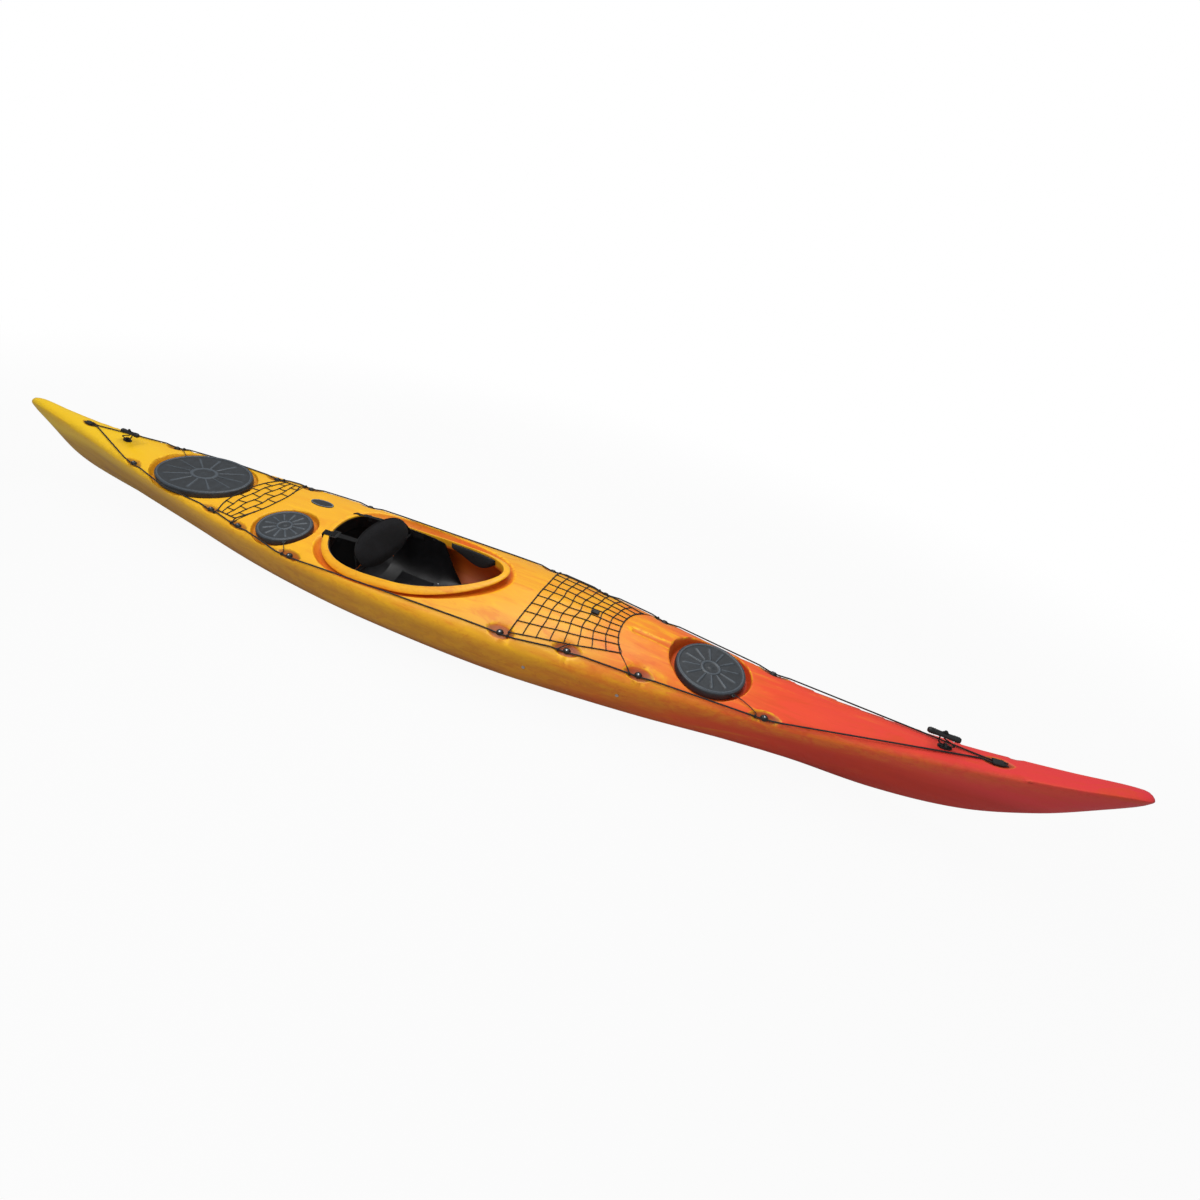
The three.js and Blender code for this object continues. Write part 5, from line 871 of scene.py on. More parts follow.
def plan_rings():
    """Loops of plan points that follow the edges of each hollow."""
    rings = []
    for name, hatch in HATCHES.items():
        angles = turns(132 if name == "rear" else 96)
        for offset in (-24, -14, -4, 4, 9, 12.5, 14.5, 16.5, 18.5, 20.5, 22.5, 25, 28, 32, 38):
            a, b = (half + offset for half in hatch["half"])
            ring = np.stack([a * np.cos(angles), b * np.sin(angles)], 1)
            rings.append(ring + np.array(hatch["origin"][:2]))
    for offset in (3, 12, 22, 30, 36, 42, 48, 54, 58, 61, 63, 65, 67, 69, 72, 76, 82):
        rings.append(coaming_outline(200, offset)[0])
    for leaf, frames in POCKETS:
        angles = turns(32)
        for matrix in frames:
            for share in (0.3, 0.55, 0.75, 0.87, 0.96, 1.05, 1.16, 1.3):
                s = leaf[0] * (share if share < 1 else 1 + (share - 1) * 0.5) * np.cos(angles)
                w = leaf[1] * share * np.sign(np.sin(angles)) * np.abs(np.sin(angles)) ** 1.5
                rings.append(np.stack([
                    matrix[0][3] + matrix[0][0] * s + matrix[0][1] * w,
                    matrix[1][3] + matrix[1][0] * s + matrix[1][1] * w,
                ], 1))
    px, py = PLATE_PLACE
    angles = turns(56)
    for offset in (-4, -1, 0.5, 1.5, 2.5, 4, 8):
        rings.append(np.stack([px + (PLATE[2] + offset) * np.cos(angles),
                               py + (PLATE[3] + offset) * np.sin(angles)], 1))
    return rings


def plan_lines():
    """Open rows of plan points along the foredeck's trough."""
    x = np.arange(TROUGH[0] - 4, TROUGH[1] - 16, 7.0)
    across = (-26, -20, -16, -13, -10, -7, 0, 7, 10, 13, 16, 20, 26)
    return [np.stack([x, np.full(len(x), y)], 1) for y in across]


def plan_mesh(stations, end_rows):
    """The deck's plan as triangles: border first, rings round every hollow, and a loose field."""
    edge = border(stations)
    loop = list(zip(stations, edge))
    loop += [(stations[-1], y) for y in end_rows[1]]
    loop += [(x, -y) for x, y in zip(stations[::-1], edge[::-1])]
    loop += [(stations[0], y) for y in end_rows[0]]
    points = [np.array(loop)]
    edges = [(i, (i + 1) % len(loop)) for i in range(len(loop))]
    count = len(loop)
    inside = lambda p, gap: (np.abs(p[:, 1]) < np.interp(p[:, 0], DECK_X, BORDERS) - gap) & (
        p[:, 0] > stations[0] + gap) & (p[:, 0] < stations[-1] - gap)
    busy = []
    for closed, rows in ((True, plan_rings()), (False, plan_lines())):
        for row in rows:
            keep = inside(row, 2.5)
            index = np.full(len(row), -1)
            index[keep] = count + np.arange(keep.sum())
            points.append(row[keep])
            busy.append(row[keep])
            count += int(keep.sum())
            for i in range(len(row) if closed else len(row) - 1):
                a, b = index[i], index[(i + 1) % len(row)]
                if a >= 0 and b >= 0:
                    edges.append((int(a), int(b)))
    tree = point_tree([(x, y, 0) for x, y in np.concatenate(busy + [points[0]])])
    step = 13.0
    field = [(x + (step / 2 if row % 2 else 0), row * step * 0.87)
             for row in range(-26, 27) for x in np.arange(stations[0], stations[-1], step)]
    field = np.array(field)
    field = field[inside(field, 5)]
    field = field[[tree.find((x, y, 0))[2] > 7.5 for x, y in field]]
    points.append(field)
    flat = np.concatenate(points)
    verts, _, faces, _, _, _ = delaunay_2d_cdt([Vector(p) for p in flat], edges, [], 0, 1e-4, False)
    verts = np.array([tuple(v) for v in verts])
    faces = np.array([f for f in faces if len(f) == 3])
    middle = verts[faces].mean(1)
    keep = np.abs(middle[:, 1]) < np.interp(middle[:, 0], stations, edge)
    keep &= coaming_distance(middle[:, 0], middle[:, 1])[0] > 3
    for hatch in HATCHES.values():
        keep &= hatch_distance(hatch, middle[:, 0], middle[:, 1]) > -24
    return verts, faces[keep]


def hull_surface(shape):
    """The outside of the hull: sides and ends in sections, and the deck in plan."""
    body = HALF - TIP_ROUND
    caps = [1, 0.96, 0.86, 0.68, 0.4]
    ends = [(-HALF + TIP_ROUND * (1 - t), math.sqrt(max(1 - t * t, 0.02))) for t in caps]
    middle = np.concatenate([
        np.linspace(-body, PLAN_ENDS[0], 16)[:-1],
        np.linspace(*PLAN_ENDS, 260),
        np.linspace(PLAN_ENDS[1], body, 17)[1:],
    ])
    rows = ends + [(x, 1.0) for x in middle] + [(-x, s) for x, s in reversed(ends)]
    xs = np.array([r[0] for r in rows])
    scale = np.array([r[1] for r in rows])[:, None]
    side = side_sections(xs)
    top = deck_sections(xs, 8)[:, 1:]
    both = np.concatenate([side, top], 1)
    centre = (both[:, :1, 1] + both[:, -1:, 1]) / 2
    both[:, :, 0] *= scale
    both[:, :, 1] = centre + (both[:, :, 1] - centre) * scale
    last = side.shape[1] - 1
    plan = (xs >= PLAN_ENDS[0]) & (xs <= PLAN_ENDS[1])
    both[plan, last, 1] = pressed(xs[plan], both[plan, last, 0])[0]
    for sign in (1, -1):
        along = np.broadcast_to(xs[:, None], both.shape[:2])
        grid = np.stack([along, sign * both[:, :, 0], both[:, :, 1]], 2)
        width = grid.shape[1]
        faces = []
        for i in range(len(xs) - 1):
            stop = last if plan[i] and plan[i + 1] else width - 1
            for j in range(stop):
                quad = (i * width + j, (i + 1) * width + j, (i + 1) * width + j + 1, i * width + j + 1)
                faces.append(quad if sign > 0 else quad[::-1])
        used = sorted({i for face in faces for i in face})
        new = {old: k for k, old in enumerate(used)}
        shape.add(grid.reshape(-1, 3)[used], [tuple(new[i] for i in face) for face in faces])
    for i in (0, len(xs) - 1):
        loop = [(xs[i], y, z) for y, z in both[i]] + [(xs[i], -y, z) for y, z in both[i][-2:0:-1]]
        loop.append((xs[i], 0, float(centre[i, 0])))
        fan = [(k, (k + 1) % (len(loop) - 1), len(loop) - 1) for k in range(len(loop) - 1)]
        shape.add(loop, fan)
    stations = xs[plan]
    first, final = both[np.argmax(plan)], both[len(xs) - 1 - np.argmax(plan[::-1])]
    across = lambda row: list(row[last + 1:, 0]) + list(-row[-2:last:-1, 0])
    verts, faces = plan_mesh(stations, ([-y for y in across(first)], across(final)))
    z, _ = pressed(verts[:, 0], verts[:, 1])
    shape.add(np.column_stack([verts, z]), [tuple(f) for f in faces])


def coaming_ring(shape):
    """The coaming's wall and rolled lip."""
    profile = softened([
        (0, -COAMING_DEPTH), (0, -20), (0, -5), (1.5, -0.8), (6, 0.6), (14, 0.9), (22, 0),
        (27.5, -2.6), (29.5, -5.6), (27.5, -8.6), (21, -8.2), (10, -6.6), (6.5, -9), (6, -16),
        (6, -COAMING_DEPTH),
    ])
    count = 240
    edge, out = coaming_outline(count, 0)
    rows = []
    for offset, rise in profile:
        place = edge + out * offset
        under = coaming_height(place[:, 0], place[:, 1])
        level = coaming_height(edge[:, 0], edge[:, 1])
        share = np.clip((offset - 2) / 6, 0, 1) if rise > -12 else 0
        rows.append(np.column_stack([place, level + (under - level) * share + rise]))
    shape.grid(np.array(rows), ring=True)


def mesh_points(mesh):
    """A mesh's points, in millimetres."""
    co = np.zeros(len(mesh.vertices) * 3)
    mesh.vertices.foreach_get("co", co)
    return co.reshape(-1, 3) / MM


def store(mesh, fields):
    """Keeps values of a mesh's points under names that its finish reads."""
    for name, values in fields.items():
        field = mesh.attributes.new(name, "FLOAT", "POINT")
        field.data.foreach_set("value", np.asarray(values, np.float32))


def hull_fields(mesh, outer):
    """Stores, for the finish's painted shade and highlights, how far each point lies in a hollow, in a pocket
    or inside, and how near it is to an edge.
    """
    x, y, z = mesh_points(mesh).T
    cut, plain = pressed(x, y)
    top = np.abs(z - cut) < 8
    distance, _ = coaming_distance(x, y)
    lip = (distance > -2) & (distance < 34) & (z > cut + 12)
    drop = plain - cut
    hollow = np.clip(drop / 9, 0, 1) * top
    # Yellow at the rims of the hollows is partly the moulding's yellow and partly a painted highlight; on the
    # coaming's lip and along the deck's border it is a painted highlight.
    edge = np.exp(-((drop - 1.8) / 2.2) ** 2) * top * (drop > 0.25)
    edge = np.maximum(edge, lip * 0.3)
    sheer = np.exp(-((np.abs(y) - np.interp(x, DECK_X, BORDERS)) / 7) ** 2) * 0.3
    # Painted shade for the pockets, strongest along each pocket's middle.
    pit = np.zeros(len(x))
    for leaf, frames in POCKETS:
        for matrix in frames:
            near = np.hypot(x - matrix[0][3], y - matrix[1][3]) < leaf[0]
            _, wide, w = pocket(matrix, leaf, x[near], y[near])
            pit[near] = np.maximum(pit[near], np.clip((wide - np.abs(w)) / 8, 0, 1))
    # The inner face's points, which follow the outer ones, get painted shade.
    index = np.arange(len(x))
    inside = (index >= outer) & (index < 2 * outer)
    out = 1 - inside
    fields = (np.maximum(edge, sheer) * out, hollow * out, pit * top * (drop > 1) * out, inside)
    store(mesh, dict(zip(HULL_FIELDS, fields)))


def make_hull():
    shell = Shape()
    hull_surface(shell)
    obj = shell.make("hull", finish("hull"), sharp=60)
    merge(obj)
    outer = len(obj.data.vertices)
    solid = obj.modifiers.new("wall", "SOLIDIFY")
    solid.thickness = WALL * MM
    solid.offset = -1
    bpy.context.view_layer.update()
    walled = bpy.data.meshes.new_from_object(obj.evaluated_get(bpy.context.evaluated_depsgraph_get()))
    obj.modifiers.clear()
    old = obj.data
    obj.data = walled
    bpy.data.meshes.remove(old)
    ring = Shape()
    coaming_ring(ring)
    rim = ring.make("coaming", finish("hull"))
    bm = bmesh.new()
    bm.from_mesh(obj.data)
    bm.from_mesh(rim.data)
    bm.to_mesh(obj.data)
    bm.free()
    bpy.data.objects.remove(rim)
    obj.data.name = "hull"
    obj.data.shade_smooth()
    obj.data.set_sharp_from_angle(angle=math.radians(55))
    hull_fields(obj.data, outer)
    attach(obj, "boat")
    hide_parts("hull_shell")


# Hatches


def hatch_matrix(hatch):
    """The frame of a hatch, on its floor."""
    return tilted(Vector(hatch["normal"]).normalized(), Vector(hatch["origin"]))


def oval_rows(hatch, rings, count):
    """Rings of an oval from rows of [share of the half sizes, offset, height]."""
    a, b = hatch["half"]
    turn = turns(count)
    rows = []
    for share, offset, z in rings:
        x = (a * share + offset) * np.cos(turn)
        y = (b * share + offset) * np.sin(turn)
        rows.append(np.column_stack([x, y, np.broadcast_to(z, count)]))
    return rows


def cover_rows(hatch):
    """A cover's surface from its middle, over ribs, band and skirt, to the ceiling inside."""
    a, b = hatch["half"]
    count = 264
    turn = turns(count)
    top = COVER_HEIGHT
    ribs = size("rib_rise")
    floor = top - ribs - RIB_FOOT
    rings = [(s, 0, floor + ribs * rise) for s, rise in (
        (0.004, 0.6), (0.05, 0.6), (0.07, 0.2), (0.09, 0), (0.19, 0), (0.21, 0.1), (0.225, 0.75),
        (0.24, 1), (0.265, 1), (0.28, 0.75), (0.295, 0.1))]
    inner, reach = 0.31, 17.0
    pitch = 2 * math.pi / RIBS
    for q in np.linspace(0, 1, 26):
        share = inner + (1 - inner) * q
        offset = -reach * q
        radius_a, radius_b = a * share + offset, b * share + offset
        radius = np.hypot(radius_a * np.cos(turn), radius_b * np.sin(turn))
        off = np.abs((turn % pitch) - pitch / 2)
        wide = 3.0 + 2.0 * q
        window = 1 / (1 + math.exp((q - 0.84) * 70))
        rib = np.exp(-(off * radius / wide) ** 4) * window
        rings.append((share, offset, floor + ribs * rib))
    edge = [(-15.8, floor), (-15.2, floor + 0.4), (-14, top - 1), (-12.8, top - 0.3), (-11, top), (-8.5, top),
            (-7.6, top - 0.4), (-6.9, top - 1.8), (-6.1, top - 1.8), (-5.4, top - 0.7), (-3.6, top - 1.4),
            (-1.8, top - 3), (-0.6, top - 5.6), (-0.1, top - 9),
            (0, top - 14), (0, 14), (-0.4, 8), (-1.4, 5), (-3, 3.6), (-5.5, 3.5), (-8, 3.6), (-10, 4.6),
            (-10.4, 7), (-10.4, 20), (-11, 24), (-14, 25.8), (-30, 25.8)]
    rings += [(1, offset, z) for offset, z in edge]
    rings.append((0.004, 0, 25.8))
    return oval_rows(hatch, rings, count)


def cover_fields(obj, hatch):
    """Stores which points of a cover are on a crest, for a painted highlight, and which in a groove, for
    painted shade.
    """
    back = np.array(hatch_matrix(hatch).inverted())
    x, y, z = (mesh_points(obj.data) @ back[:3, :3].T + back[:3, 3]).T
    ribs = size("rib_rise")
    rise = (z - (COVER_HEIGHT - ribs - RIB_FOOT)) / ribs
    flat = np.hypot(x / hatch["half"][0], y / hatch["half"][1])
    crest = np.clip(rise * 1.4 - 0.3, 0, 1) * (flat > 0.16)
    store(obj.data, {"crest": crest, "groove": np.clip(1 - rise / 0.3, 0, 1) * (flat < 0.95) * (rise > -0.5)})


def lug_frame(hatch):
    """Where a cover's lug stands: edge, hole and outward direction, in the hatch's frame."""
    angle = math.radians(hatch["lug"])
    a, b = hatch["half"]
    out = Vector((math.cos(angle) / a, math.sin(angle) / b, 0)).normalized()
    edge = Vector((a * math.cos(angle), b * math.sin(angle), COVER_HEIGHT - 9))
    return edge, edge + out * 6, out


def make_cover(name, hatch):
    shape = Shape()
    matrix = hatch_matrix(hatch)
    shape.grid(cover_rows(hatch), caps=True, matrix=matrix)
    _, hole, out = lug_frame(hatch)
    side = Vector((0, 0, 1)).cross(out)
    ring = []
    for turn in turns(20):
        ring.append(matrix @ (hole + out * (5.2 * math.cos(turn)) + side * (5.4 * math.sin(turn))))
    shape.tube(ring, 2.5, 8, ring=True, flat=1.1)
    cover = shape.make(f"{name}_cover", finish("rubber"), f"{name}_cover", [f"{name}_hatch_cover"], "rubber",
                       sharp=42)
    cover_fields(cover, hatch)


def make_rim(name, hatch):
    profile = softened([(-20, 0.3), (-4, 0.3), (-4, 2.8), (-15, 2.8), (-15, 19), (-11, 21), (-11.5, 24),
                        (-15, 25.3), (-20, 25.3)], 1)
    shape = Shape()
    shape.grid(oval_rows(hatch, [(1, o, z) for o, z in profile], 120), ring=True, matrix=hatch_matrix(hatch))
    shape.make(f"{name}_rim", finish("plastic"), "boat", [f"{name}_hatch_rim"], "plastic")


# Cords


def line_at(side, index, along):
    """A place on a deck line near a fitting."""
    half = FITTING_LENGTH / 2 + LINE_RADIUS
    over = LEAF[2] + LINE_RADIUS + LINE_LIFT - FIT
    rise = np.clip((abs(along) - half) / (LEAF[0] - half), 0, 1) * (over - FITTING_HOLE)
    matrix = FITTING_FRAMES[side][index]
    return np.array(matrix @ Vector((along, side * FITTING_OUT, FITTING_HOLE + rise)))


def line_end(side, end, beyond, lift=0.0):
    matrix = END_FRAMES[end]
    turn = -1 if end == 0 else 1
    return np.array(matrix @ Vector((beyond, turn * side * END_SPREAD, FITTING_HOLE + lift)))


def taut(start, end, lift=LINE_RADIUS + 1.2):
    """A cord pulled tight between two places: it lies on the deck and bridges its hollows."""
    count = max(3, int(np.linalg.norm(end - start) / 12))
    t = np.linspace(0, 1, count)[:, None]
    run = start + (end - start) * t
    ground = deck(run[:, 0], run[:, 1]) + lift
    run[1:-1, 2] = ground[1:-1]
    kept = [0]
    while kept[-1] < count - 1:
        here = kept[-1]
        slopes = (run[here + 1:, 2] - run[here, 2]) / np.arange(1, count - here)
        kept.append(here + 1 + int(np.argmax(slopes)))
    run[:, 2] = np.interp(np.arange(count), kept, run[kept, 2])
    return run


def detour(side):
    """Where a deck line bends round the rear cover."""
    hatch = HATCHES["rear"]
    reach = LINE_RADIUS + 3.2
    places = []
    for degrees in (110, 105, 101, 96, 92):
        angle = math.radians(degrees)
        x = hatch["origin"][0] + (hatch["half"][0] + reach) * math.cos(angle)
        y = (hatch["half"][1] + reach) * math.sin(angle) * side
        places.append(on_deck(x, y, LINE_RADIUS + LINE_LIFT))
    return places


def deck_line(side):
    half = FITTING_LENGTH / 2 + LINE_RADIUS
    end_half, pocket_half = END_LENGTH / 2 + LINE_RADIUS, END_LEAF[0]
    over = END_LEAF[2] + LINE_RADIUS + LINE_LIFT - FIT - FITTING_HOLE
    runs = [[line_end(side, e, end_half + 3), line_end(side, e, end_half), line_end(side, e, -end_half),
             line_end(side, e, -pocket_half, over)] for e in (0, 1)]
    path = list(runs[0])
    for i in range(len(FITTINGS)):
        stops = detour(side) if i == 1 else []
        for stop in [*stops, line_at(side, i, -LEAF[0])]:
            path.extend(taut(path[-1], stop)[1:])
        path += [line_at(side, i, along) for along in (-half, -half / 2, half / 2, half, LEAF[0])]
    path.extend(taut(path[-1], runs[1][-1])[1:])
    path += runs[1][-2::-1]
    return np.array(path)


def make_deck_line(name, side):
    path = deck_line(side)
    shape = Shape()
    shape.tube(path, size("line_radius"), 10)
    for end, ahead in ((path[0], path[1]), (path[-1], path[-2])):
        shape.ball(end, (5.2, 5.2, 4.8))
        back = (end - ahead) / np.linalg.norm(end - ahead)
        shape.tube([end, end + back * 5, end + back * 9 + (0, 2 * side, 0.5)], [2.6, 2.4, 2.2], 8)
    shape.make(f"deck_line_cord_{name}", finish("cord"), "boat", [f"deck_line_{name}"], "cord", sharp=70)


def loop_round(shape, centre, along):
    """A small loop of cord round a deck line."""
    along = along / np.linalg.norm(along)
    side = np.cross((0, 0, 1), along)
    side /= np.linalg.norm(side)
    up = np.cross(along, side)
    turn = turns(16)
    around = LOOP_REACH * (np.outer(np.cos(turn), side) + np.outer(np.sin(turn), up))
    for shift in (-TETHER_RADIUS, TETHER_RADIUS):
        shape.tube(centre + along * shift + around, TETHER_RADIUS, 6, ring=True)


def tether_path(hatch):
    side_name, fitting, step = hatch["tether"]
    side = SIDES[side_name]
    reach = step * TETHER_REACH
    centre = line_at(side, fitting, reach)
    along = line_at(side, fitting, reach + 6) - line_at(side, fitting, reach - 6)
    along /= np.linalg.norm(along)
    inboard = np.cross((0, 0, 1), along) * -side
    _, hole, _ = lug_frame(hatch)
    matrix = hatch_matrix(hatch)
    top = np.array(matrix @ (hole + Vector((0, 0, 6))))
    low = np.array(matrix @ (hole - Vector((0, 0, 6))))
    ring = centre + inboard * 5.4
    leave = ring + inboard * 8
    leave[2] = max(leave[2], on_deck(leave[0], leave[1], 3)[2])
    over = (top + leave) / 2
    over[2] = max(over[2], on_deck(over[0], over[1], 4)[2] + 3)
    return smooth_path([low, (low + top) / 2, top, over, leave, ring], 30), centre, along


def make_tether(name, hatch):
    path, centre, along = tether_path(hatch)
    shape = Shape()
    shape.tube(path, TETHER_RADIUS, 8)
    shape.ball(path[0] - (0, 0, 1), (3.3, 3.3, 3))
    shape.ball(path[-1], (3.4, 3.0, 3.0))
    loop_round(shape, centre, along)
    shape.make(f"{name}_tether", finish("cord"), "boat", [f"{name}_hatch_tether"], "cord", sharp=70)


# Nets


def net_places(net, side):
    """The corners of a net beside its fittings, and where its loops hold the deck line."""
    places = []
    last = len(net["fittings"]) - 1
    for i, index in enumerate(net["fittings"]):
        step = 1 if i == 0 else -1
        centre = line_at(side, index, step * TETHER_REACH)
        along = line_at(side, index, step * TETHER_REACH + 6) - centre
        along /= np.linalg.norm(along)
        inboard = np.cross((0, 0, 1), along) * -side
        inboard /= np.linalg.norm(inboard)
        corner = centre + inboard * net["inset"][i] - along * net["draw"][i]
        if 0 < i < last:
            origin = FITTING_FRAMES[side][index].translation
            corner = np.array([origin.x, origin.y - side * net["inset"][i], 0])
        places.append((centre, along, inboard, corner))
    return places


def net_place(net):
    """A function from shares along and across a net to places on the deck."""
    corners = [place[3] for place in net_places(net, 1)]
    aft, front = corners[0][0], corners[-1][0]

    def at(along, across, lift=2.4):
        reach = 1 - np.abs(across) ** 2.4
        start, end = aft + net["aft"] * reach, front - net["front"] * reach
        x = start + (end - start) * along
        edge = np.interp(aft + (front - aft) * along, [c[0] for c in corners], [c[1] for c in corners])
        y = across * edge
        sway = 4 * along * (1 - along) * (1 - across ** 2)
        x = x + 5 * sway * np.sin(9 * across + 5 * along)
        y = y + 4 * sway * np.sin(11 * along - 4 * across)
        z = deck(x, y) + lift
        return np.stack([x, y, z], -1)

    return at


def net_cords(net):
    """Paths of a net's cords and the places of its knots."""
    rows, columns = net["rows"], net["columns"]
    paths, knots = [], []
    for r in range(rows + 1):
        across = np.linspace(-1, 1, 61)
        paths.append((np.full(61, r / rows), across, r in (0, rows)))
    if net["staggered"]:
        for r in range(rows):
            inner = [2 * i + 1 for i in range(columns)] if r % 2 else [2 * i for i in range(1, columns)]
            for step in [0, *inner, 2 * columns]:
                across = step / columns - 1
                outer = step in (0, 2 * columns)
                paths.append((np.linspace(r, r + 1, 9) / rows, np.full(9, across), outer))
                knots += [(k / rows, across) for k in (r, r + 1)]
    else:
        for c in range(columns + 1):
            paths.append((np.linspace(0, 1, 61), np.full(61, 2 * c / columns - 1), c in (0, columns)))
            knots += [(r / rows, 2 * c / columns - 1) for r in range(rows + 1)]
    return paths, sorted(set(knots))


def make_net(name, net):
    at = net_place(net)
    cord = size("net_cord")
    shape = Shape()
    paths, knots = net_cords(net)
    for along, across, outer in paths:
        path = at(along, across)
        inner = np.sin(np.linspace(0, math.pi * (net["columns"] if len(path) > 20 else 1), len(path)))
        path[:, 2] += 0.35 * np.abs(inner)
        shape.tube(path, 1.25 * cord if outer else cord, 7)
    for along, across in knots:
        place = at(np.array([along]), np.array([across]), 2.7)[0]
        shape.ball(place, (2.15 * cord, 1.9 * cord, 1.5 * cord), 5, 8)
    for side in SIDES.values():
        for (centre, along, inboard, corner), draw in zip(net_places(net, side), net["draw"]):
            start = centre + inboard * LOOP_REACH
            end = np.array([corner[0], corner[1], on_deck(corner[0], corner[1], 2.6)[2]])
            loop_round(shape, centre, along)
            ends = [end]
            if draw:
                ends.append(at(np.array([1.0]), np.array([side * (1 - 2 / net["columns"])]))[0])
            for far in ends:
                shape.tube(smooth_path([start, (start + far) / 2 + (0, 0, 1.5), far], 8), cord, 7)
                shape.ball(far, (2.6 * cord, 2.4 * cord, 1.8 * cord), 5, 8)
    shape.make(f"{name}_net", finish("cord"), "boat", [f"{name}_deck_net"], "cord", sharp=70)


# Toggles

GRIP_HALF = 56.0


def make_toggle(name, toggle):
    eye, grip = np.array(toggle["eye"], float), np.array(toggle["grip"], float)
    shape = Shape()
    along = np.linspace(-1, 1, 41)
    radius = 9.4 + 1.6 * np.abs(along) ** 1.6
    radius *= np.clip((1 - np.abs(along) ** 14), 0, 1) ** 0.5 + 0.02
    path = grip + np.outer(along * GRIP_HALF, (1, 0, 0))
    shape.tube(path, radius, 20)
    for share in (-0.82, -0.7, -0.58, 0.58, 0.7, 0.82):
        turn = turns(24)
        ring = np.column_stack([np.full(24, share * GRIP_HALF), 10.6 * np.cos(turn), 10.6 * np.sin(turn)])
        shape.tube(grip + ring, 0.9, 6, ring=True)
    shape.make(f"{name}_grip", finish("plastic"), toggle["body"], [f"{name}_toggle"], "plastic", sharp=60)
    cords = Shape()
    thread, spread, foot = 2.6, 8.0, 26.0
    top = grip[2] + 11 + thread
    bottom = eye[2] - 4.4 + thread + 0.8
    arm = lambda turn: [
        (grip[0], 0, top + 0.6), (grip[0] + turn * spread * 0.6, 0, top),
        (grip[0] + turn * spread, 0, top - 3.4),
        (grip[0] + turn * spread, 0, grip[2]), (grip[0] + turn * spread, 0, grip[2] - 14),
        (eye[0] + turn * foot * 0.98, 0, eye[2] + 9), (eye[0] + turn * foot * 0.72, 0, bottom + 2.2),
        (eye[0] + turn * 7, 0, bottom), (eye[0], 0, bottom)]
    for turn in (-1, 1):
        cords.tube(smooth_path(arm(turn), 48), thread, 9)
    cords.ball((grip[0], 0, top + 2.4), (6, 5.2, 4.6))
    cords.make(f"{name}_toggle_cord", finish("cord"), toggle["body"], [f"{name}_toggle_loop"], "cord",
               sharp=70)


# Seat

SEAT_X = (-0.1804 * HALF, -0.0337 * HALF)
SEAT_HEIGHT, SEAT_THICKNESS, SEAT_GRID = 255.0, 4.0, (44, 56)
SEAT_BOLTS, BRACE_BOLT, BOLT_DROP = (-0.169, -0.098), -0.005, 24.0
SEAT_STATIONS = np.array([
    (0, 0.97, 0.12), (0.17, 1, 0.09), (0.36, 1, 0.08), (0.56, 1, 0.085),
    (0.72, 0.98, 0.1), (0.79, 0.76, 0.125), (0.88, 0.5, 0.16), (1, 0.26, 0.19),
])


def seat_rows(count, columns):
    """The seat's upper face: a square-bottomed trough with high wings."""
    rows = []
    for share in np.linspace(0, 1, count):
        x = SEAT_X[0] + (SEAT_X[1] - SEAT_X[0]) * share
        top = np.interp(share, SEAT_STATIONS[:, 0], SEAT_STATIONS[:, 1]) * SEAT_HEIGHT
        base = np.interp(share, SEAT_STATIONS[:, 0], SEAT_STATIONS[:, 2]) * SEAT_HEIGHT
        half = float(opening_half(x)) - SEAT_THICKNESS - 1
        angle = math.pi * (0.5 - np.arange(columns + 1) / columns)
        s, c = np.sin(angle), np.abs(np.cos(angle))
        y = half * np.sign(s) * np.abs(s) ** 0.5
        z = top - (top - base) * c ** 0.5
        hump = 9 * np.exp(-(y / 34) ** 2) * np.clip((share - 0.55) / 0.4, 0, 1)
        rows.append(np.column_stack([np.full(columns + 1, x), y, z + hump]))
    return np.array(rows)


def thick_sheet(shape, rows, thickness):
    """A closed sheet of a given thickness, its upper face given."""
    rows = np.asarray(rows, float)
    along = np.gradient(rows, axis=0)
    across = np.gradient(rows, axis=1)
    normal = np.cross(across, along)
    normal /= np.maximum(np.linalg.norm(normal, axis=2, keepdims=True), 1e-9)
    lower_face = rows - normal * thickness
    loops = np.concatenate([rows, lower_face[:, ::-1]], 1)
    shape.grid(loops)
    for k in (0, len(rows) - 1):
        pair = np.array([rows[k], lower_face[k]])
        shape.grid(pair, across=False)


def pin(shape, start, end, radius, sides=14):
    """A round pin with softened ends."""
    start, end = np.array(start, float), np.array(end, float)
    ahead = (end - start) / np.linalg.norm(end - start)
    bevel = min(radius * 0.25, 0.8)
    path = [start, start + ahead * bevel, end - ahead * bevel, end]
    shape.tube(path, [radius - bevel, radius, radius, radius - bevel], sides)


def bolt_place(share):
    """Where a bolt goes through the coaming's wall: place along the hull, half width and height."""
    x = share * HALF
    half = float(opening_half(x))
    return x, half, coaming_height(x, half) - BOLT_DROP


BAR = np.array([-382.17, 0, 219.77])
BAR_HALF = 192.4
BACK_CENTRE = np.array([-0.1576 * HALF, 0, 277.0])
BACK_LEAN = math.radians(26.6)
BACK_HALF, BACK_BEND = (168.0, 84.0), 12.0
CLOTH_PRESSURE, CLOTH_STEPS = 3.0, 16
STRAP, STRAP_OUT = (25.0, 1.8), 101.0
BACK_UP = np.array([-math.sin(BACK_LEAN), 0, math.cos(BACK_LEAN)])
BACK_OUT = np.array([math.cos(BACK_LEAN), 0, math.sin(BACK_LEAN)])


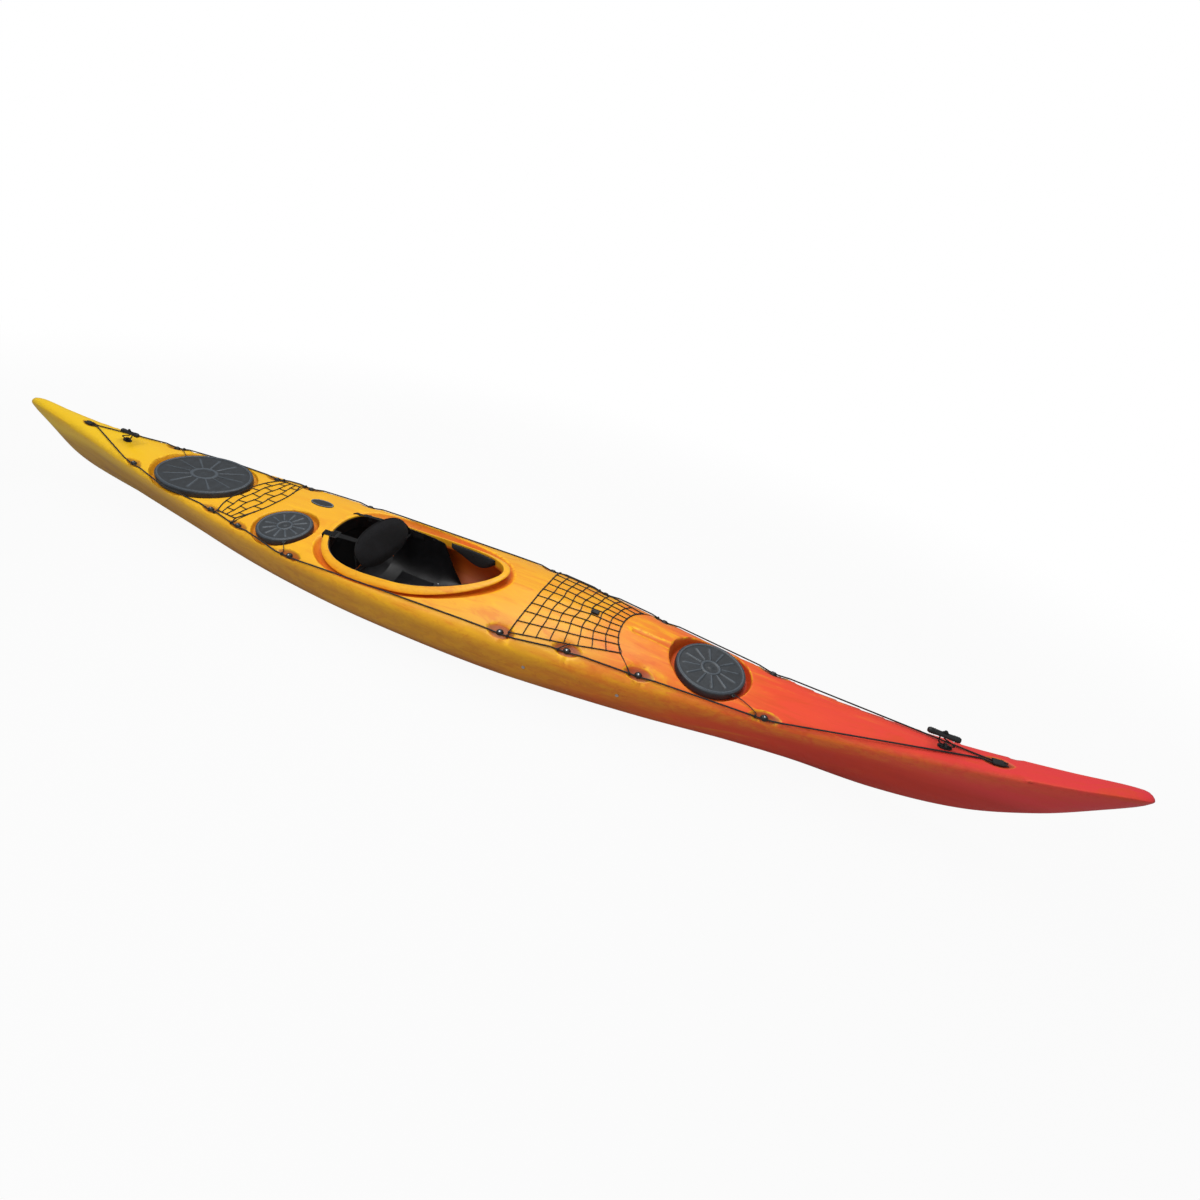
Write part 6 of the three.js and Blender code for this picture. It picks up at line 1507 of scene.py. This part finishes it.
def back_point(share, angle, front):
    """A point of the bent backrest from its oval's share and angle, and its distance in front."""
    c, s = np.cos(angle), np.sin(angle)
    x = BACK_HALF[0] * share * np.sign(c) * np.abs(c) ** (2 / 2.3)
    y = BACK_HALF[1] * share * np.sign(s) * np.abs(s) ** (2 / 2.3)
    front = front + BACK_BEND * (x / BACK_HALF[0]) ** 2
    return BACK_CENTRE + np.outer(x, (0, 1, 0)) + np.outer(y, BACK_UP) + np.outer(front, BACK_OUT)


def swell(obj, cap, held):
    """Swells a pad with cloth pressure, moving no point further than cap metres."""
    rest = np.array([v.co for v in obj.data.vertices])
    group = obj.vertex_groups.new(name="held")
    for i in np.where(held)[0]:
        group.add([int(i)], 1.0, "REPLACE")
    cloth = obj.modifiers.new("cloth", "CLOTH")
    cloth.settings.vertex_group_mass = "held"
    cloth.settings.use_pressure = True
    cloth.settings.uniform_pressure_force = CLOTH_PRESSURE
    cloth.settings.effector_weights.gravity = 0
    cloth.settings.tension_stiffness = 8
    cloth.settings.bending_stiffness = 0.4
    scene = bpy.context.scene
    cloth.point_cache.frame_start, cloth.point_cache.frame_end = 1, CLOTH_STEPS
    for step in range(1, CLOTH_STEPS + 1):
        scene.frame_set(step)
    evaluated = obj.evaluated_get(bpy.context.evaluated_depsgraph_get())
    moved = np.array([v.co for v in evaluated.data.vertices])
    obj.modifiers.clear()
    scene.frame_set(1)
    shift = moved - rest
    far = np.linalg.norm(shift, axis=1, keepdims=True)
    moved = rest + shift * np.minimum(1, cap / np.maximum(far, 1e-9))
    obj.data.vertices.foreach_set("co", moved.ravel())
    obj.data.update()


def make_seat():
    shape = Shape()
    thick_sheet(shape, seat_rows(*SEAT_GRID), SEAT_THICKNESS)
    for side in SIDES.values():
        face = float(opening_half(BAR[0])) - 5
        pin(shape, (BAR[0], side * (face - 16), BAR[2]), (BAR[0], side * (face + 1), BAR[2]), 9.5, 24)
        for share in SEAT_BOLTS:
            x, half, z = bolt_place(share)
            pin(shape, (x, side * (half - 7.5), z), (x, side * (half - 4.5), z), 6, 20)
            pin(shape, (x, side * (half - 5), z), (x, side * (half + 12), z), 3, 12)
            pin(shape, (x, side * (half + 8), z), (x, side * (half + 12), z), 5, 6)
    shape.make("seat", finish("seat"), "boat", ["seat_pan"], "plastic", sharp=40)
    rivets = Shape()
    rows = seat_rows(*SEAT_GRID)
    for i, j in ((36, 19), (36, 37), (39, 22), (39, 34), (31, 17), (31, 39)):
        rivets.ball(rows[i, j] + (0, 0, 0.6), (4.4, 4.4, 1.8), 6, 14)
    rivets.make("seat_rivets", finish("alloy"), "boat", slot="alloy")


def make_shade_liner():
    """The black lining round the back of the cockpit and on the floor behind the seat: dark sheets that stand
    partly for the seat's black and partly for shade inside the hull.
    """
    edge, out = coaming_outline(240, -SHADE_LINER_GAP)
    behind = edge[:, 0] < SHADE_LINER_START
    order = np.argsort(np.arctan2(edge[behind, 1], COAMING_CENTRE - edge[behind, 0]))
    edge, out = edge[behind][order], out[behind][order]
    level = coaming_height(edge[:, 0], edge[:, 1])
    rows = []
    profile = ((0, 7.0), (0, 12.0), (0, 60.0), (SHADE_LINER_THICK, 60.0), (SHADE_LINER_THICK, 8.0), (SHADE_LINER_THICK, 7.0))
    for depth, drop in profile:
        place = edge - out * depth
        rows.append(np.column_stack([place, np.maximum(level - drop, SHADE_LINER_FOOT)]))
    shape = Shape()
    shape.grid(np.array(rows), ring=True, across=False)
    # A black sheet on the hull's floor behind the seat: partly the seat's black and partly painted shade.
    shade_mat = []
    for x in np.linspace(*SHADE_MAT_X, 12):
        row = []
        for y in np.linspace(-1, 1, 41) * SHADE_MAT_HALF:
            point, _, _, _ = CAD_HULL.ray_cast(Vector((x, y, SHADE_MAT_ABOVE)) * MM, Vector((0, 0, -1)))
            row.append((x, y, point.z / MM + 3.2))
        shade_mat.append(row)
    thick_sheet(shape, np.array(shade_mat), 2.4)
    shape.make("seat_shroud", finish("seat"), "boat", (), "plastic", sharp=50)


def make_seat_pad():
    """The seat pad: a stitched cushion that lies on the pan."""
    rows = seat_rows(*SEAT_GRID)[8:30, 18:39]
    count, width = rows.shape[:2]
    v = np.linspace(-1, 1, count)[:, None]
    w = np.linspace(-1, 1, width)[None]
    round_off = np.clip(1 - np.abs(v) ** 5, 0, 1) ** 0.5 * np.clip(1 - np.abs(w) ** 5, 0, 1) ** 0.5
    channel = 1 - 0.4 * np.exp(-(np.abs(w) - 0.42) ** 2 / 0.003) - 0.3 * np.exp(-(v - 0.1) ** 2 / 0.004)
    crown = (4.5 + 10.5 * round_off * channel) * (0.35 + 0.65 * round_off)
    base = rows + (0, 0, 0.9)
    shape = Shape()
    top = base + np.stack([0 * crown, 0 * crown, crown], 2)
    loops = np.concatenate([top, base[:, ::-1]], 1)
    shape.grid(loops)
    for k in (0, count - 1):
        shape.grid(np.array([top[k], base[k]]), across=False)
    obj = shape.make("seat_cushion", finish("fabric"), None, ["seat_pad"], "fabric", sharp=80)
    merge(obj)
    tree = point_tree(base.reshape(-1, 3) * MM)
    held = np.array([tree.find(vertex.co)[2] < 1e-4 for vertex in obj.data.vertices])
    swell(obj, 0.004, held)
    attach(obj, "boat")


def back_rows(profile, count):
    """Rings of the backrest's oval from rows of [share, distance in front]."""
    turn = turns(count)
    return [back_point(max(share, 0.004), turn, front) for share, front in profile]


def make_backrest():
    count = 96
    shell = Shape()
    profile = [(0, -4), (0.5, -4), (0.88, -4), (0.915, -3.4), (0.925, -2), (0.915, -0.6), (0.88, 0),
               (0.5, 0), (0, 0)]
    shell.grid(back_rows(profile, count), caps=True)
    pin(shell, BAR - (0, BAR_HALF, 0), BAR + (0, BAR_HALF, 0), 5, 20)
    for side in SIDES.values():
        for up in np.linspace(-78, -42, 7):
            place = BACK_CENTRE + np.array([0, side * 84, 0]) + BACK_UP * up + BACK_OUT * -3.5
            shell.ball(place, (4, 3, 5))
    shell.make("backrest_plate", finish("seat"), "backrest", ["backrest_shell"], "plastic", sharp=40)
    pad = Shape()
    profile = [(0, 0.9), (0.5, 0.9), (0.85, 0.9), (0.95, 2.5), (0.985, 5.5), (1.0, 9), (0.985, 13),
               (0.95, 16.5), (0.9, 18.6), (0.84, 20.6), (0.76, 21.8), (0.66, 22.8), (0.55, 23.6),
               (0.44, 24.2), (0.33, 24.6), (0.22, 24.9), (0.1, 25), (0, 25)]
    pad.grid(back_rows(profile, count), caps=True)
    obj = pad.make("backrest_cushion", finish("fabric"), None, ["backrest_pad"], "fabric", sharp=80)
    merge(obj)
    depth = np.array([(np.array(v.co) / MM - BACK_CENTRE) @ BACK_OUT for v in obj.data.vertices])
    across = np.array([v.co.y / MM for v in obj.data.vertices])
    held = depth - BACK_BEND * (across / BACK_HALF[0]) ** 2 < 10
    swell(obj, 0.0035, held)
    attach(obj, "backrest")
    trim = Shape()
    turn = turns(120)
    for share, front, radius in ((0.99, 11.5, 1.5), (0.975, 4.5, 1.3)):
        trim.tube(back_point(share, turn, front), radius, 8, ring=True)
    trim.make("backrest_piping", finish("webbing"), "backrest", slot="fabric")


def ribbon(shape, places, cross, width, thickness):
    """A flat strap along places, with its width along cross."""
    places, cross = np.asarray(places, float), np.asarray(cross, float)
    ahead = np.gradient(places, axis=0)
    normal = np.cross(ahead, cross)
    normal /= np.linalg.norm(normal, axis=1, keepdims=True)
    half, thick = width / 2, thickness / 2
    outline = [(-half, -thick * 0.4), (-half + 0.6, -thick), (half - 0.6, -thick), (half, -thick * 0.4),
               (half, thick * 0.4), (half - 0.6, thick), (-half + 0.6, thick), (-half, thick * 0.4)]
    rows = [p + np.array([c * a + n * b for a, b in outline]) for p, c, n in zip(places, cross, normal)]
    shape.grid(rows, caps=True)


def buckle(shape, matrix, size):
    """A ladder-lock buckle: a frame with three bars, lying in the plane of its matrix."""
    long, wide, tall = size
    bar = lambda a, b, r: shape.tube([matrix @ Vector(a), matrix @ Vector(b)], r, 10, flat=0.8)
    for y in (-wide / 2, wide / 2):
        bar((-long / 2, y, 0), (long / 2, y, 0), tall / 2)
    for x in (-long / 2, -long / 8, long / 4, long / 2):
        bar((x, -wide / 2, 0), (x, wide / 2, 0), tall / 2 * 0.8)


def rear_strap(side):
    """The route of a rear strap and the direction across it."""
    y = side * STRAP_OUT
    near = ((STRAP_OUT - STRAP[0] / 2) / COAMING_HALF[1] / (1 + COAMING_TAPER)) ** COAMING_POWERS[0]
    edge = COAMING_CENTRE - COAMING_HALF[0] * (1 - near) ** (1 / COAMING_POWERS[0])
    outer = edge - 28 - 1.5 - 3.6
    over = lambda x, lift: (x, y, coaming_height(x, y) + STRAP[1] + lift)
    hold = BACK_CENTRE + np.array([0, y, 0]) + BACK_UP * 50
    hold = hold + BACK_OUT * (BACK_BEND * (STRAP_OUT / BACK_HALF[0]) ** 2 - 4.9)
    low = hold - BACK_UP * 22
    behind = hold + (-5.4, 0, 1.8)
    lip = np.array(over(edge, 1))
    middle = (behind + lip) / 2 + (0, 0, 2)
    lip_height = coaming_height(outer, y)
    places = [(outer, y, lip_height - 36), (outer, y, lip_height - 8), over(outer + 1.6, 0.2),
              over(edge - 15, 1.2), lip, middle, behind, hold, low]
    return smooth_path(places, 60), lip, middle


def make_straps():
    for name, side in SIDES.items():
        path, lip, middle = rear_strap(side)
        slant = np.array([0, 1, -side * 2 * STRAP_OUT / COAMING_CROWN])
        slant /= np.linalg.norm(slant)
        flat = np.array([0, 1, 0]) + side * 2 * BACK_BEND * STRAP_OUT / BACK_HALF[0] ** 2 * BACK_OUT
        flat /= np.linalg.norm(flat)
        blend_share = np.clip((np.linspace(0, 1, 60) - 0.5) / 0.3, 0, 1)[:, None]
        cross = slant * (1 - blend_share) + flat * blend_share
        strap = Shape()
        ribbon(strap, path, cross, *STRAP)
        loose = smooth_path([lip + (14, 0, 5), lip + (34, 0, 4), lip + (52, 0, -16)], 14)
        ribbon(strap, loose, np.broadcast_to(slant, loose.shape), 24, 1.6)
        obj = strap.make(f"rear_strap_{name}", finish("webbing"), None, [f"backrest_strap_{name}"], "fabric",
                         sharp=35)
        tuple(lip * MM)
        tuple(path[48] * MM)
        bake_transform(obj)
        run = middle - lip
        ahead = Vector(run).normalized()
        across = Vector(slant)
        up = ahead.cross(across).normalized()
        matrix = axes_at(ahead, across, up, Vector(lip + run * 0.4 + np.array([0, 0, 1.5])))
        clip = Shape()
        buckle(clip, matrix, (34, 34, 4.4))
        clip.make(f"rear_buckle_{name}", finish("plastic"), "boat", slot="plastic", sharp=60)
        side_strap(name, side)


def side_strap(name, side):
    at = lambda across, front: BACK_CENTRE + np.array([0, side * across, 0]) + BACK_OUT * front
    bend = lambda across: BACK_BEND * (across / BACK_HALF[0]) ** 2 - 5.2
    x, z = -0.119 * HALF, 0.93 * SEAT_HEIGHT
    face = lambda place: side * (float(opening_half(place)) - 5 - STRAP[1] - 1.5)
    places = [at(142, bend(142)), at(160, bend(160)), at(170, bend(168) + 7), at(172.5, 16),
              (x - 60, face(x - 60) * 0.985, z), (x - 30, face(x - 30), z), (x, face(x), z)]
    path = smooth_path(places, 40)
    share = np.clip(np.linspace(0, 1, 40) * 2 - 0.3, 0, 1)[:, None]
    cross = BACK_UP * (1 - share) + np.array([0, 0, 1]) * share
    strap = Shape()
    ribbon(strap, path, cross, *STRAP)
    obj = strap.make(f"side_strap_webbing_{name}", finish("webbing"), None, [f"side_strap_{name}"], "fabric",
                     sharp=35)
    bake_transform(obj)


def make_brace(name, side):
    """A thigh brace: a padded fin inside the coaming's wall."""
    start, end = -0.0585 * HALF, 0.047 * HALF
    rows = []
    for t in np.linspace(0, 1, 40):
        x = start + (end - start) * t
        half = float(opening_half(x))
        slope = (float(opening_half(x + 6)) - float(opening_half(x - 6))) / 12
        inward = np.array([slope, -side, 0])
        inward /= np.linalg.norm(inward)
        wall = np.array([x, side * half, coaming_height(x, half) - 6])
        depth = 74 * (0.35 + 0.65 * math.sin(math.pi * t ** 1.5))
        edge = min(1, t / 0.06, (1 - t) / 0.06) ** 0.5
        full = 14 * (0.35 + 0.65 * edge)
        outline = softened([
            (2, 0), (2 + full * 0.8, 0.5), (2 + full, 8), (2 + full * 1.2, depth / 2),
            (2 + full * 0.95, depth - 6), (2 + full * 0.5, depth), (2, depth - 1), (2, depth / 2)])
        rows.append([wall + inward * a - np.array([0, 0, b]) for a, b in outline])
    shape = Shape()
    shape.grid(rows, caps=True)
    x, half, z = bolt_place(BRACE_BOLT)
    pin(shape, (x, side * (half - 18.5), z), (x, side * (half + 12), z), 3, 12)
    pin(shape, (x, side * (half - 19.5), z), (x, side * (half - 16), z), 6.5, 18)
    shape.make(f"thigh_brace_pad_{name}", finish("foam"), "boat", [f"thigh_brace_{name}"], "foam", sharp=50)


# Deck fittings and plate


def make_deck_fittings(name, side):
    """Round saddles over the deck line, each held by one bolt."""
    turn = turns(28)
    ring = lambda r, z, wide: np.column_stack([wide * r * np.cos(turn), r * np.sin(turn), np.full(28, z)])
    body = softened([(13, 0.3), (13, 2), (12.2, 3), (11.4, 5), (10.6, 8), (9, 10.4), (6.6, 11.9), (4.4, 12.3),
                     (4.0, 11.5), (0.05, 11.5)], 1)
    head = [(3.6, 11.4), (3.6, 12.2), (3.2, 12.9), (2.0, 13.2), (1.6, 12.4), (0.05, 12.4)]
    domes, bolts = Shape(), Shape()
    for matrix in FITTING_FRAMES[side]:
        domes.grid([ring(r, z, 1.15) for r, z in body], caps=True, matrix=matrix)
        bolts.grid([ring(r, z, 1) for r, z in head], caps=True, matrix=matrix)
    nodes = [f"deck_fitting_{name}_{i + 1}" for i in range(len(FITTINGS))]
    domes.make(f"deck_fittings_{name}", finish("plastic"), "boat", nodes, "plastic", sharp=50)
    bolts.make(f"fitting_bolts_{name}", finish("alloy"), "boat", (), "alloy", sharp=40)


def make_plate():
    px, py = PLATE_PLACE
    x = np.array([px - 6, px + 6, px, px])
    y = np.array([py, py, py - 6, py + 6])
    z = deck(x, y)
    normal = Vector((-(z[1] - z[0]) / 12, -(z[3] - z[2]) / 12, 1)).normalized()
    matrix = tilted(normal, Vector((px, py, float(z[:2].mean()) - 2.2)))
    oval = {"half": (PLATE[2] - 0.3, PLATE[3] - 0.3)}
    rings = [(0.004, 0, 3.6), (0.3, 0, 3.6), (0.6, 0, 3.5), (0.72, 0, 3.4), (1, -6.4, 3.4), (1, -5.8, 4.2),
             (1, -4.6, 4.8), (1, -3, 4.9), (1, -1.4, 4.6), (1, -0.4, 3.8), (1, 0, 2.6), (1, 0, 0),
             (0.004, 0, 0)]
    shape = Shape()
    shape.grid(oval_rows(oval, rings, 72), caps=True, matrix=matrix)
    plate = shape.make("deck_plate", finish("plate"), "boat", ["oval_deck_plate"], "plastic", sharp=45)
    back = np.array(matrix.inverted())
    rise = mesh_points(plate.data) @ back[2, :3] + back[2, 3]
    store(plate.data, {"crest": np.clip((rise - 3.7) / 0.8, 0, 1)})


# Stage

FLOOR_HALF, FLOOR_LEVEL = 60000.0, -0.6

# The photograph's camera: degrees round, up and rolled, place in metres, and the rest in its pixels
CAMERA_ANGLES = (15.979, 32.949, 10.863)
CAMERA_PLACE = (1.10947, -1.86816, 1.81567)
CAMERA_FOCAL, CAMERA_AIM, PHOTO_SIZE, SENSOR = 607.675, (591.10, 562.63), 1200, 36


def backdrop(shader):
    """Whether a ray comes from the camera, and so shows the background."""
    return shader.node("ShaderNodeLightPath", out="Is Camera Ray")


def floor_finish():
    """A studio floor seen as white, which keeps the boat's shadow and runs out into the backdrop."""
    s = Shader("studio_floor")
    away = (s.axis("X") * s.axis("X") * 0.4 + s.axis("Y") * s.axis("Y")).fade(2.0, 12.0)
    cloud = s.mix(s.noise(3, 2), (0.38, 0.38, 0.38, 1), (0.42, 0.42, 0.42, 1))
    floor = s.node("ShaderNodeBsdfDiffuse", None, {"Color": cloud})
    glow = s.node("ShaderNodeEmission", None, {"Color": (1, 1, 1, 1), "Strength": 1.0})
    white = backdrop(s) * (0.94 + 0.06 * away)
    return s.end(s.node("ShaderNodeMixShader", None, {0: white, 1: floor, 2: glow}))


def make_stage():
    floor = Shape()
    ends = (-FLOOR_HALF, FLOOR_HALF)
    floor.grid([[(x, y, FLOOR_LEVEL) for x in ends] for y in ends], across=False)
    floor.make("floor", floor_finish())
    s = Shader("studio", world=True)
    light = s.node("ShaderNodeBackground", None, {"Color": (1, 1, 1, 1), "Strength": 0.36})
    plain = s.node("ShaderNodeBackground", None, {"Color": (1, 1, 1, 1), "Strength": 1.0})
    mixed = s.node("ShaderNodeMixShader", None, {0: backdrop(s), 1: light, 2: plain})
    bpy.context.scene.world = s.end(mixed, "ShaderNodeOutputWorld")
    lamp("key", (-0.5, 0.1, 4.4), (0.2, 0, 0), (6.5, 2.4), 225)
    lamp("fill", (1.6, -4.4, 2.6), (0.3, 0, 0.2), (5.0, 2.0), 28)


def lamp(name, place, target, size, power):
    light = bpy.data.lights.new(name, "AREA")
    light.shape = "RECTANGLE"
    light.size, light.size_y = size
    light.energy = power
    obj = bpy.data.objects.new(name, light)
    obj.location = place
    obj.rotation_euler = (Vector(target) - Vector(place)).to_track_quat("-Z", "Y").to_euler()
    bpy.context.scene.collection.objects.link(obj)


def make_camera():
    """The photograph's view: place, turn, roll and framing."""
    azimuth, elevation, roll = (math.radians(angle) for angle in CAMERA_ANGLES)
    back = Vector((math.sin(azimuth) * math.cos(elevation), -math.cos(azimuth) * math.cos(elevation),
                   math.sin(elevation)))
    right = Vector((0, 0, 1)).cross(back).normalized()
    up = back.cross(right)
    turned = math.cos(roll) * right + math.sin(roll) * up
    raised = -math.sin(roll) * right + math.cos(roll) * up
    camera = bpy.data.cameras.new("camera")
    camera.sensor_width = SENSOR
    camera.lens = CAMERA_FOCAL / PHOTO_SIZE * SENSOR
    camera.shift_x = (PHOTO_SIZE / 2 - CAMERA_AIM[0]) / PHOTO_SIZE
    camera.shift_y = (CAMERA_AIM[1] - PHOTO_SIZE / 2) / PHOTO_SIZE
    camera.clip_end = 200
    obj = bpy.data.objects.new("camera", camera)
    obj.matrix_world = axes_at(turned, raised, back, Vector(CAMERA_PLACE))
    bpy.context.scene.collection.objects.link(obj)
    bpy.context.scene.camera = obj


# Operators


class KayakLooks(bpy.types.PropertyGroup):
    """Sizes of the small forms, and colours of the moulded hull."""

    rib_rise: FloatProperty(name="Rib height", description="How far the ribs of a hatch cover stand up",
                            unit="LENGTH", default=0.003, min=0.001, max=0.006, precision=4)
    net_cord: FloatProperty(name="Net cord", description="Radius of a deck net's cords", unit="LENGTH",
                            default=0.002, min=0.001, max=0.004, precision=4)
    line_radius: FloatProperty(name="Deck line", description="Radius of the deck lines", unit="LENGTH",
                               default=0.003, min=0.0015, max=0.0035, precision=4)
    stern: FloatVectorProperty(name="Stern", description="Colour at the stern", subtype="COLOR", size=3,
                               default=linear("EFC614")[:3])
    aft: FloatVectorProperty(name="Aft deck", description="Colour of the aft deck", subtype="COLOR", size=3,
                             default=linear("E3A61C")[:3])
    cockpit: FloatVectorProperty(name="Cockpit", description="Colour round the cockpit", subtype="COLOR",
                                 size=3, default=linear("E39E1E")[:3])
    fore: FloatVectorProperty(name="Foredeck", description="Colour of the foredeck", subtype="COLOR", size=3,
                              default=linear("E67620")[:3])
    red: FloatVectorProperty(name="Fore hatch", description="Colour past the front hatch", subtype="COLOR",
                             size=3, default=linear("E84A28")[:3])
    bow: FloatVectorProperty(name="Bow", description="Colour at the bow", subtype="COLOR", size=3,
                             default=linear("DD3440")[:3])


class PieceOperator:
    bl_options = {"REGISTER", "UNDO"}


class KAYAK_OT_hull(PieceOperator, bpy.types.Operator):
    """Makes the moulded hull with its coaming, hatch seats and pockets"""

    bl_idname = "kayak.hull"
    bl_label = "Hull"

    def execute(self, context):
        make_hull()
        return {"FINISHED"}


class KAYAK_OT_hatches(PieceOperator, bpy.types.Operator):
    """Makes the hatch covers, their rims and tethers"""

    bl_idname = "kayak.hatches"
    bl_label = "Hatches"

    def execute(self, context):
        for name, hatch in HATCHES.items():
            make_cover(name, hatch)
            make_rim(name, hatch)
            make_tether(name, hatch)
        return {"FINISHED"}


class KAYAK_OT_deck_lines(PieceOperator, bpy.types.Operator):
    """Makes the deck lines along both sides"""

    bl_idname = "kayak.deck_lines"
    bl_label = "Deck lines"

    def execute(self, context):
        for name, side in SIDES.items():
            make_deck_line(name, side)
        return {"FINISHED"}


class KAYAK_OT_nets(PieceOperator, bpy.types.Operator):
    """Makes the elastic deck nets"""

    bl_idname = "kayak.nets"
    bl_label = "Deck nets"

    def execute(self, context):
        for name, net in NETS.items():
            make_net(name, net)
        return {"FINISHED"}


class KAYAK_OT_toggles(PieceOperator, bpy.types.Operator):
    """Makes the carrying toggles and their cords"""

    bl_idname = "kayak.toggles"
    bl_label = "Toggles"

    def execute(self, context):
        for name, toggle in TOGGLES.items():
            make_toggle(name, toggle)
        return {"FINISHED"}


class KAYAK_OT_seat(PieceOperator, bpy.types.Operator):
    """Makes the seat, its cushion, the backrest, the straps, the thigh braces and the black lining, which
    partly stands for shade
    """

    bl_idname = "kayak.seat"
    bl_label = "Seat"

    def execute(self, context):
        make_seat()
        make_shade_liner()
        make_seat_pad()
        make_backrest()
        make_straps()
        for name, side in SIDES.items():
            make_brace(name, side)
        return {"FINISHED"}


class KAYAK_OT_fittings(PieceOperator, bpy.types.Operator):
    """Makes the deck plate and deck fittings, and finishes the solids that still show"""

    bl_idname = "kayak.fittings"
    bl_label = "Fittings"

    def execute(self, context):
        make_plate()
        for name, side in SIDES.items():
            make_deck_fittings(name, side)
        slots = {s["node"]: s["material_slot"] for s in frame["record"]["subparts"]}
        for name, obj in frame["nodes"].items():
            if not obj.hide_render:
                obj.data.materials.clear()
                obj.data.materials.append(finish(slots[name]))
        return {"FINISHED"}


class KAYAK_OT_stage(PieceOperator, bpy.types.Operator):
    """Sets the floor, lights and camera"""

    bl_idname = "kayak.stage"
    bl_label = "Stage"

    def execute(self, context):
        make_stage()
        make_camera()
        return {"FINISHED"}


OPERATORS = (KAYAK_OT_stage, KAYAK_OT_hull, KAYAK_OT_hatches, KAYAK_OT_deck_lines, KAYAK_OT_nets,
             KAYAK_OT_toggles, KAYAK_OT_seat, KAYAK_OT_fittings)


class KAYAK_PT_panel(bpy.types.Panel):
    """Lists the kayak's pieces and colours"""

    bl_label = "Sea kayak"
    bl_space_type = "VIEW_3D"
    bl_region_type = "UI"
    bl_category = "Kayak"

    def draw(self, context):
        for name in KayakLooks.__annotations__:
            self.layout.prop(context.scene.kayak_looks, name)
        for operator in OPERATORS:
            self.layout.operator(operator.bl_idname)


CLASSES = (KayakLooks, *OPERATORS, KAYAK_PT_panel)


def register():
    for item in CLASSES:
        bpy.utils.register_class(item)
    bpy.types.Scene.kayak_looks = PointerProperty(type=KayakLooks)


def unregister():
    del bpy.types.Scene.kayak_looks
    for item in reversed(CLASSES):
        bpy.utils.unregister_class(item)


def main():
    register()
    bpy.context.scene.view_settings.view_transform = "Standard"
    for operator in OPERATORS:
        getattr(bpy.ops.kayak, operator.bl_idname.split(".")[1])()


if __name__ == "__main__":
    main()
